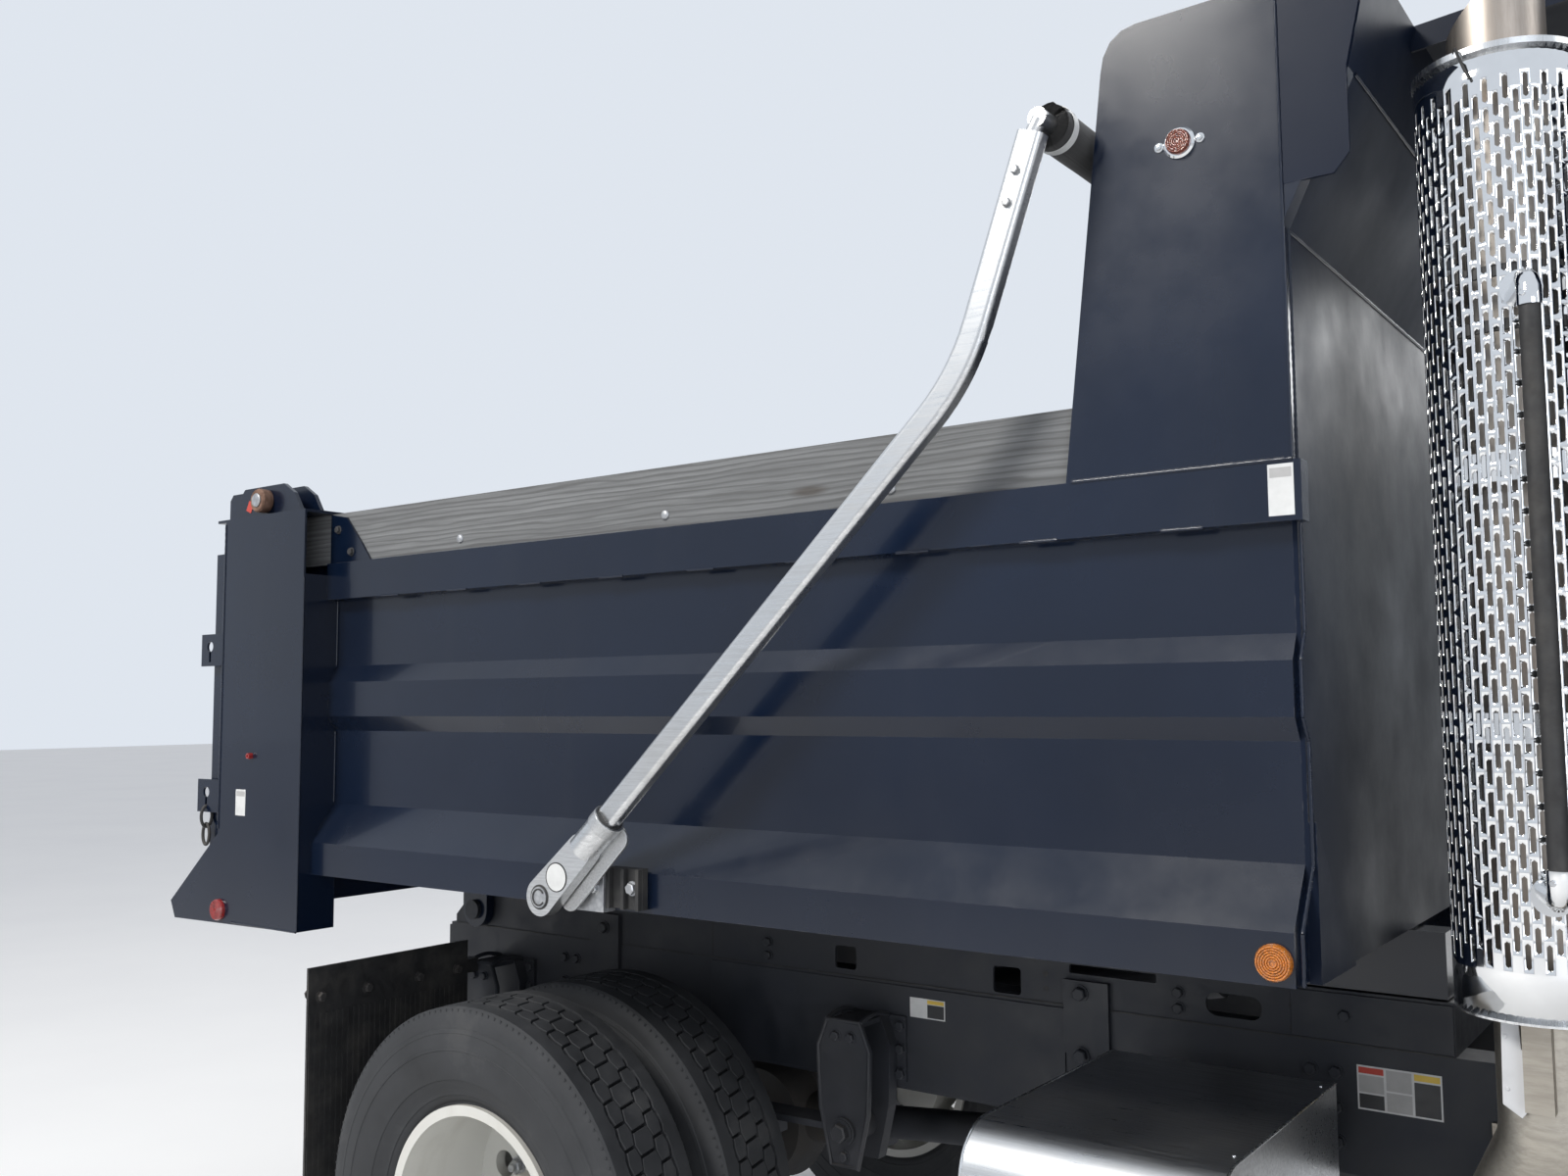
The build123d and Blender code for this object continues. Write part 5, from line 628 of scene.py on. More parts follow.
def tread_prism(shape, middle, side, turn, outline, foot, top):
    """A block that stands on the carcass, from an outline of (across, around) between two radii."""
    corners = []
    centre_across = sum(p[0] for p in outline) / len(outline)
    centre_around = sum(p[1] for p in outline) / len(outline)
    for radius, grow in ((foot, 1.04), (top - 0.0010, 1.0), (top, 0.96)):
        for across, around in outline:
            across = centre_across + (across - centre_across) * grow
            around = centre_around + (around - centre_around) * grow
            angle = turn + (around + SKEW * across) / TREAD_RADIUS
            ahead, up = radius * sin(angle), radius * cos(angle)
            corners.append(at(ahead, middle + side * across, AXLE_HEIGHT + up))
    count = len(outline)
    faces = [tuple(2 * count + i for i in range(count))]
    for level in (0, count):
        for i in range(count):
            j = (i + 1) % count
            faces.append((level + i, level + j, level + count + j, level + count + i))
    if side > 0:
        faces = [tuple(reversed(face)) for face in faces]
    shape.add(corners, faces)


def block_tread(shape, middle, side):
    """Three rows of six-sided blocks, and the scalloped and knurled edges of the shoulder ribs."""
    pitch = 2 * pi / PITCHES
    rows = []
    for inner, inner_corner, outer_corner, outer, ahead in BLOCK_ROWS:
        front = ((inner_corner, BLOCK_HALF), (outer_corner, BLOCK_HALF))
        rear = ((outer_corner, -BLOCK_HALF), (inner_corner, -BLOCK_HALF))
        rows.append((((inner, 0.0), *front, (outer, 0.0), *rear), ahead))
    for i in range(PITCHES):
        for outline, ahead in (*rows, *SCALLOPS):
            tread_prism(shape, middle, side, pitch * (i + ahead), outline, BLOCK_FOOT, TREAD_RADIUS)
    for i in range(KNURLS):
        for low, high in KNURL_SPANS:
            bar = ((low, -KNURL_HALF), (low, KNURL_HALF), (high, KNURL_HALF), (high, -KNURL_HALF))
            tread_prism(shape, middle, side, 2 * pi * i / KNURLS, bar, *KNURL_RADII)


for side, hand in SIDES:
    drive = Shape()
    groove_shade = Shape()
    for middle in TWIN_MIDDLES:
        centre = at(0, side * middle, AXLE_HEIGHT)
        drive.turn(centre, LEFTWARD, symmetric(SIDEWALL, symmetric(SHOULDER)), TYRE_STEPS, closed=True)
        block_tread(drive, side * middle, side)
        # A near-black ring under the blocks: painted shade in the wide groove
        groove_shade.ring(centre, LEFTWARD, GROOVE_SHADE_SPAN, GROOVE_SHADE_RADII, TYRE_STEPS)
    drive_tyres = make(f"drive_tyres_{hand}", drive, f"rear_wheel_{hand}", TYRE, smooth=28)
    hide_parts(f"rear_tyres_{hand}")
    make(f"tread_groove_shade_{hand}", groove_shade, f"rear_wheel_{hand}", GROOVE_SHADE, smooth=28)

    steer = Shape()
    centre = at(WHEELBASE, side * STEER_MIDDLE, AXLE_HEIGHT)
    steer.turn(centre, LEFTWARD, symmetric(SIDEWALL, ribbed_tread()), TYRE_STEPS, closed=True)
    steer_tyre = make(f"steer_tyre_{hand}", steer, f"front_wheel_{hand}", TYRE, smooth=28)
    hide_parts(f"front_tyre_{hand}")

# Wheel nuts, hub caps and valves

NUT_CIRCLE = 0.1429
NUT_COUNT = 10
NUT_SIZE = 0.038
FIRST_NUT = 0.16
STUD = ((0, 0.0105), (0.014, 0.0105), (0.016, 0.009))
FLANGE_CIRCLE = 0.070
FLANGE_BOLTS = 8
FLANGE_BOLT = 0.022
VALVE_REACH = 0.235
VALVE_RADIUS = 0.004
VALVE_CAP = ((0, 0.0052), (0.012, 0.0052))
REAR_CAP = (
    (-0.004, 0.0915), (0.004, 0.0915), (0.006, 0.089), (0.006, 0.046), (0.012, 0.040), (0.013, 0.0),
)
FRONT_CAP = (
    (-0.004, 0.0915), (0.006, 0.0915), (0.008, 0.082), (0.020, 0.072), (0.024, 0.050), (0.026, 0.0),
)
# Each wheel: place ahead, its disc's outer face, the hub's end, and the cap's outline and finish
WHEELS = (
    ("rear", 0.0, 0.930, 1.040, REAR_CAP, RIM),
    ("front", WHEELBASE, 1.100, 1.160, FRONT_CAP, CHROME),
)


def on_circle(circle, count, start=0.0):
    """Evenly spaced places round a wheel, as steps from its middle."""
    for i in range(count):
        turn = start + 2 * pi * i / count
        yield Vector((circle * cos(turn), 0, circle * sin(turn)))


for side, hand in SIDES:
    outward = (0, side, 0)
    for name, x, disc, hub_end, cap, cap_finish in WHEELS:
        body = f"{name}_wheel_{hand}"
        nuts = Shape()
        for step in on_circle(NUT_CIRCLE, NUT_COUNT, FIRST_NUT):
            nuts.bolt(at(x, side * disc, AXLE_HEIGHT) + step, outward, NUT_SIZE)
        for step in on_circle(NUT_CIRCLE, NUT_COUNT, FIRST_NUT):
            nuts.turn(at(x, side * (disc + 0.014), AXLE_HEIGHT) + step, outward, STUD, 12)
        make(f"{name}_wheel_nuts_{hand}", nuts, body, GALVANISED)
        hub = Shape()
        cap_face = at(x, side * hub_end, AXLE_HEIGHT)
        hub.turn(cap_face, outward, cap, 48)
        for step in on_circle(FLANGE_CIRCLE, FLANGE_BOLTS):
            hub.bolt(cap_face + Vector((0, side * 0.005, 0)) + step, outward, FLANGE_BOLT)
        make(f"{name}_hub_cap_{hand}", hub, body, cap_finish)
        valve = Shape()
        stem = at(x + VALVE_REACH, side * (disc + 0.002), AXLE_HEIGHT)
        bend = stem + Vector((0.004, side * 0.030, 0))
        tip = stem + Vector((0.022, side * 0.055, 0))
        valve.tube((stem, bend, tip), VALVE_RADIUS, 8)
        valve.turn(tip, (0.55, side, 0), VALVE_CAP, 10)
        make(f"{name}_valve_{hand}", valve, body, GALVANISED)

# Exhaust stack: a guard of bright sheet with rows of upright slots, the pipe in it and a grab handle

STACK_X = 2.240
STACK_Y = -0.980
STACK_FOOT = at(STACK_X, STACK_Y, 0)
GUARD_RADIUS = 0.127
GUARD_BOTTOM = 1.285
GUARD_TOP = 2.790
GUARD_SHEET = 0.0016
GUARD_STEPS = 72
SLOT_COLUMNS = 56
SLOT_ROWS = 28
SLOT_HALF_WIDTH = 0.0039
SLOT_HALF_HEIGHT = 0.0198
SLOT_NECK = 0.82
PLAIN_TOP = 0.050
PLAIN_BOTTOM = 0.076
SPACERS = (2.100, 1.700, 1.320)
SPACER_HEIGHT = 0.046
SPACER_RADII = (GUARD_RADIUS - 0.008, GUARD_RADIUS - 0.002)
SPOKE_RADIUS = 0.007
# Two dark rings just inside the guard's sheet, which show through its slots as dark bands
INNER_BANDS = (2.420, 2.334)
INNER_BAND_HEIGHT = 0.018
INNER_BAND_RADII = (GUARD_RADIUS - 0.010, GUARD_RADIUS - 0.003)
PIPE_RADIUS = 0.074
PIPE_WALL = 0.003
PIPE_TOP = 2.970
PIPE_MITRE = 0.120
PIPE_STEPS = 48


def on_guard(column, height):
    """A place on the guard: columns go round it, and may be fractions."""
    turn = 2 * pi * column / SLOT_COLUMNS
    return at(STACK_X + GUARD_RADIUS * cos(turn), STACK_Y + GUARD_RADIUS * sin(turn), height)


def slotted_cell(shape, column, low, middle, high):
    """One cell of the guard's sheet: six corners round the slot's six."""
    slot = SLOT_HALF_WIDTH / (2 * pi * GUARD_RADIUS) * SLOT_COLUMNS
    neck = SLOT_HALF_HEIGHT * SLOT_NECK
    left, right = column - 0.5, column + 0.5
    rim = ((left, low), (right, low), (right, middle), (right, high), (left, high), (left, middle))
    hole = (
        (column, middle - SLOT_HALF_HEIGHT),
        (column + slot, middle - neck),
        (column + slot, middle + neck),
        (column, middle + SLOT_HALF_HEIGHT),
        (column - slot, middle + neck),
        (column - slot, middle - neck),
    )
    faces = [(0, 1, 6), (1, 7, 6)]
    for i in range(1, 5):
        faces += [(i, i + 1, i + 6), (i + 1, i + 7, i + 6)]
    faces += [(5, 0, 11), (0, 6, 11)]
    shape.add([on_guard(*corner) for corner in rim + hole], faces)


def slotted_sheet():
    """The guard's sheet: a slot in each cell, and every other column half a cell higher."""
    shape = Shape()
    first = GUARD_BOTTOM + PLAIN_BOTTOM
    last = GUARD_TOP - PLAIN_TOP
    cell = (last - first) / SLOT_ROWS
    for column in range(SLOT_COLUMNS):
        raised = column % 2
        for row in range(SLOT_ROWS - raised):
            middle = first + (row + 0.5 + 0.5 * raised) * cell
            slotted_cell(shape, column, middle - 0.5 * cell, middle, middle + 0.5 * cell)
        bottom = [GUARD_BOTTOM, first] + [first + 0.5 * cell] * raised
        top = [last - 0.5 * cell] * raised + [last, GUARD_TOP]
        for heights in (bottom, top):
            edge = [on_guard(column + 0.5, z) for z in heights]
            edge += [on_guard(column - 0.5, z) for z in reversed(heights)]
            shape.add(edge, [tuple(range(len(edge)))])
    return shape


def pipe_shape():
    """The stack pipe: a thin tube whose top is cut at a slant, lowest at the rear."""
    levels = [[], [], [], []]
    for k in range(PIPE_STEPS):
        angle = 2 * pi * k / PIPE_STEPS
        top = PIPE_TOP - PIPE_MITRE * 0.5 * (1 - cos(angle))
        bore = PIPE_RADIUS - PIPE_WALL
        spots = ((PIPE_RADIUS, GUARD_BOTTOM), (PIPE_RADIUS, top), (bore, top), (bore, GUARD_BOTTOM))
        for level, (radius, z) in zip(levels, spots):
            level.append(at(STACK_X + radius * cos(angle), STACK_Y + radius * sin(angle), z))
    faces = []
    for level in range(4):
        a, b = level * PIPE_STEPS, (level + 1) % 4 * PIPE_STEPS
        for k in range(PIPE_STEPS):
            m = (k + 1) % PIPE_STEPS
            faces.append((a + k, a + m, b + m, b + k))
    shape = Shape()
    shape.add([v for level in levels for v in level], faces)
    return shape


guard = make("stack_guard", slotted_sheet(), "chassis", CHROME, smooth=50)
joined = guard.modifiers.new("joined", "WELD")
joined.merge_threshold = 0.0001
thickness = guard.modifiers.new("sheet", "SOLIDIFY")
thickness.thickness = GUARD_SHEET
thickness.offset = -1.0
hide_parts("exhaust_stack")

rings = Shape()
for span, radii in (
    ((GUARD_BOTTOM - 0.0005, GUARD_BOTTOM + 0.003), (GUARD_RADIUS - 0.002, GUARD_RADIUS + 0.0006)),
    ((GUARD_TOP - 0.008, GUARD_TOP + 0.002), (GUARD_RADIUS - 0.003, GUARD_RADIUS + 0.0015)),
    ((GUARD_BOTTOM + 0.004, GUARD_BOTTOM + 0.008), (PIPE_RADIUS, GUARD_RADIUS - 0.002)),
):
    rings.ring(STACK_FOOT, UPWARD, span, radii, GUARD_STEPS)
for low in SPACERS:
    rings.ring(STACK_FOOT, UPWARD, (low, low + SPACER_HEIGHT), SPACER_RADII, GUARD_STEPS)
    for spoke in range(3):
        angle = 0.5 + 2 * pi * spoke / 3
        reach = Vector((cos(angle), sin(angle), 0))
        foot = STACK_FOOT + Vector((0, 0, low + 0.02))
        bar = (foot + reach * (PIPE_RADIUS - 0.002), foot + reach * (GUARD_RADIUS - 0.006))
        rings.tube(bar, SPOKE_RADIUS, 10)
make("stack_rings", rings, "chassis", POLISHED, smooth=40)

inner_bands = Shape()
for low in INNER_BANDS:
    inner_bands.ring(STACK_FOOT, UPWARD, (low, low + INNER_BAND_HEIGHT), INNER_BAND_RADII, GUARD_STEPS)
# A cable tie over the guard's top edge, as steps from a place on that edge
TIE_STEPS = (
    (-0.004, 0.012, -0.020), (-0.002, 0.004, 0.005), (0.002, -0.008, 0.002),
    (0.012, -0.007, -0.030), (0.020, -0.007, -0.052),
)
tie_foot = at(STACK_X - 0.040, STACK_Y - GUARD_RADIUS + 0.002, GUARD_TOP)
inner_bands.tube([tie_foot + Vector(step) for step in TIE_STEPS], 0.0022, 8)
make("stack_inner_bands", inner_bands, "chassis", RUBBER, smooth=40)
make("stack_pipe", pipe_shape(), "chassis", HEATED, smooth=40)

GRAB_X = 2.295
GRAB_Y = -1.170
GRIP_SPAN = (1.512, 2.358)
GRAB_ENDS = ((1.460, 1), (2.410, -1))
GRAB_REACH = 0.36
grip = Shape()
grip.tube([at(GRAB_X, GRAB_Y, z) for z in GRIP_SPAN], 0.0152, 24)
make("grab_handle_grip", grip, "chassis", RUBBER, bevel=0.001)
ends = Shape()
reach_x = GRAB_X + (STACK_X - GRAB_X) * GRAB_REACH
reach_y = GRAB_Y + (STACK_Y - GRAB_Y) * GRAB_REACH
for z, up in GRAB_ENDS:
    bend = (
        (GRAB_X, GRAB_Y, 0.062),
        (GRAB_X, GRAB_Y, 0.036),
        (GRAB_X - 0.002, GRAB_Y + 0.005, 0.024),
        (GRAB_X - 0.006, GRAB_Y + 0.016, 0.017),
        (GRAB_X - 0.010, GRAB_Y + 0.034, 0.0165),
        (reach_x, reach_y, 0.0165),
    )
    path = [at(x, y, z + up * lift) for x, y, lift in bend]
    ends.tube(path, (0.0175, 0.0175, 0.0170, 0.0165, 0.0160, 0.0160), 24)
    ends.turn(path[-1], (-0.28, 1, 0), ((-0.004, 0.030), (0.004, 0.030), (0.006, 0.026)), 24)
    ends.bolt(at(GRAB_X - 0.006, GRAB_Y - 0.014, z + up * 0.045), (-0.2, -1, 0), 0.010)
make("grab_handle_ends", ends, "chassis", CHROME, smooth=45)

# Lamps on the bed: turned lenses with rings, and the wing's lamp in a bright ring with two screws

LENS_STEPS = 48
LENS_HEIGHT = 0.013
WING_LAMP = (1.765, 2.740)
WING_FACE = 1.145
WING_RING = ((-HIDE, 0.0222), (-HIDE, 0.0285), (0.003, 0.0282), (0.0065, 0.0250), (0.0065, 0.0225))
# The ring's two tabs, each with a screw: steps ahead of the lamp, and the outlines
TAB_SHIFTS = (-0.0395, 0.0395)
TAB = ((-HIDE, 0.0085), (0.002, 0.0085), (0.0025, 0.0075))
TAB_SCREW = ((0.002, 0.006), (0.005, 0.0052), (0.0058, 0.003))
# Each lamp: name, ahead, up, radius, the face it stands on, rings on its lens, and its lens
LAMPS = (
    ("front_marker", 1.890, 1.352, 0.0300, 1.180, 6, AMBER),
    # The wing's lamp takes the darker amber lens, as painted shade
    ("wing_lamp", *WING_LAMP, 0.0225, 1.147, 5, SHADED_AMBER),
    ("rear_marker", -1.062, 1.194, 0.0300, 1.219, 6, RED),
    ("latch_marker", -0.920, 1.630, 0.0085, 1.219, 1, RED),
)


def ringed_lens(radius, rings):
    """The outline of a round lens with raised rings on its face."""
    low = LENS_HEIGHT * 0.84
    profile = [(-HIDE, radius), (LENS_HEIGHT * 0.55, radius), (LENS_HEIGHT * 0.8, radius * 0.955)]
    for i in range(rings):
        outer = radius * (0.90 - 0.80 * i / rings)
        inner = radius * (0.90 - 0.80 * (i + 0.55) / rings)
        profile += [(LENS_HEIGHT, outer), (LENS_HEIGHT, inner), (low, inner - radius * 0.02)]
    return profile + [(low, radius * 0.03)]


for side, hand in SIDES:
    outward = (0, side, 0)
    for name, x, z, radius, face, ring_count, finish in LAMPS:
        lamp_lens = Shape()
        lamp_lens.turn(at(x, side * face, z), outward, ringed_lens(radius, ring_count), LENS_STEPS)
        piece = make(f"{name}_{hand}", lamp_lens, "dump_body", finish, smooth=30)
        if hand == "right" and name == "front_marker":
            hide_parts("marker_lamps")
    bezel = Shape()
    lamp_x, lamp_z = WING_LAMP
    bezel.turn(at(lamp_x, side * WING_FACE, lamp_z), outward, WING_RING, LENS_STEPS, closed=True)
    for shift in TAB_SHIFTS:
        tab = at(lamp_x + shift * 0.93, side * WING_FACE, lamp_z)
        bezel.turn(tab, outward, TAB, 20)
        bezel.turn(tab, outward, TAB_SCREW, 16)
    make(f"wing_lamp_ring_{hand}", bezel, "dump_body", CHROME, smooth=30)

# Labels: plain vinyl with a coloured band and empty panels

LABEL_DEPTH = 0.0006
WHOLE = (0.0, 1.0, 0.0, 1.0, WHITE_LABEL)
PLAIN_LABEL = (WHOLE, (0.08, 0.92, 0.74, 0.93, GREY_LABEL))
NOTICE = (WHOLE, (0.50, 0.97, 0.76, 0.95, YELLOW_LABEL), (0.50, 0.97, 0.06, 0.72, DARK_LABEL))
THREE_PANELS = (
    WHOLE,
    (0.02, 0.32, 0.82, 0.96, RED_LABEL),
    (0.68, 0.98, 0.82, 0.96, YELLOW_LABEL),
    (0.02, 0.32, 0.04, 0.36, DARK_LABEL),
    (0.02, 0.32, 0.40, 0.78, GREY_LABEL),
    (0.35, 0.65, 0.50, 0.96, GREY_LABEL),
    (0.35, 0.65, 0.04, 0.46, GREY_LABEL),
    (0.68, 0.98, 0.04, 0.78, DARK_LABEL),
)


def label(name, body, x_span, z_span, face, side, parts):
    """A label on a face that looks sideways. Each part: left, right, low, high as fractions, material."""
    width = x_span[1] - x_span[0]
    height = z_span[1] - z_span[0]
    for i, (left, right, low, high, vinyl) in enumerate(parts):
        depth = LABEL_DEPTH * (1 + 0.4 * (i > 0))
        shape = Shape()
        shape.box(
            (x_span[0] + width * left, x_span[0] + width * right),
            (face * side, (face + depth) * side),
            (z_span[0] + height * low, z_span[0] + height * high),
        )
        make(f"{name}_{i}", shape, body, vinyl)


for side, hand in SIDES:
    label(f"post_label_{hand}", "dump_body", (-0.992, -0.944), (1.462, 1.535), 1.219, side, PLAIN_LABEL)
    label(f"rail_label_{hand}", "dump_body", (1.896, 1.938), (2.070, 2.156), 1.145, side, PLAIN_LABEL)

# Weld beads where the bed's plates meet

SHEET_FACE = 1.108
WELD_FACE = 1.145
# Each seam: its two ends (ahead, across, up) and the bead's size
SEAMS = (
    ((1.545, WELD_FACE - 0.001, 2.163), (1.936, WELD_FACE - 0.001, 2.163), 0.0040),
    ((1.9365, WELD_FACE, 2.165), (1.9365, WELD_FACE, 2.975), 0.0030),
    ((1.9355, SHEET_FACE, 1.500), (1.9355, SHEET_FACE, 1.700), 0.0038),
    ((1.9355, SHEET_FACE, 1.880), (1.9355, SHEET_FACE, 2.060), 0.0038),
    ((1.9355, 1.181, 1.318), (1.9355, 1.181, 1.400), 0.0038),
    ((1.9355, 1.181, 1.400), (1.9355, 1.108, 1.500), 0.0038),
    ((1.9355, 1.108, 1.700), (1.9355, 1.135, 1.740), 0.0036),
    ((1.9355, 1.135, 1.740), (1.9355, 1.135, 1.833), 0.0036),
    ((1.9355, 1.135, 1.833), (1.9355, 1.108, 1.878), 0.0036),
    ((-0.690, 1.109, 1.505), (-0.690, 1.109, 1.698), 0.0035),
    ((-0.690, 1.109, 1.880), (-0.690, 1.109, 2.058), 0.0035),
    ((-1.077, 1.2195, 1.420), (-1.077, 1.2195, 2.296), 0.0028),
    ((-1.0, 1.2185, 1.1635), (-0.692, 1.2185, 1.1635), 0.0030),
    ((-0.689, 1.2185, 1.166), (-0.689, 1.2185, 2.12), 0.0026),
)
# Short beads under the rail: across and up, and the first one's place, their step, length and count
UNDER_RAIL = (1.1445, 2.0605)
STITCHES = (-0.45, 0.27, 0.075, 9)
STITCH_SIZE = 0.0034

rng = Random(11)
for side, hand in SIDES:
    welds = Shape()
    for start, end, size in SEAMS:
        low, high = (at(x, side * y, z) for x, y, z in (start, end))
        welds.bead(low, high, size, rng)
    first, step, length, count = STITCHES
    across, height = UNDER_RAIL
    for k in range(count):
        spot = first + step * k
        low, high = (at(x, side * across, height) for x in (spot, spot + length))
        welds.bead(low, high, STITCH_SIZE, rng)
    make(f"bed_welds_{hand}", welds, "dump_body", NAVY, smooth=60)

# The post's corner: rusty hinge bushings, the pin's end and a bare tag

BUSHINGS = (
    ((1.1835, 0.0205), (1.1835, 0.0330), (1.1900, 0.0340), (1.2120, 0.0340), (1.2160, 0.0310),
     (1.2160, 0.0205)),
    ((1.1185, 0.0205), (1.1185, 0.0360), (1.1280, 0.0375), (1.1600, 0.0375), (1.1685, 0.0360),
     (1.1685, 0.0205)),
)
PIN_END = ((1.186, 0.0198), (1.219, 0.0198), (1.2215, 0.0175))
TAG = ((-1.035, 2.338), (-1.012, 2.328), (-0.995, 2.352), (-1.020, 2.366))

for side, hand in SIDES:
    bush = Shape()
    pin = at(-0.930, 0, 2.355)
    for outline in BUSHINGS:
        bush.turn(pin, (0, side, 0), outline, 40, closed=True)
    make(f"hinge_bushing_{hand}", bush, "dump_body", RUST, smooth=30)
    plug = Shape()
    plug.turn(pin, (0, side, 0), PIN_END, 32)
    make(f"hinge_pin_end_{hand}", plug, "dump_body", GALVANISED, smooth=30)
    tag = Shape()
    tag.prism(TAG, (side * 1.1825, side * 1.1832))
    make(f"hinge_tag_{hand}", tag, "dump_body", RED_LABEL)

# Tarp: what is on its arms, the brackets they turn on, and the mesh tarp wound on its bar

TARP_PIVOT = (0.309, 1.342)
SOCKET_END = (0.507, 1.523)
ARM_LABEL = (0.361, 1.389)
ARM_SCREWS = ((1.497, 2.655), (1.515, 2.711))
ARM_SCREW = 0.016
PIVOT_DISC = (0.023, 0.0035)
CLIP_RADII = (0.0235, 0.0275)
CLIP_MIDDLE = 0.0175
CLIP_WIRE = 0.0019
ARM_LABEL_RADIUS = 0.0300
ARM_LABEL_RIM = (0.0300, 0.0325)
CASTING_FACE = 1.276
TUBE_FACE = 1.279
SOCKET_FACE = 1.260
SOCKET_LIP = ((-0.030, 0.0368), (0.0, 0.0368), (0.0, 0.0322), (-0.030, 0.0322))
CHEEK_SPAN = (1.232, 1.2395)
# The cheek's two rounded ends: centre, radius, first and last angle
CHEEK_ENDS = (((0.366, 1.342), 0.031, 135, 315), ((0.512, 1.478), 0.026, -45, 135))
# Each of the pivot's brackets: rear, front, bottom, top
BRACKET_PLATE = (0.336, 0.4490, 1.3125, 1.4080)
BRACKET_BLOCK = (0.4505, 0.5470, 1.3220, 1.4110)
PLATE_FOOT = 1.181
PLATE_BACK = 1.205
PLATE_FACE = 1.219
BLOCK_BACK = 1.200
BLOCK_FACE = 1.2130
BLOCK_RIB = 0.010
PLATE_BOLT = (0.424, 1.364)
BLOCK_BOLT = (0.519, 1.368)


def arc(centre, radius, first, last, steps):
    """Points along part of a circle, between two angles in degrees."""
    for i in range(steps + 1):
        turn = radians(first + (last - first) * i / steps)
        yield centre[0] + radius * cos(turn), centre[1] + radius * sin(turn)


def beside(place, face, side):
    """A place on a side face, given ahead and up."""
    return at(place[0], side * face, place[1])


for side, hand in SIDES:
    outward = (0, side, 0)
    pivot = beside(TARP_PIVOT, CASTING_FACE, side)
    arm_label = beside(ARM_LABEL, CASTING_FACE, side)
    socket_end = beside(SOCKET_END, SOCKET_FACE, side)
    arm = Vector((SOCKET_END[0] - TARP_PIVOT[0], 0, SOCKET_END[1] - TARP_PIVOT[1]))

    screws = Shape()
    screws.side_bolts(ARM_SCREWS, TUBE_FACE, side, ARM_SCREW)
    screws.disc(pivot, outward, *PIVOT_DISC, steps=40)
    make(f"arm_screws_{hand}", screws, "tarp", GALVANISED, smooth=30)

    clip = Shape()
    clip.ring(pivot, outward, (-HIDE, 0.0012), CLIP_RADII)
    open_ring = arc((0, 0), CLIP_MIDDLE, 35, 325, 24)
    clip.tube([pivot + Vector((ahead, side * 0.0042, up)) for ahead, up in open_ring], CLIP_WIRE, 8)
    clip.ring(arm_label, outward, (-HIDE, 0.0010), ARM_LABEL_RIM)
    clip.disc(socket_end, arm, 0.0320, 0.0008, steps=40)
    make(f"arm_clip_{hand}", clip, "tarp", RUBBER, smooth=30)

    round_label = Shape()
    round_label.disc(arm_label, outward, ARM_LABEL_RADIUS, 0.0008, steps=40)
    make(f"arm_label_{hand}", round_label, "tarp", WHITE_LABEL)

    cheek = Shape()
    outline = [spot for end in CHEEK_ENDS for spot in arc(*end, 12)]
    cheek.prism(outline, [side * y for y in CHEEK_SPAN])
    cheek.turn(socket_end, arm, SOCKET_LIP, 40, closed=True)
    make(f"arm_cheek_{hand}", cheek, "tarp", CAST, bevel=0.0015)

    plate = Shape()
    rear, front, bottom, top = BRACKET_PLATE
    plate.box((rear, front), (side * PLATE_BACK, side * PLATE_FACE), (bottom, top))
    plate.box((front - 0.004, front), (side * PLATE_FOOT, side * PLATE_BACK), (bottom, top))
    plate.side_bolts([PLATE_BOLT], PLATE_FACE, side, 0.022)
    make(f"tarp_bracket_{hand}", plate, "dump_body", GALVANISED, bevel=0.001)

    block = Shape()
    rear, front, bottom, top = BRACKET_BLOCK
    block.box((rear, front), (side * PLATE_FOOT, side * BLOCK_BACK), (bottom, top))
    for x in (rear, (rear + front - BLOCK_RIB) / 2, front - BLOCK_RIB):
        block.box((x, x + BLOCK_RIB), (side * BLOCK_BACK, side * BLOCK_FACE), (bottom, top))
    make(f"tarp_block_{hand}", block, "dump_body", RUBBER, bevel=0.0015)
    bolt = Shape()
    bolt.side_bolts([BLOCK_BOLT], BLOCK_BACK, side, 0.026)
    make(f"tarp_block_bolt_{hand}", bolt, "dump_body", GALVANISED)

# The tarp itself: a long cloth wound round its bar, with dents, and a little looser at its free edge

TARP_ROLL = (1.555, 2.800)
ROLL_HALF = 1.228
CLOTH_LENGTH = 3.2
FIRST_RADIUS = 0.0189
LAST_RADIUS = 0.0405
FIRST_TURN = 2.3
TURN_STEPS = 24
ACROSS_STEPS = 28
DENTS = 14
DENT_PLACES = (-1.1, 1.1)
DENT_WIDTHS = (0.03, 0.12)
DENT_DEPTH = 0.0016
SLIP = 0.004
SLIP_STEPS = 3
LOOSE_FROM = 0.985
LOOSENESS = 0.0035
NARROWING = 0.004
BAND_PLACES = (-1.196, 1.196)
BAND_HALF = 0.009
BAND_RADII = (0.0412, 0.0424)

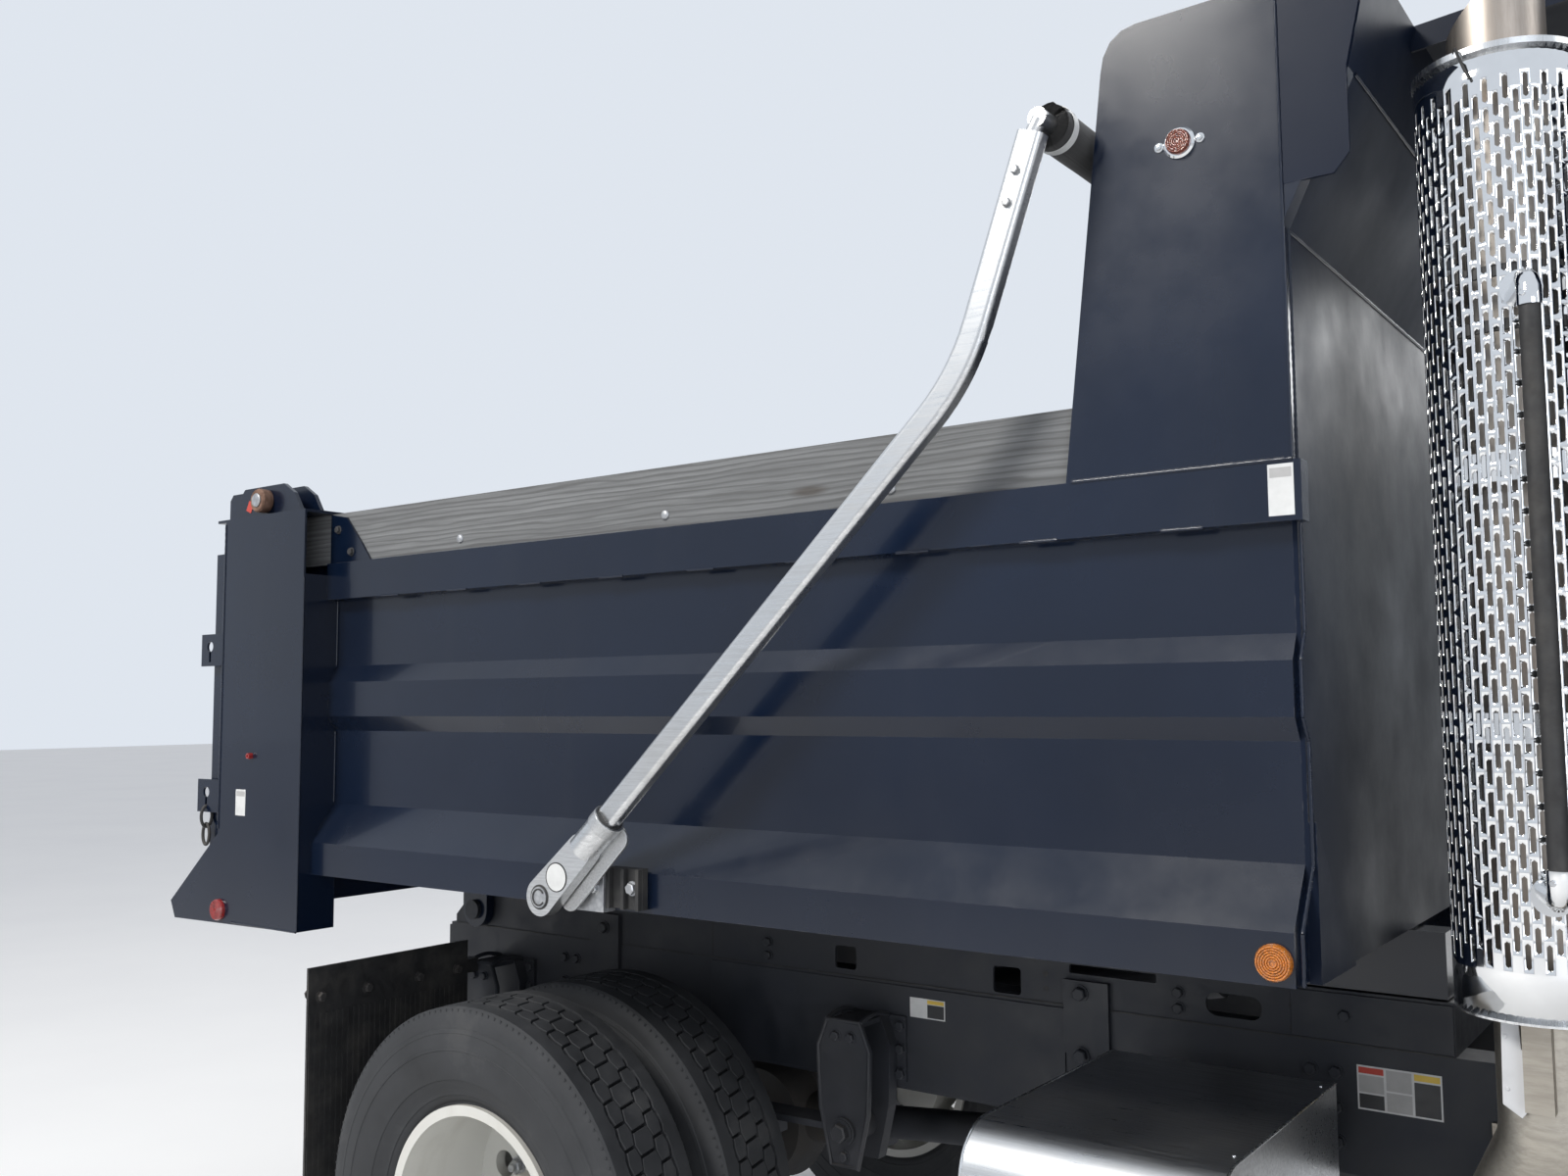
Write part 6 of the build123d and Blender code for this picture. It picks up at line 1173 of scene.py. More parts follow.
turns = CLOTH_LENGTH / (pi * (FIRST_RADIUS + LAST_RADIUS))
steps = int(turns * TURN_STEPS)
wound = Shape()
dice = Random(11)
slips = [SLIP * (dice.random() - 0.5) for _ in range(steps + 1)]
dents = [
    (dice.uniform(*DENT_PLACES), dice.uniform(*DENT_WIDTHS), dice.uniform(0, 2 * pi)) for _ in range(DENTS)
]
for i in range(steps + 1):
    share = i / steps
    angle = -2 * pi * turns * share + FIRST_TURN
    looser = LOOSENESS * max(0.0, share - LOOSE_FROM) / (1 - LOOSE_FROM)
    for j in range(ACROSS_STEPS + 1):
        across = -ROLL_HALF + 2 * ROLL_HALF * j / ACROSS_STEPS
        edge = max(0.0, abs(across) / ROLL_HALF - 0.9) * 10
        radius = FIRST_RADIUS + (LAST_RADIUS - FIRST_RADIUS) * share
        for middle, width, phase in dents:
            near = max(0.0, 1 - abs(across - middle) / width)
            radius -= DENT_DEPTH * share * near * (0.5 + 0.5 * cos(angle - phase))
        radius += looser * (0.6 + 0.4 * sin(9 * across))
        slip = slips[i // SLIP_STEPS * SLIP_STEPS]
        y = across * (1 - NARROWING * share) + slip * edge * share
        x = TARP_ROLL[0] + radius * cos(angle)
        z = TARP_ROLL[1] + radius * sin(angle)
        wound.verts.append(tuple(at(x, y, z)))
row = ACROSS_STEPS + 1
for i in range(steps):
    for j in range(ACROSS_STEPS):
        wound.faces.append((i * row + j, i * row + j + 1, (i + 1) * row + j + 1, (i + 1) * row + j))
tarp_cloth = make("wound_tarp", wound, "tarp", TARP_CLOTH, smooth=60)
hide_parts("tarp_roll")

bands = Shape()
for y in BAND_PLACES:
    bands.ring(at(TARP_ROLL[0], y, TARP_ROLL[1]), LEFTWARD, (-BAND_HALF, BAND_HALF), BAND_RADII, 48)
roll_bands = make("roll_bands", bands, "tarp", WHITE_LABEL)

# Frame: seams, doublers, bolts, and what holds the springs

RAIL_FACE = 0.432
SUBFRAME_FACE = 0.430
DOUBLER_FACE = 0.4365
TIE_FACE = 0.444
# Dark seams, and the plates that double the rail: spans ahead, across and up
FRAME_SEAMS = (
    ((-0.975, 1.998), (0.4318, 0.4328), (1.0635, 1.0665)),
    ((0.1030, 0.1055), (0.4300, 0.4306), (1.070, 1.166)),
)
DOUBLERS = (
    ((0.105, 1.168), (RAIL_FACE, DOUBLER_FACE), (0.812, 1.058)),
    ((1.685, 1.998), (SUBFRAME_FACE, 0.4345), (1.068, 1.164)),
)
HANGER_FACE = 0.572
HANGER_STATIONS = (0.640, -0.700)
HANGER_PIN = 0.722
HANGER_TOP = 0.985
# The hanger's outer cheek: ahead of its pin, and up
HANGER_CHEEK = (
    (-0.038, 0.638), (0.038, 0.638), (0.070, 0.770), (0.076, 0.920),
    (0.048, 0.985), (-0.048, 0.985), (-0.076, 0.920), (-0.070, 0.770),
)
RAIL_BOLTS = (-0.45, 1.745, 2.625, 4.975)
TIE_BOLTS = ((1.213, 0.959), (1.213, 1.098), (-0.300, 0.940), (-0.300, 1.110))
WEB_BOLTS = ((1.440, 1.125), (1.440, 1.091), (1.792, 1.120), (0.300, 1.125), (0.300, 1.090))
# Open holes in the web, each drawn as a black disc: painted shade in the holes
WEB_HOLES = ((1.120, 1.130), (1.120, 1.096), (1.686, 1.128), (1.686, 1.082))
# Grids of bolts round a station: steps ahead, heights
RAIL_GRID = ((-0.025, 0.025), (0.865, 0.935, 1.005))
HANGER_GRID = ((-0.086, 0.086), (0.845, 0.905, 0.962))
CHEEK_BOLTS = ((-0.022, 0.948), (0.022, 0.948), (0.0, 0.662))
PIN_FACE = 0.582
ARCH_SHIFTS = (-0.05, 0.05)
ARCH_RISE = 0.012
U_BOLT_SHIFTS = (-0.062, 0.062)
U_BOLT_SPAN = (0.472, 0.568)
U_BOLT_HEIGHT = (0.40, 0.748)
U_BOLT_RADIUS = 0.009
BRIDGE_HEIGHT = 0.744
CLAMP_PLATE = ((-0.085, 0.085), (0.455, 0.585), (0.402, 0.424))


def bolt_grid(station, shifts, heights):
    """Places in columns ahead and behind a station, at some heights."""
    return [(station + shift, z) for shift in shifts for z in heights]


for side, hand in SIDES:
    seams = Shape()
    seams.side_boxes(FRAME_SEAMS, side)
    # Black discs over the web's open holes: painted shade in the holes
    for hole in WEB_HOLES:
        seams.disc(beside(hole, SUBFRAME_FACE, side), (0, side, 0), 0.0065, 0.0005, steps=40)
    make(f"frame_seams_{hand}", seams, "chassis", RUBBER)

    doubler = Shape()
    doubler.side_boxes(DOUBLERS, side)
    make(f"frame_doubler_{hand}", doubler, "chassis", FRAME, bevel=0.001)

    bolts = Shape()
    for x in RAIL_BOLTS:
        bolts.side_bolts(bolt_grid(x, *RAIL_GRID), RAIL_FACE, side, 0.026)
    bolts.side_bolts(WEB_BOLTS, SUBFRAME_FACE, side, 0.024)
    bolts.side_bolts(TIE_BOLTS, TIE_FACE, side, 0.032)
    for x in HANGER_STATIONS:
        bolts.side_bolts(bolt_grid(x, *HANGER_GRID), TIE_FACE, side, 0.026)
        bolts.side_bolts([(x + dx, z) for dx, z in CHEEK_BOLTS], HANGER_FACE, side, 0.024)
        bolts.side_bolts([(x, HANGER_PIN)], PIN_FACE, side, 0.046)
    make(f"frame_bolts_{hand}", bolts, "chassis", FRAME, smooth=30)

    hardware = Shape()
    for x in HANGER_STATIONS:
        rim = [at(x + dx, side * (HANGER_FACE - 0.001), z) for dx, z in HANGER_CHEEK]
        hardware.tube(rim, 0.0065, 8, closed=True)
        for shift in ARCH_SHIFTS:
            arch = []
            for i in range(13):
                rise = ARCH_RISE * sin(pi * i / 12)
                arch.append(at(x + shift, side * (0.445 + 0.127 * i / 12), HANGER_TOP + rise))
            hardware.tube(arch, 0.006, 8)
    for dx in U_BOLT_SHIFTS:
        for y in U_BOLT_SPAN:
            hardware.tube([at(dx, side * y, z) for z in U_BOLT_HEIGHT], U_BOLT_RADIUS, 10)
        hardware.tube([at(dx, side * y, BRIDGE_HEIGHT) for y in U_BOLT_SPAN], U_BOLT_RADIUS, 10)
    hardware.side_boxes([CLAMP_PLATE], side)
    make(f"spring_hardware_{hand}", hardware, "chassis", FRAME, smooth=40)

# Blank labels on the right rail: a small one, and a large one in three panels

label("rail_notice", "chassis", (0.750, 0.850), (0.986, 1.034), DOUBLER_FACE, -1, NOTICE)
label("rail_panel", "chassis", (1.812, 1.972), (0.938, 1.026), RAIL_FACE, -1, THREE_PANELS)

# Battery box: rolled edges on its shell, rivets, and two latches on its outer face

BOX_SPAN = (1.352, 1.812)
BOX_OUTER = 1.255
BOX_INNER = 0.585
BOX_TOP = 1.020
BOX_BOTTOM = 0.620
BOX_ROUND = 0.095
BOX_RIVETS = (-0.62, -1.12)
BOX_RIVET = ((-HIDE, 0.0040), (0.0015, 0.0035), (0.0022, 0.002))
LATCH_PLACES = (1.46, 1.70)
LATCH_HEIGHT = (0.700, 0.860)
CATCH_HEIGHT = (0.690, 0.720)
LATCH_LEVER = ((-1.263, 0.715), (-1.270, 0.760), (-1.270, 0.800), (-1.262, 0.845))


def box_profile(grow):
    """The shell's outline in (across, up), from its inner top edge over its round to the bottom."""
    middle = (-BOX_OUTER + BOX_ROUND, BOX_TOP - BOX_ROUND)
    corner = list(arc(middle, BOX_ROUND + grow, 90, 180, 12))
    edge = -BOX_OUTER - grow
    return [(-BOX_INNER, BOX_TOP + grow), (-0.9, BOX_TOP + grow), *corner, (edge, 0.8), (edge, BOX_BOTTOM)]


box_edges = Shape()
for x in (BOX_SPAN[0] + 0.001, BOX_SPAN[1] - 0.001):
    box_edges.tube([at(x, y, z) for y, z in box_profile(0.0006)], 0.0026, 8)
box_edges.tube([at(x, -BOX_OUTER, BOX_BOTTOM + 0.012) for x in BOX_SPAN], 0.003, 8)
for y in BOX_RIVETS:
    box_edges.turn(at(BOX_SPAN[1] - 0.018, y, BOX_TOP), UPWARD, BOX_RIVET, 12)
make("battery_box_edges", box_edges, "chassis", POLISHED, smooth=40)

latches = Shape()
for x in LATCH_PLACES:
    latches.box((x - 0.016, x + 0.016), (-BOX_OUTER, -BOX_OUTER - 0.005), LATCH_HEIGHT)
    latches.tube([at(x, y, z) for y, z in LATCH_LEVER], 0.005, 8)
    latches.box((x - 0.011, x + 0.011), (-BOX_OUTER - 0.005, -BOX_OUTER - 0.014), CATCH_HEIGHT)
make("battery_box_latches", latches, "chassis", RUBBER, bevel=0.001)

# Exhaust can: end caps and straps, and the riser's bracket

CAN_CENTRE = (-0.800, 0.660)
CAN_CAP = ((-0.020, 0.1715), (-0.002, 0.1722), (0.004, 0.1700), (0.004, 0.158), (0.0015, 0.150))
# Each end of the can: place ahead, and the way it faces
CAN_ENDS = ((1.950, REARWARD), (2.950, FORWARD))
CAN_STRAPS = (2.06, 2.78)
STRAP_HALF = 0.022
STRAP_RADII = (0.1701, 0.1735)
LUG_HALF = 0.018
LUG_FACE = -0.992
RISER_FACE = -1.0595
RISER_RIVETS = (1.256, 1.178)
RISER_BRACKET = (
    (2.1900, 1.2795), (2.2145, 1.2795), (2.2165, 1.2400), (2.2330, 1.2130),
    (2.2330, 1.1625), (2.2135, 1.1365), (2.1875, 1.1540),
)

can = Shape()
for x, direction in CAN_ENDS:
    can.turn(at(x, *CAN_CENTRE), direction, CAN_CAP, 56)
for x in CAN_STRAPS:
    can.ring(at(x, *CAN_CENTRE), FORWARD, (-STRAP_HALF, STRAP_HALF), STRAP_RADII, 56)
    can.box((x - LUG_HALF, x + LUG_HALF), (LUG_FACE, -0.968), (0.640, 0.680))
    can.bolt(at(x, LUG_FACE, CAN_CENTRE[1]), RIGHTWARD, 0.022)
make("exhaust_can_bands", can, "chassis", CAN, smooth=35)

riser = Shape()
riser.prism(RISER_BRACKET, (RISER_FACE, -1.0540))
for z in RISER_RIVETS:
    riser.disc(at(2.1955, RISER_FACE, z), RIGHTWARD, 0.0035, 0.0015, top=0.003, steps=12)
make("riser_bracket", riser, "chassis", PLATE_PAINT, bevel=0.001)

# Fuel tank: strap bolts, filler cap and rims, and the treads' grip strips

TANK_CENTRE = (0.820, 0.700)
TANK_STRAPS = (2.425, 2.925, 3.425)
STRAP_RADIUS = 0.2895
STRAP_BOLT_TURNS = (28, 152)
NECK_PLACE = (2.62, 62)
NECK_RADIUS = 0.283
FILLER_CAP = ((-HIDE, 0.060), (0.012, 0.056), (0.014, 0.052), (0.040, 0.052), (0.046, 0.046))
CAP_RIBS = 14
TANK_RIM = ((-0.002, 0.262), (-0.002, 0.270), (0.003, 0.268), (0.003, 0.262))
TANK_ENDS = ((2.250, REARWARD), (3.550, FORWARD))


def on_tank(x, radius, angle):
    """A place on the tank at an angle in degrees, and the way out from the tank's axis there."""
    turn = radians(angle)
    foot = at(x, TANK_CENTRE[0] + radius * cos(turn), TANK_CENTRE[1] + radius * sin(turn))
    return foot, Vector((0, cos(turn), sin(turn)))


tank = Shape()
for x in TANK_STRAPS:
    for angle in STRAP_BOLT_TURNS:
        tank.bolt(*on_tank(x, STRAP_RADIUS, angle), 0.024)
neck, outward = on_tank(NECK_PLACE[0], NECK_RADIUS, NECK_PLACE[1])
tank.turn(neck, outward, FILLER_CAP, 40)
ahead = Vector(FORWARD)
for i in range(CAP_RIBS):
    spoke = 2 * pi * i / CAP_RIBS
    along = ahead * cos(spoke) + outward.cross(ahead) * sin(spoke)
    foot = neck + outward * 0.018 + along * 0.0515
    tank.tube((foot, foot + outward * 0.020), 0.0035, 6)
for x, direction in TANK_ENDS:
    tank.turn(at(x, *TANK_CENTRE), direction, TANK_RIM, 64, closed=True)
make("fuel_tank_fittings", tank, "chassis", POLISHED, smooth=35)

TANK_TREADS = (0.525, 0.925)
GRIP_HALF = 0.009
GRIP_RADII = (0.0012, 0.0026, 0.0012)


def grip_strip(shape, x_span, y_span, z, columns, rows):
    """Raised oval grips on a flat tread, tilted one way and the other by turns."""
    for i in range(columns):
        for j in range(rows):
            x = x_span[0] + (x_span[1] - x_span[0]) * (i + 0.5) / columns
            y = y_span[0] + (y_span[1] - y_span[0]) * (j + 0.5) / rows
            tilt = 1 if (i + j) % 2 else -1
            low = at(x - GRIP_HALF, y - tilt * GRIP_HALF, z + 0.0005)
            high = at(x + GRIP_HALF, y + tilt * GRIP_HALF, z + 0.0005)
            crest = low.lerp(high, 0.5) + Vector((0, 0, 0.0016))
            shape.tube((low, crest, high), GRIP_RADII, 6)


grips = Shape()
for z in TANK_TREADS:
    grip_strip(grips, (2.99, 3.51), (1.085, 1.148), z, 20, 2)
make("tank_tread_grips", grips, "chassis", POLISHED, smooth=50)

# Cab steps: grips on both treads and the top, a bar on each tread's edge, and rivets

STEP_TREADS = (0.455, 0.7275)
STEP_FACE = -1.150
STEP_RIVETS = (3.032, 3.588)
STEP_RIVET_HEIGHTS = (0.450, 0.714, 0.980)

step_grips = Shape()
for z in STEP_TREADS:
    grip_strip(step_grips, (3.05, 3.57), (-1.140, -0.985), z, 20, 4)
grip_strip(step_grips, (3.03, 3.59), (-1.142, -1.070), 1.000, 22, 2)
for z in STEP_TREADS:
    step_grips.tube((at(3.045, -1.149, z), at(3.575, -1.149, z)), 0.004, 8)
for x in STEP_RIVETS:
    for z in STEP_RIVET_HEIGHTS:
        step_grips.disc(at(x, STEP_FACE, z), RIGHTWARD, 0.005, 0.002, top=0.004, steps=12)
make("cab_step_grips", step_grips, "chassis", POLISHED, smooth=50)

# Cab glass: rubber seals round each pane, and two wipers on the windscreen

SCREEN_MIDDLE = (3.760, 2.275)
SCREEN_LEAN = atan2(0.32, 0.69)
SCREEN_SIZE = (0.920, 0.3103)
REAR_PANE = (0.560, 1.960, 2.400)
PANE_CORNER = 0.060
SCREEN_FACES = (0.001, -0.050)
REAR_PANE_FACES = (2.519, 2.571)
SEAL_RADIUS = 0.010
WIPER_PIVOTS = (0.700, -0.100)
WIPER_FOOT = -0.352
WIPER_BOSS = ((-HIDE, 0.017), (0.016, 0.015), (0.022, 0.009))
BLADE_LINE = -0.268


def on_screen(left, up, out=0.0):
    """A place on the windscreen's outer face."""
    x = SCREEN_MIDDLE[0] - up * sin(SCREEN_LEAN) + out * cos(SCREEN_LEAN)
    z = SCREEN_MIDDLE[1] + up * cos(SCREEN_LEAN) + out * sin(SCREEN_LEAN)
    return at(x, left, z)


def rounded_outline(corners, radius, steps=6):
    """The line through some corners, each rounded off."""
    points = []
    count = len(corners)
    for i, corner in enumerate(corners):
        corner = Vector(corner)
        before = Vector(corners[i - 1]) - corner
        after = Vector(corners[(i + 1) % count]) - corner
        reach = radius / tan(before.angle(after) / 2)
        first = corner + before.normalized() * reach
        last = corner + after.normalized() * reach
        for k in range(steps + 1):
            share = k / steps
            points.append(first.lerp(corner, share).lerp(corner.lerp(last, share), share))
    return points


def rectangle(half_width, low, high, radius, middle=0.0):
    """A rounded rectangle's outline about an upright line."""
    corners = ((-half_width, low), (half_width, low), (half_width, high), (-half_width, high))
    return [(middle + left, up) for left, up in rounded_outline(corners, radius)]


seals = Shape()
for out in SCREEN_FACES:
    outline = rectangle(SCREEN_SIZE[0], -SCREEN_SIZE[1], SCREEN_SIZE[1], PANE_CORNER)
    seals.tube([on_screen(left, up, out) for left, up in outline], SEAL_RADIUS, 10, closed=True)
for x in REAR_PANE_FACES:
    outline = rectangle(*REAR_PANE, PANE_CORNER)
    seals.tube([at(x, left, up) for left, up in outline], SEAL_RADIUS, 10, closed=True)
make("cab_window_seals", seals, "chassis", RUBBER, smooth=60)

screen_out = on_screen(0, 0, 1) - on_screen(0, 0, 0)
wipers = Shape()
for pivot in WIPER_PIVOTS:
    wipers.turn(on_screen(pivot, WIPER_FOOT), screen_out, WIPER_BOSS, 20)
    knuckle = on_screen(pivot, WIPER_FOOT, 0.018)
    elbow = on_screen(pivot - 0.09, -0.335, 0.030)
    tip = on_screen(pivot - 0.34, BLADE_LINE, 0.024)
    wipers.tube((knuckle, elbow, tip), (0.010, 0.007, 0.005), 8)
    bow = (on_screen(pivot - 0.10, BLADE_LINE, 0.016), tip, on_screen(pivot - 0.58, BLADE_LINE, 0.016))
    wipers.tube(bow, 0.0045, 8)
    wipers.tube([on_screen(pivot - reach, BLADE_LINE, 0.006) for reach in (0.06, 0.62)], 0.0055, 6)
make("wipers", wipers, "chassis", RUBBER, smooth=40)

# Roof lamps: five small amber lamps on rubber feet

ROOF_LAMPS = (0.0, 0.17, -0.17, 0.80, -0.80)
ROOF_PLACE = (3.510, 2.690)
ROOF_NORMAL = (0.3162, 0, 0.9487)


def dome(base, height, radius, angles):
    """The outline of a domed lens, from its rim to its middle."""
    return [(base + height * sin(radians(a)), radius * cos(radians(a))) for a in angles]


roof_feet = Shape()
roof_lenses = Shape()
roof_dome = dome(0.007, 0.030, 0.045, (0, 15, 30, 45, 60, 75, 89))
for left in ROOF_LAMPS:
    foot = at(ROOF_PLACE[0], left, ROOF_PLACE[1])
    roof_feet.turn(foot, ROOF_NORMAL, ((-0.004, 0.052), (0.006, 0.052), (0.009, 0.048)), 32)
    roof_lenses.turn(foot, ROOF_NORMAL, roof_dome, 32)
make("roof_lamp_feet", roof_feet, "chassis", RUBBER, smooth=40)
make("roof_lamp_lenses", roof_lenses, "chassis", AMBER, smooth=60)

# Doors: seals, an inner panel, handles, a grab bar behind each, and the mirrors' shells and glass

DOOR_WINDOW = ((2.985, 1.880), (3.735, 1.880), (3.735, 1.930), (3.473, 2.495), (2.985, 2.495))
DOOR_FACE = 1.050
DOOR_FACES = (1.0505, 0.9995)
DOOR_CORNER = 0.030
DOOR_SEAL = 0.008
# The inner panel, its arm rest and its pocket: spans ahead, across and up
DOOR_PANELS = (
    ((2.960, 3.745), (0.988, 0.9995), (1.225, 1.855)),
    ((3.080, 3.460), (0.950, 0.990), (1.610, 1.650)),
    ((3.000, 3.560), (0.972, 0.990), (1.270, 1.390)),
)
# The handle's plate and its pull
DOOR_HANDLE = (
    ((2.970, 3.150), (1.0495, 1.054), (1.672, 1.762)),
    ((2.981, 3.139), (1.052, 1.084), (1.696, 1.739)),
)
LOCK_PLACE = (3.128, 1.683)
LOCK_FACE = 1.054
LOCK = ((-HIDE, 0.0085), (0.003, 0.0085), (0.004, 0.006))
BAR_X = 2.868
BAR_RADIUS = 0.0135
BAR_ENDS = (1.440, 2.050)
GRAB_BAR = ((1.049, 1.440), (1.085, 1.446), (1.100, 1.470), (1.100, 2.020), (1.085, 2.044), (1.049, 2.050))
MIRROR_SHELL = ((3.585, 3.685), (1.195, 1.425), (1.755, 2.335))
MIRROR_ARM_X = 3.620
MIRROR_ARMS = (1.850, 2.240)
MIRROR_ARM_SPAN = (1.051, 1.198)
MIRROR_ARM_RADIUS = 0.0145
MIRROR_MIDDLE = 1.310
MIRROR_HALF = 0.101
MIRROR_CORNER = 0.020
# The mirrors' two glasses: bottom, top
MIRROR_PANES = ((1.912, 2.318), (1.772, 1.896))


for side, hand in SIDES:
    door = f"door_{hand}"
    outward = (0, side, 0)
    trim = Shape()
    for face in DOOR_FACES:
        outline = rounded_outline(DOOR_WINDOW, DOOR_CORNER)
        trim.tube([at(x, side * face, z) for x, z in outline], DOOR_SEAL, 10, closed=True)
    trim.tube((at(2.99, side * 1.052, 1.872), at(3.73, side * 1.052, 1.872)), 0.006, 8)
    make(f"door_seals_{hand}", trim, door, RUBBER, smooth=60)

    panel = Shape()
    panel.side_boxes(DOOR_PANELS, side)
    make(f"door_panel_{hand}", panel, door, TRIM, bevel=0.008, segments=3)
    handle = Shape()
    handle.side_boxes(DOOR_HANDLE, side)
    make(f"door_handle_{hand}", handle, door, CHROME, bevel=0.004, segments=3)
    lock = Shape()
    lock.turn(beside(LOCK_PLACE, LOCK_FACE, side), outward, LOCK, 20)
    make(f"door_lock_{hand}", lock, door, RUBBER)

    grab = Shape()
    grab.tube([at(BAR_X, side * y, z) for y, z in GRAB_BAR], BAR_RADIUS, 14)
    for z in BAR_ENDS:
        grab.disc(at(BAR_X, side * DOOR_FACE, z), outward, 0.028, 0.005, top=0.026, steps=24)
    make(f"cab_grab_bar_{hand}", grab, "chassis", CHROME, smooth=50)

    shell = Shape()
    shell.side_boxes([MIRROR_SHELL], side)
    for z in MIRROR_ARMS:
        shell.tube([at(MIRROR_ARM_X, side * y, z) for y in MIRROR_ARM_SPAN], MIRROR_ARM_RADIUS, 14)
        shell.disc(at(MIRROR_ARM_X, side * DOOR_FACE, z), outward, 0.030, 0.008, top=0.028, steps=24)
    make(f"mirror_shell_{hand}", shell, door, TRIM, bevel=0.009, segments=3)
    glass = Shape()
    rims = Shape()
    for low, high in MIRROR_PANES:
        outline = rectangle(MIRROR_HALF, low, high, MIRROR_CORNER, side * MIRROR_MIDDLE)
        glass.prism(outline, (3.582, 3.586), axis="x")
        rims.tube([at(3.5835, left, up) for left, up in outline], 0.0032, 8, closed=True)
    make(f"mirror_glass_{hand}", glass, door, MIRROR)
    make(f"mirror_rims_{hand}", rims, door, CHROME, smooth=60)

# Hood: a mesh behind the grille's bars, louvres and latches on its sides, and signal lamps

# The nose's side: how far it is from the middle at its rear and at its front
NOSE_SIDE = ((3.940, 0.780), (5.220, 0.560))
LOUVRES = 6
LOUVRE_FOOT = 1.440
LOUVRE_STEP = 0.040
LOUVRE_SPAN = (4.160, 4.520)
LOUVRE_DEPTH = (-0.002, 0.014)
# The frame round the louvres: its level bars' span and heights, its uprights' places and height
FRAME_SPAN = (4.140, 4.540)
FRAME_BARS = ((1.418, 1.430), (1.676, 1.688))
FRAME_POSTS = ((4.140, 4.152), (4.528, 4.540))
FRAME_HEIGHT = (1.418, 1.688)
FRAME_DEPTH = (-0.002, 0.012)
# The latch's foot and its strap: spans ahead and up, and how far out
HOOD_LATCH = (
    ((3.962, 4.002), (1.400, 1.520), (-0.002, 0.010)),
    ((3.972, 3.992), (1.360, 1.480), (0.010, 0.026)),
)
SIGNAL_PLACE = (5.060, 1.040)
SIGNAL_FACE = 1.200
SIGNAL_RIM = ((-HIDE, 0.044), (-HIDE, 0.054), (0.004, 0.053), (0.005, 0.046))
UPRIGHT_WIRES = 56
LEVEL_WIRES = 36
WIRE_RADIUS = 0.0014


def nose_bar(shape, x_span, z_span, side, out_span, lean=0.0):
    """A bar that lies along the nose's side. Its outer face may lean down."""
    (rear, rear_half), (front, front_half) = NOSE_SIDE
    corners = []
    for x in x_span:
        half = rear_half + (front_half - rear_half) * (x - rear) / (front - rear)
        for out in out_span:
            drop = lean if out == out_span[1] else 0.0
            corners += [at(x, side * (half + out), z - drop) for z in z_span]
    faces = BOX_FACES
    if side < 0:
        faces = [tuple(reversed(face)) for face in faces]
    shape.add(corners, faces)


for side, hand in SIDES:
    louvres = Shape()
    for i in range(LOUVRES):
        low = LOUVRE_FOOT + LOUVRE_STEP * i
        nose_bar(louvres, LOUVRE_SPAN, (low, low + 0.020), side, LOUVRE_DEPTH, lean=0.012)
    for z_span in FRAME_BARS:
        nose_bar(louvres, FRAME_SPAN, z_span, side, FRAME_DEPTH)
    for x_span in FRAME_POSTS:
        nose_bar(louvres, x_span, FRAME_HEIGHT, side, FRAME_DEPTH)
    make(f"hood_louvres_{hand}", louvres, "hood", CAB_NAVY, bevel=0.002)

    latch = Shape()
    for x_span, z_span, out_span in HOOD_LATCH:
        nose_bar(latch, x_span, z_span, side, out_span)
    make(f"hood_latch_{hand}", latch, "hood", RUBBER, bevel=0.004)

    signal = Shape()
    signal_dome = dome(0.0, 0.014, 0.046, (0, 20, 40, 60, 80, 89))
    signal.turn(beside(SIGNAL_PLACE, SIGNAL_FACE + 0.0005, side), (0, side, 0), signal_dome, 32)
    make(f"side_signal_{hand}", signal, "hood", AMBER, smooth=60)
    signal_rim = Shape()
    signal_rim.turn(beside(SIGNAL_PLACE, SIGNAL_FACE, side), (0, side, 0), SIGNAL_RIM, 32, closed=True)
    make(f"side_signal_rim_{hand}", signal_rim, "hood", RUBBER, smooth=50)

grille_mesh = Shape()
for i in range(UPRIGHT_WIRES):
    y = -0.388 + 0.776 * i / (UPRIGHT_WIRES - 1)
    grille_mesh.tube((at(5.203, y, 0.967), at(5.203, y, 1.463)), WIRE_RADIUS, 5)
for i in range(LEVEL_WIRES):
    z = 0.972 + 0.486 * i / (LEVEL_WIRES - 1)
    grille_mesh.tube((at(5.2055, -0.392, z), at(5.2055, 0.392, z)), WIRE_RADIUS, 5)
make("grille_mesh", grille_mesh, "hood", RUBBER, smooth=60)

# Headlamps: a bezel, two reflector bowls with bulbs, and a fluted glass in front

LAMP_FRONT = 5.250
LAMP_BACK = 5.221
LAMP_MIDDLE = 0.860
LAMP_RIM = LAMP_FRONT - 0.006
# Rounded rectangles: half width, bottom, top, corner
LAMP_OUTLINE = (0.156, 0.934, 1.106, 0.034)
LAMP_BACKING = (0.158, 0.932, 1.108, 0.034)
BOWL_SHIFTS = (-0.074, 0.074)
BOWL_HEIGHT = 1.020
BOWL = (
    (0.001, 0.010), (0.003, 0.030), (0.008, 0.048), (0.016, 0.062),
    (0.021, 0.067), (0.021, 0.071), (0.0, 0.071),
)
BULB = ((0.0, 0.009), (0.012, 0.009), (0.017, 0.005), (0.018, 0.0005))
FLUTES = 23
FLUTE_STEP = 0.012

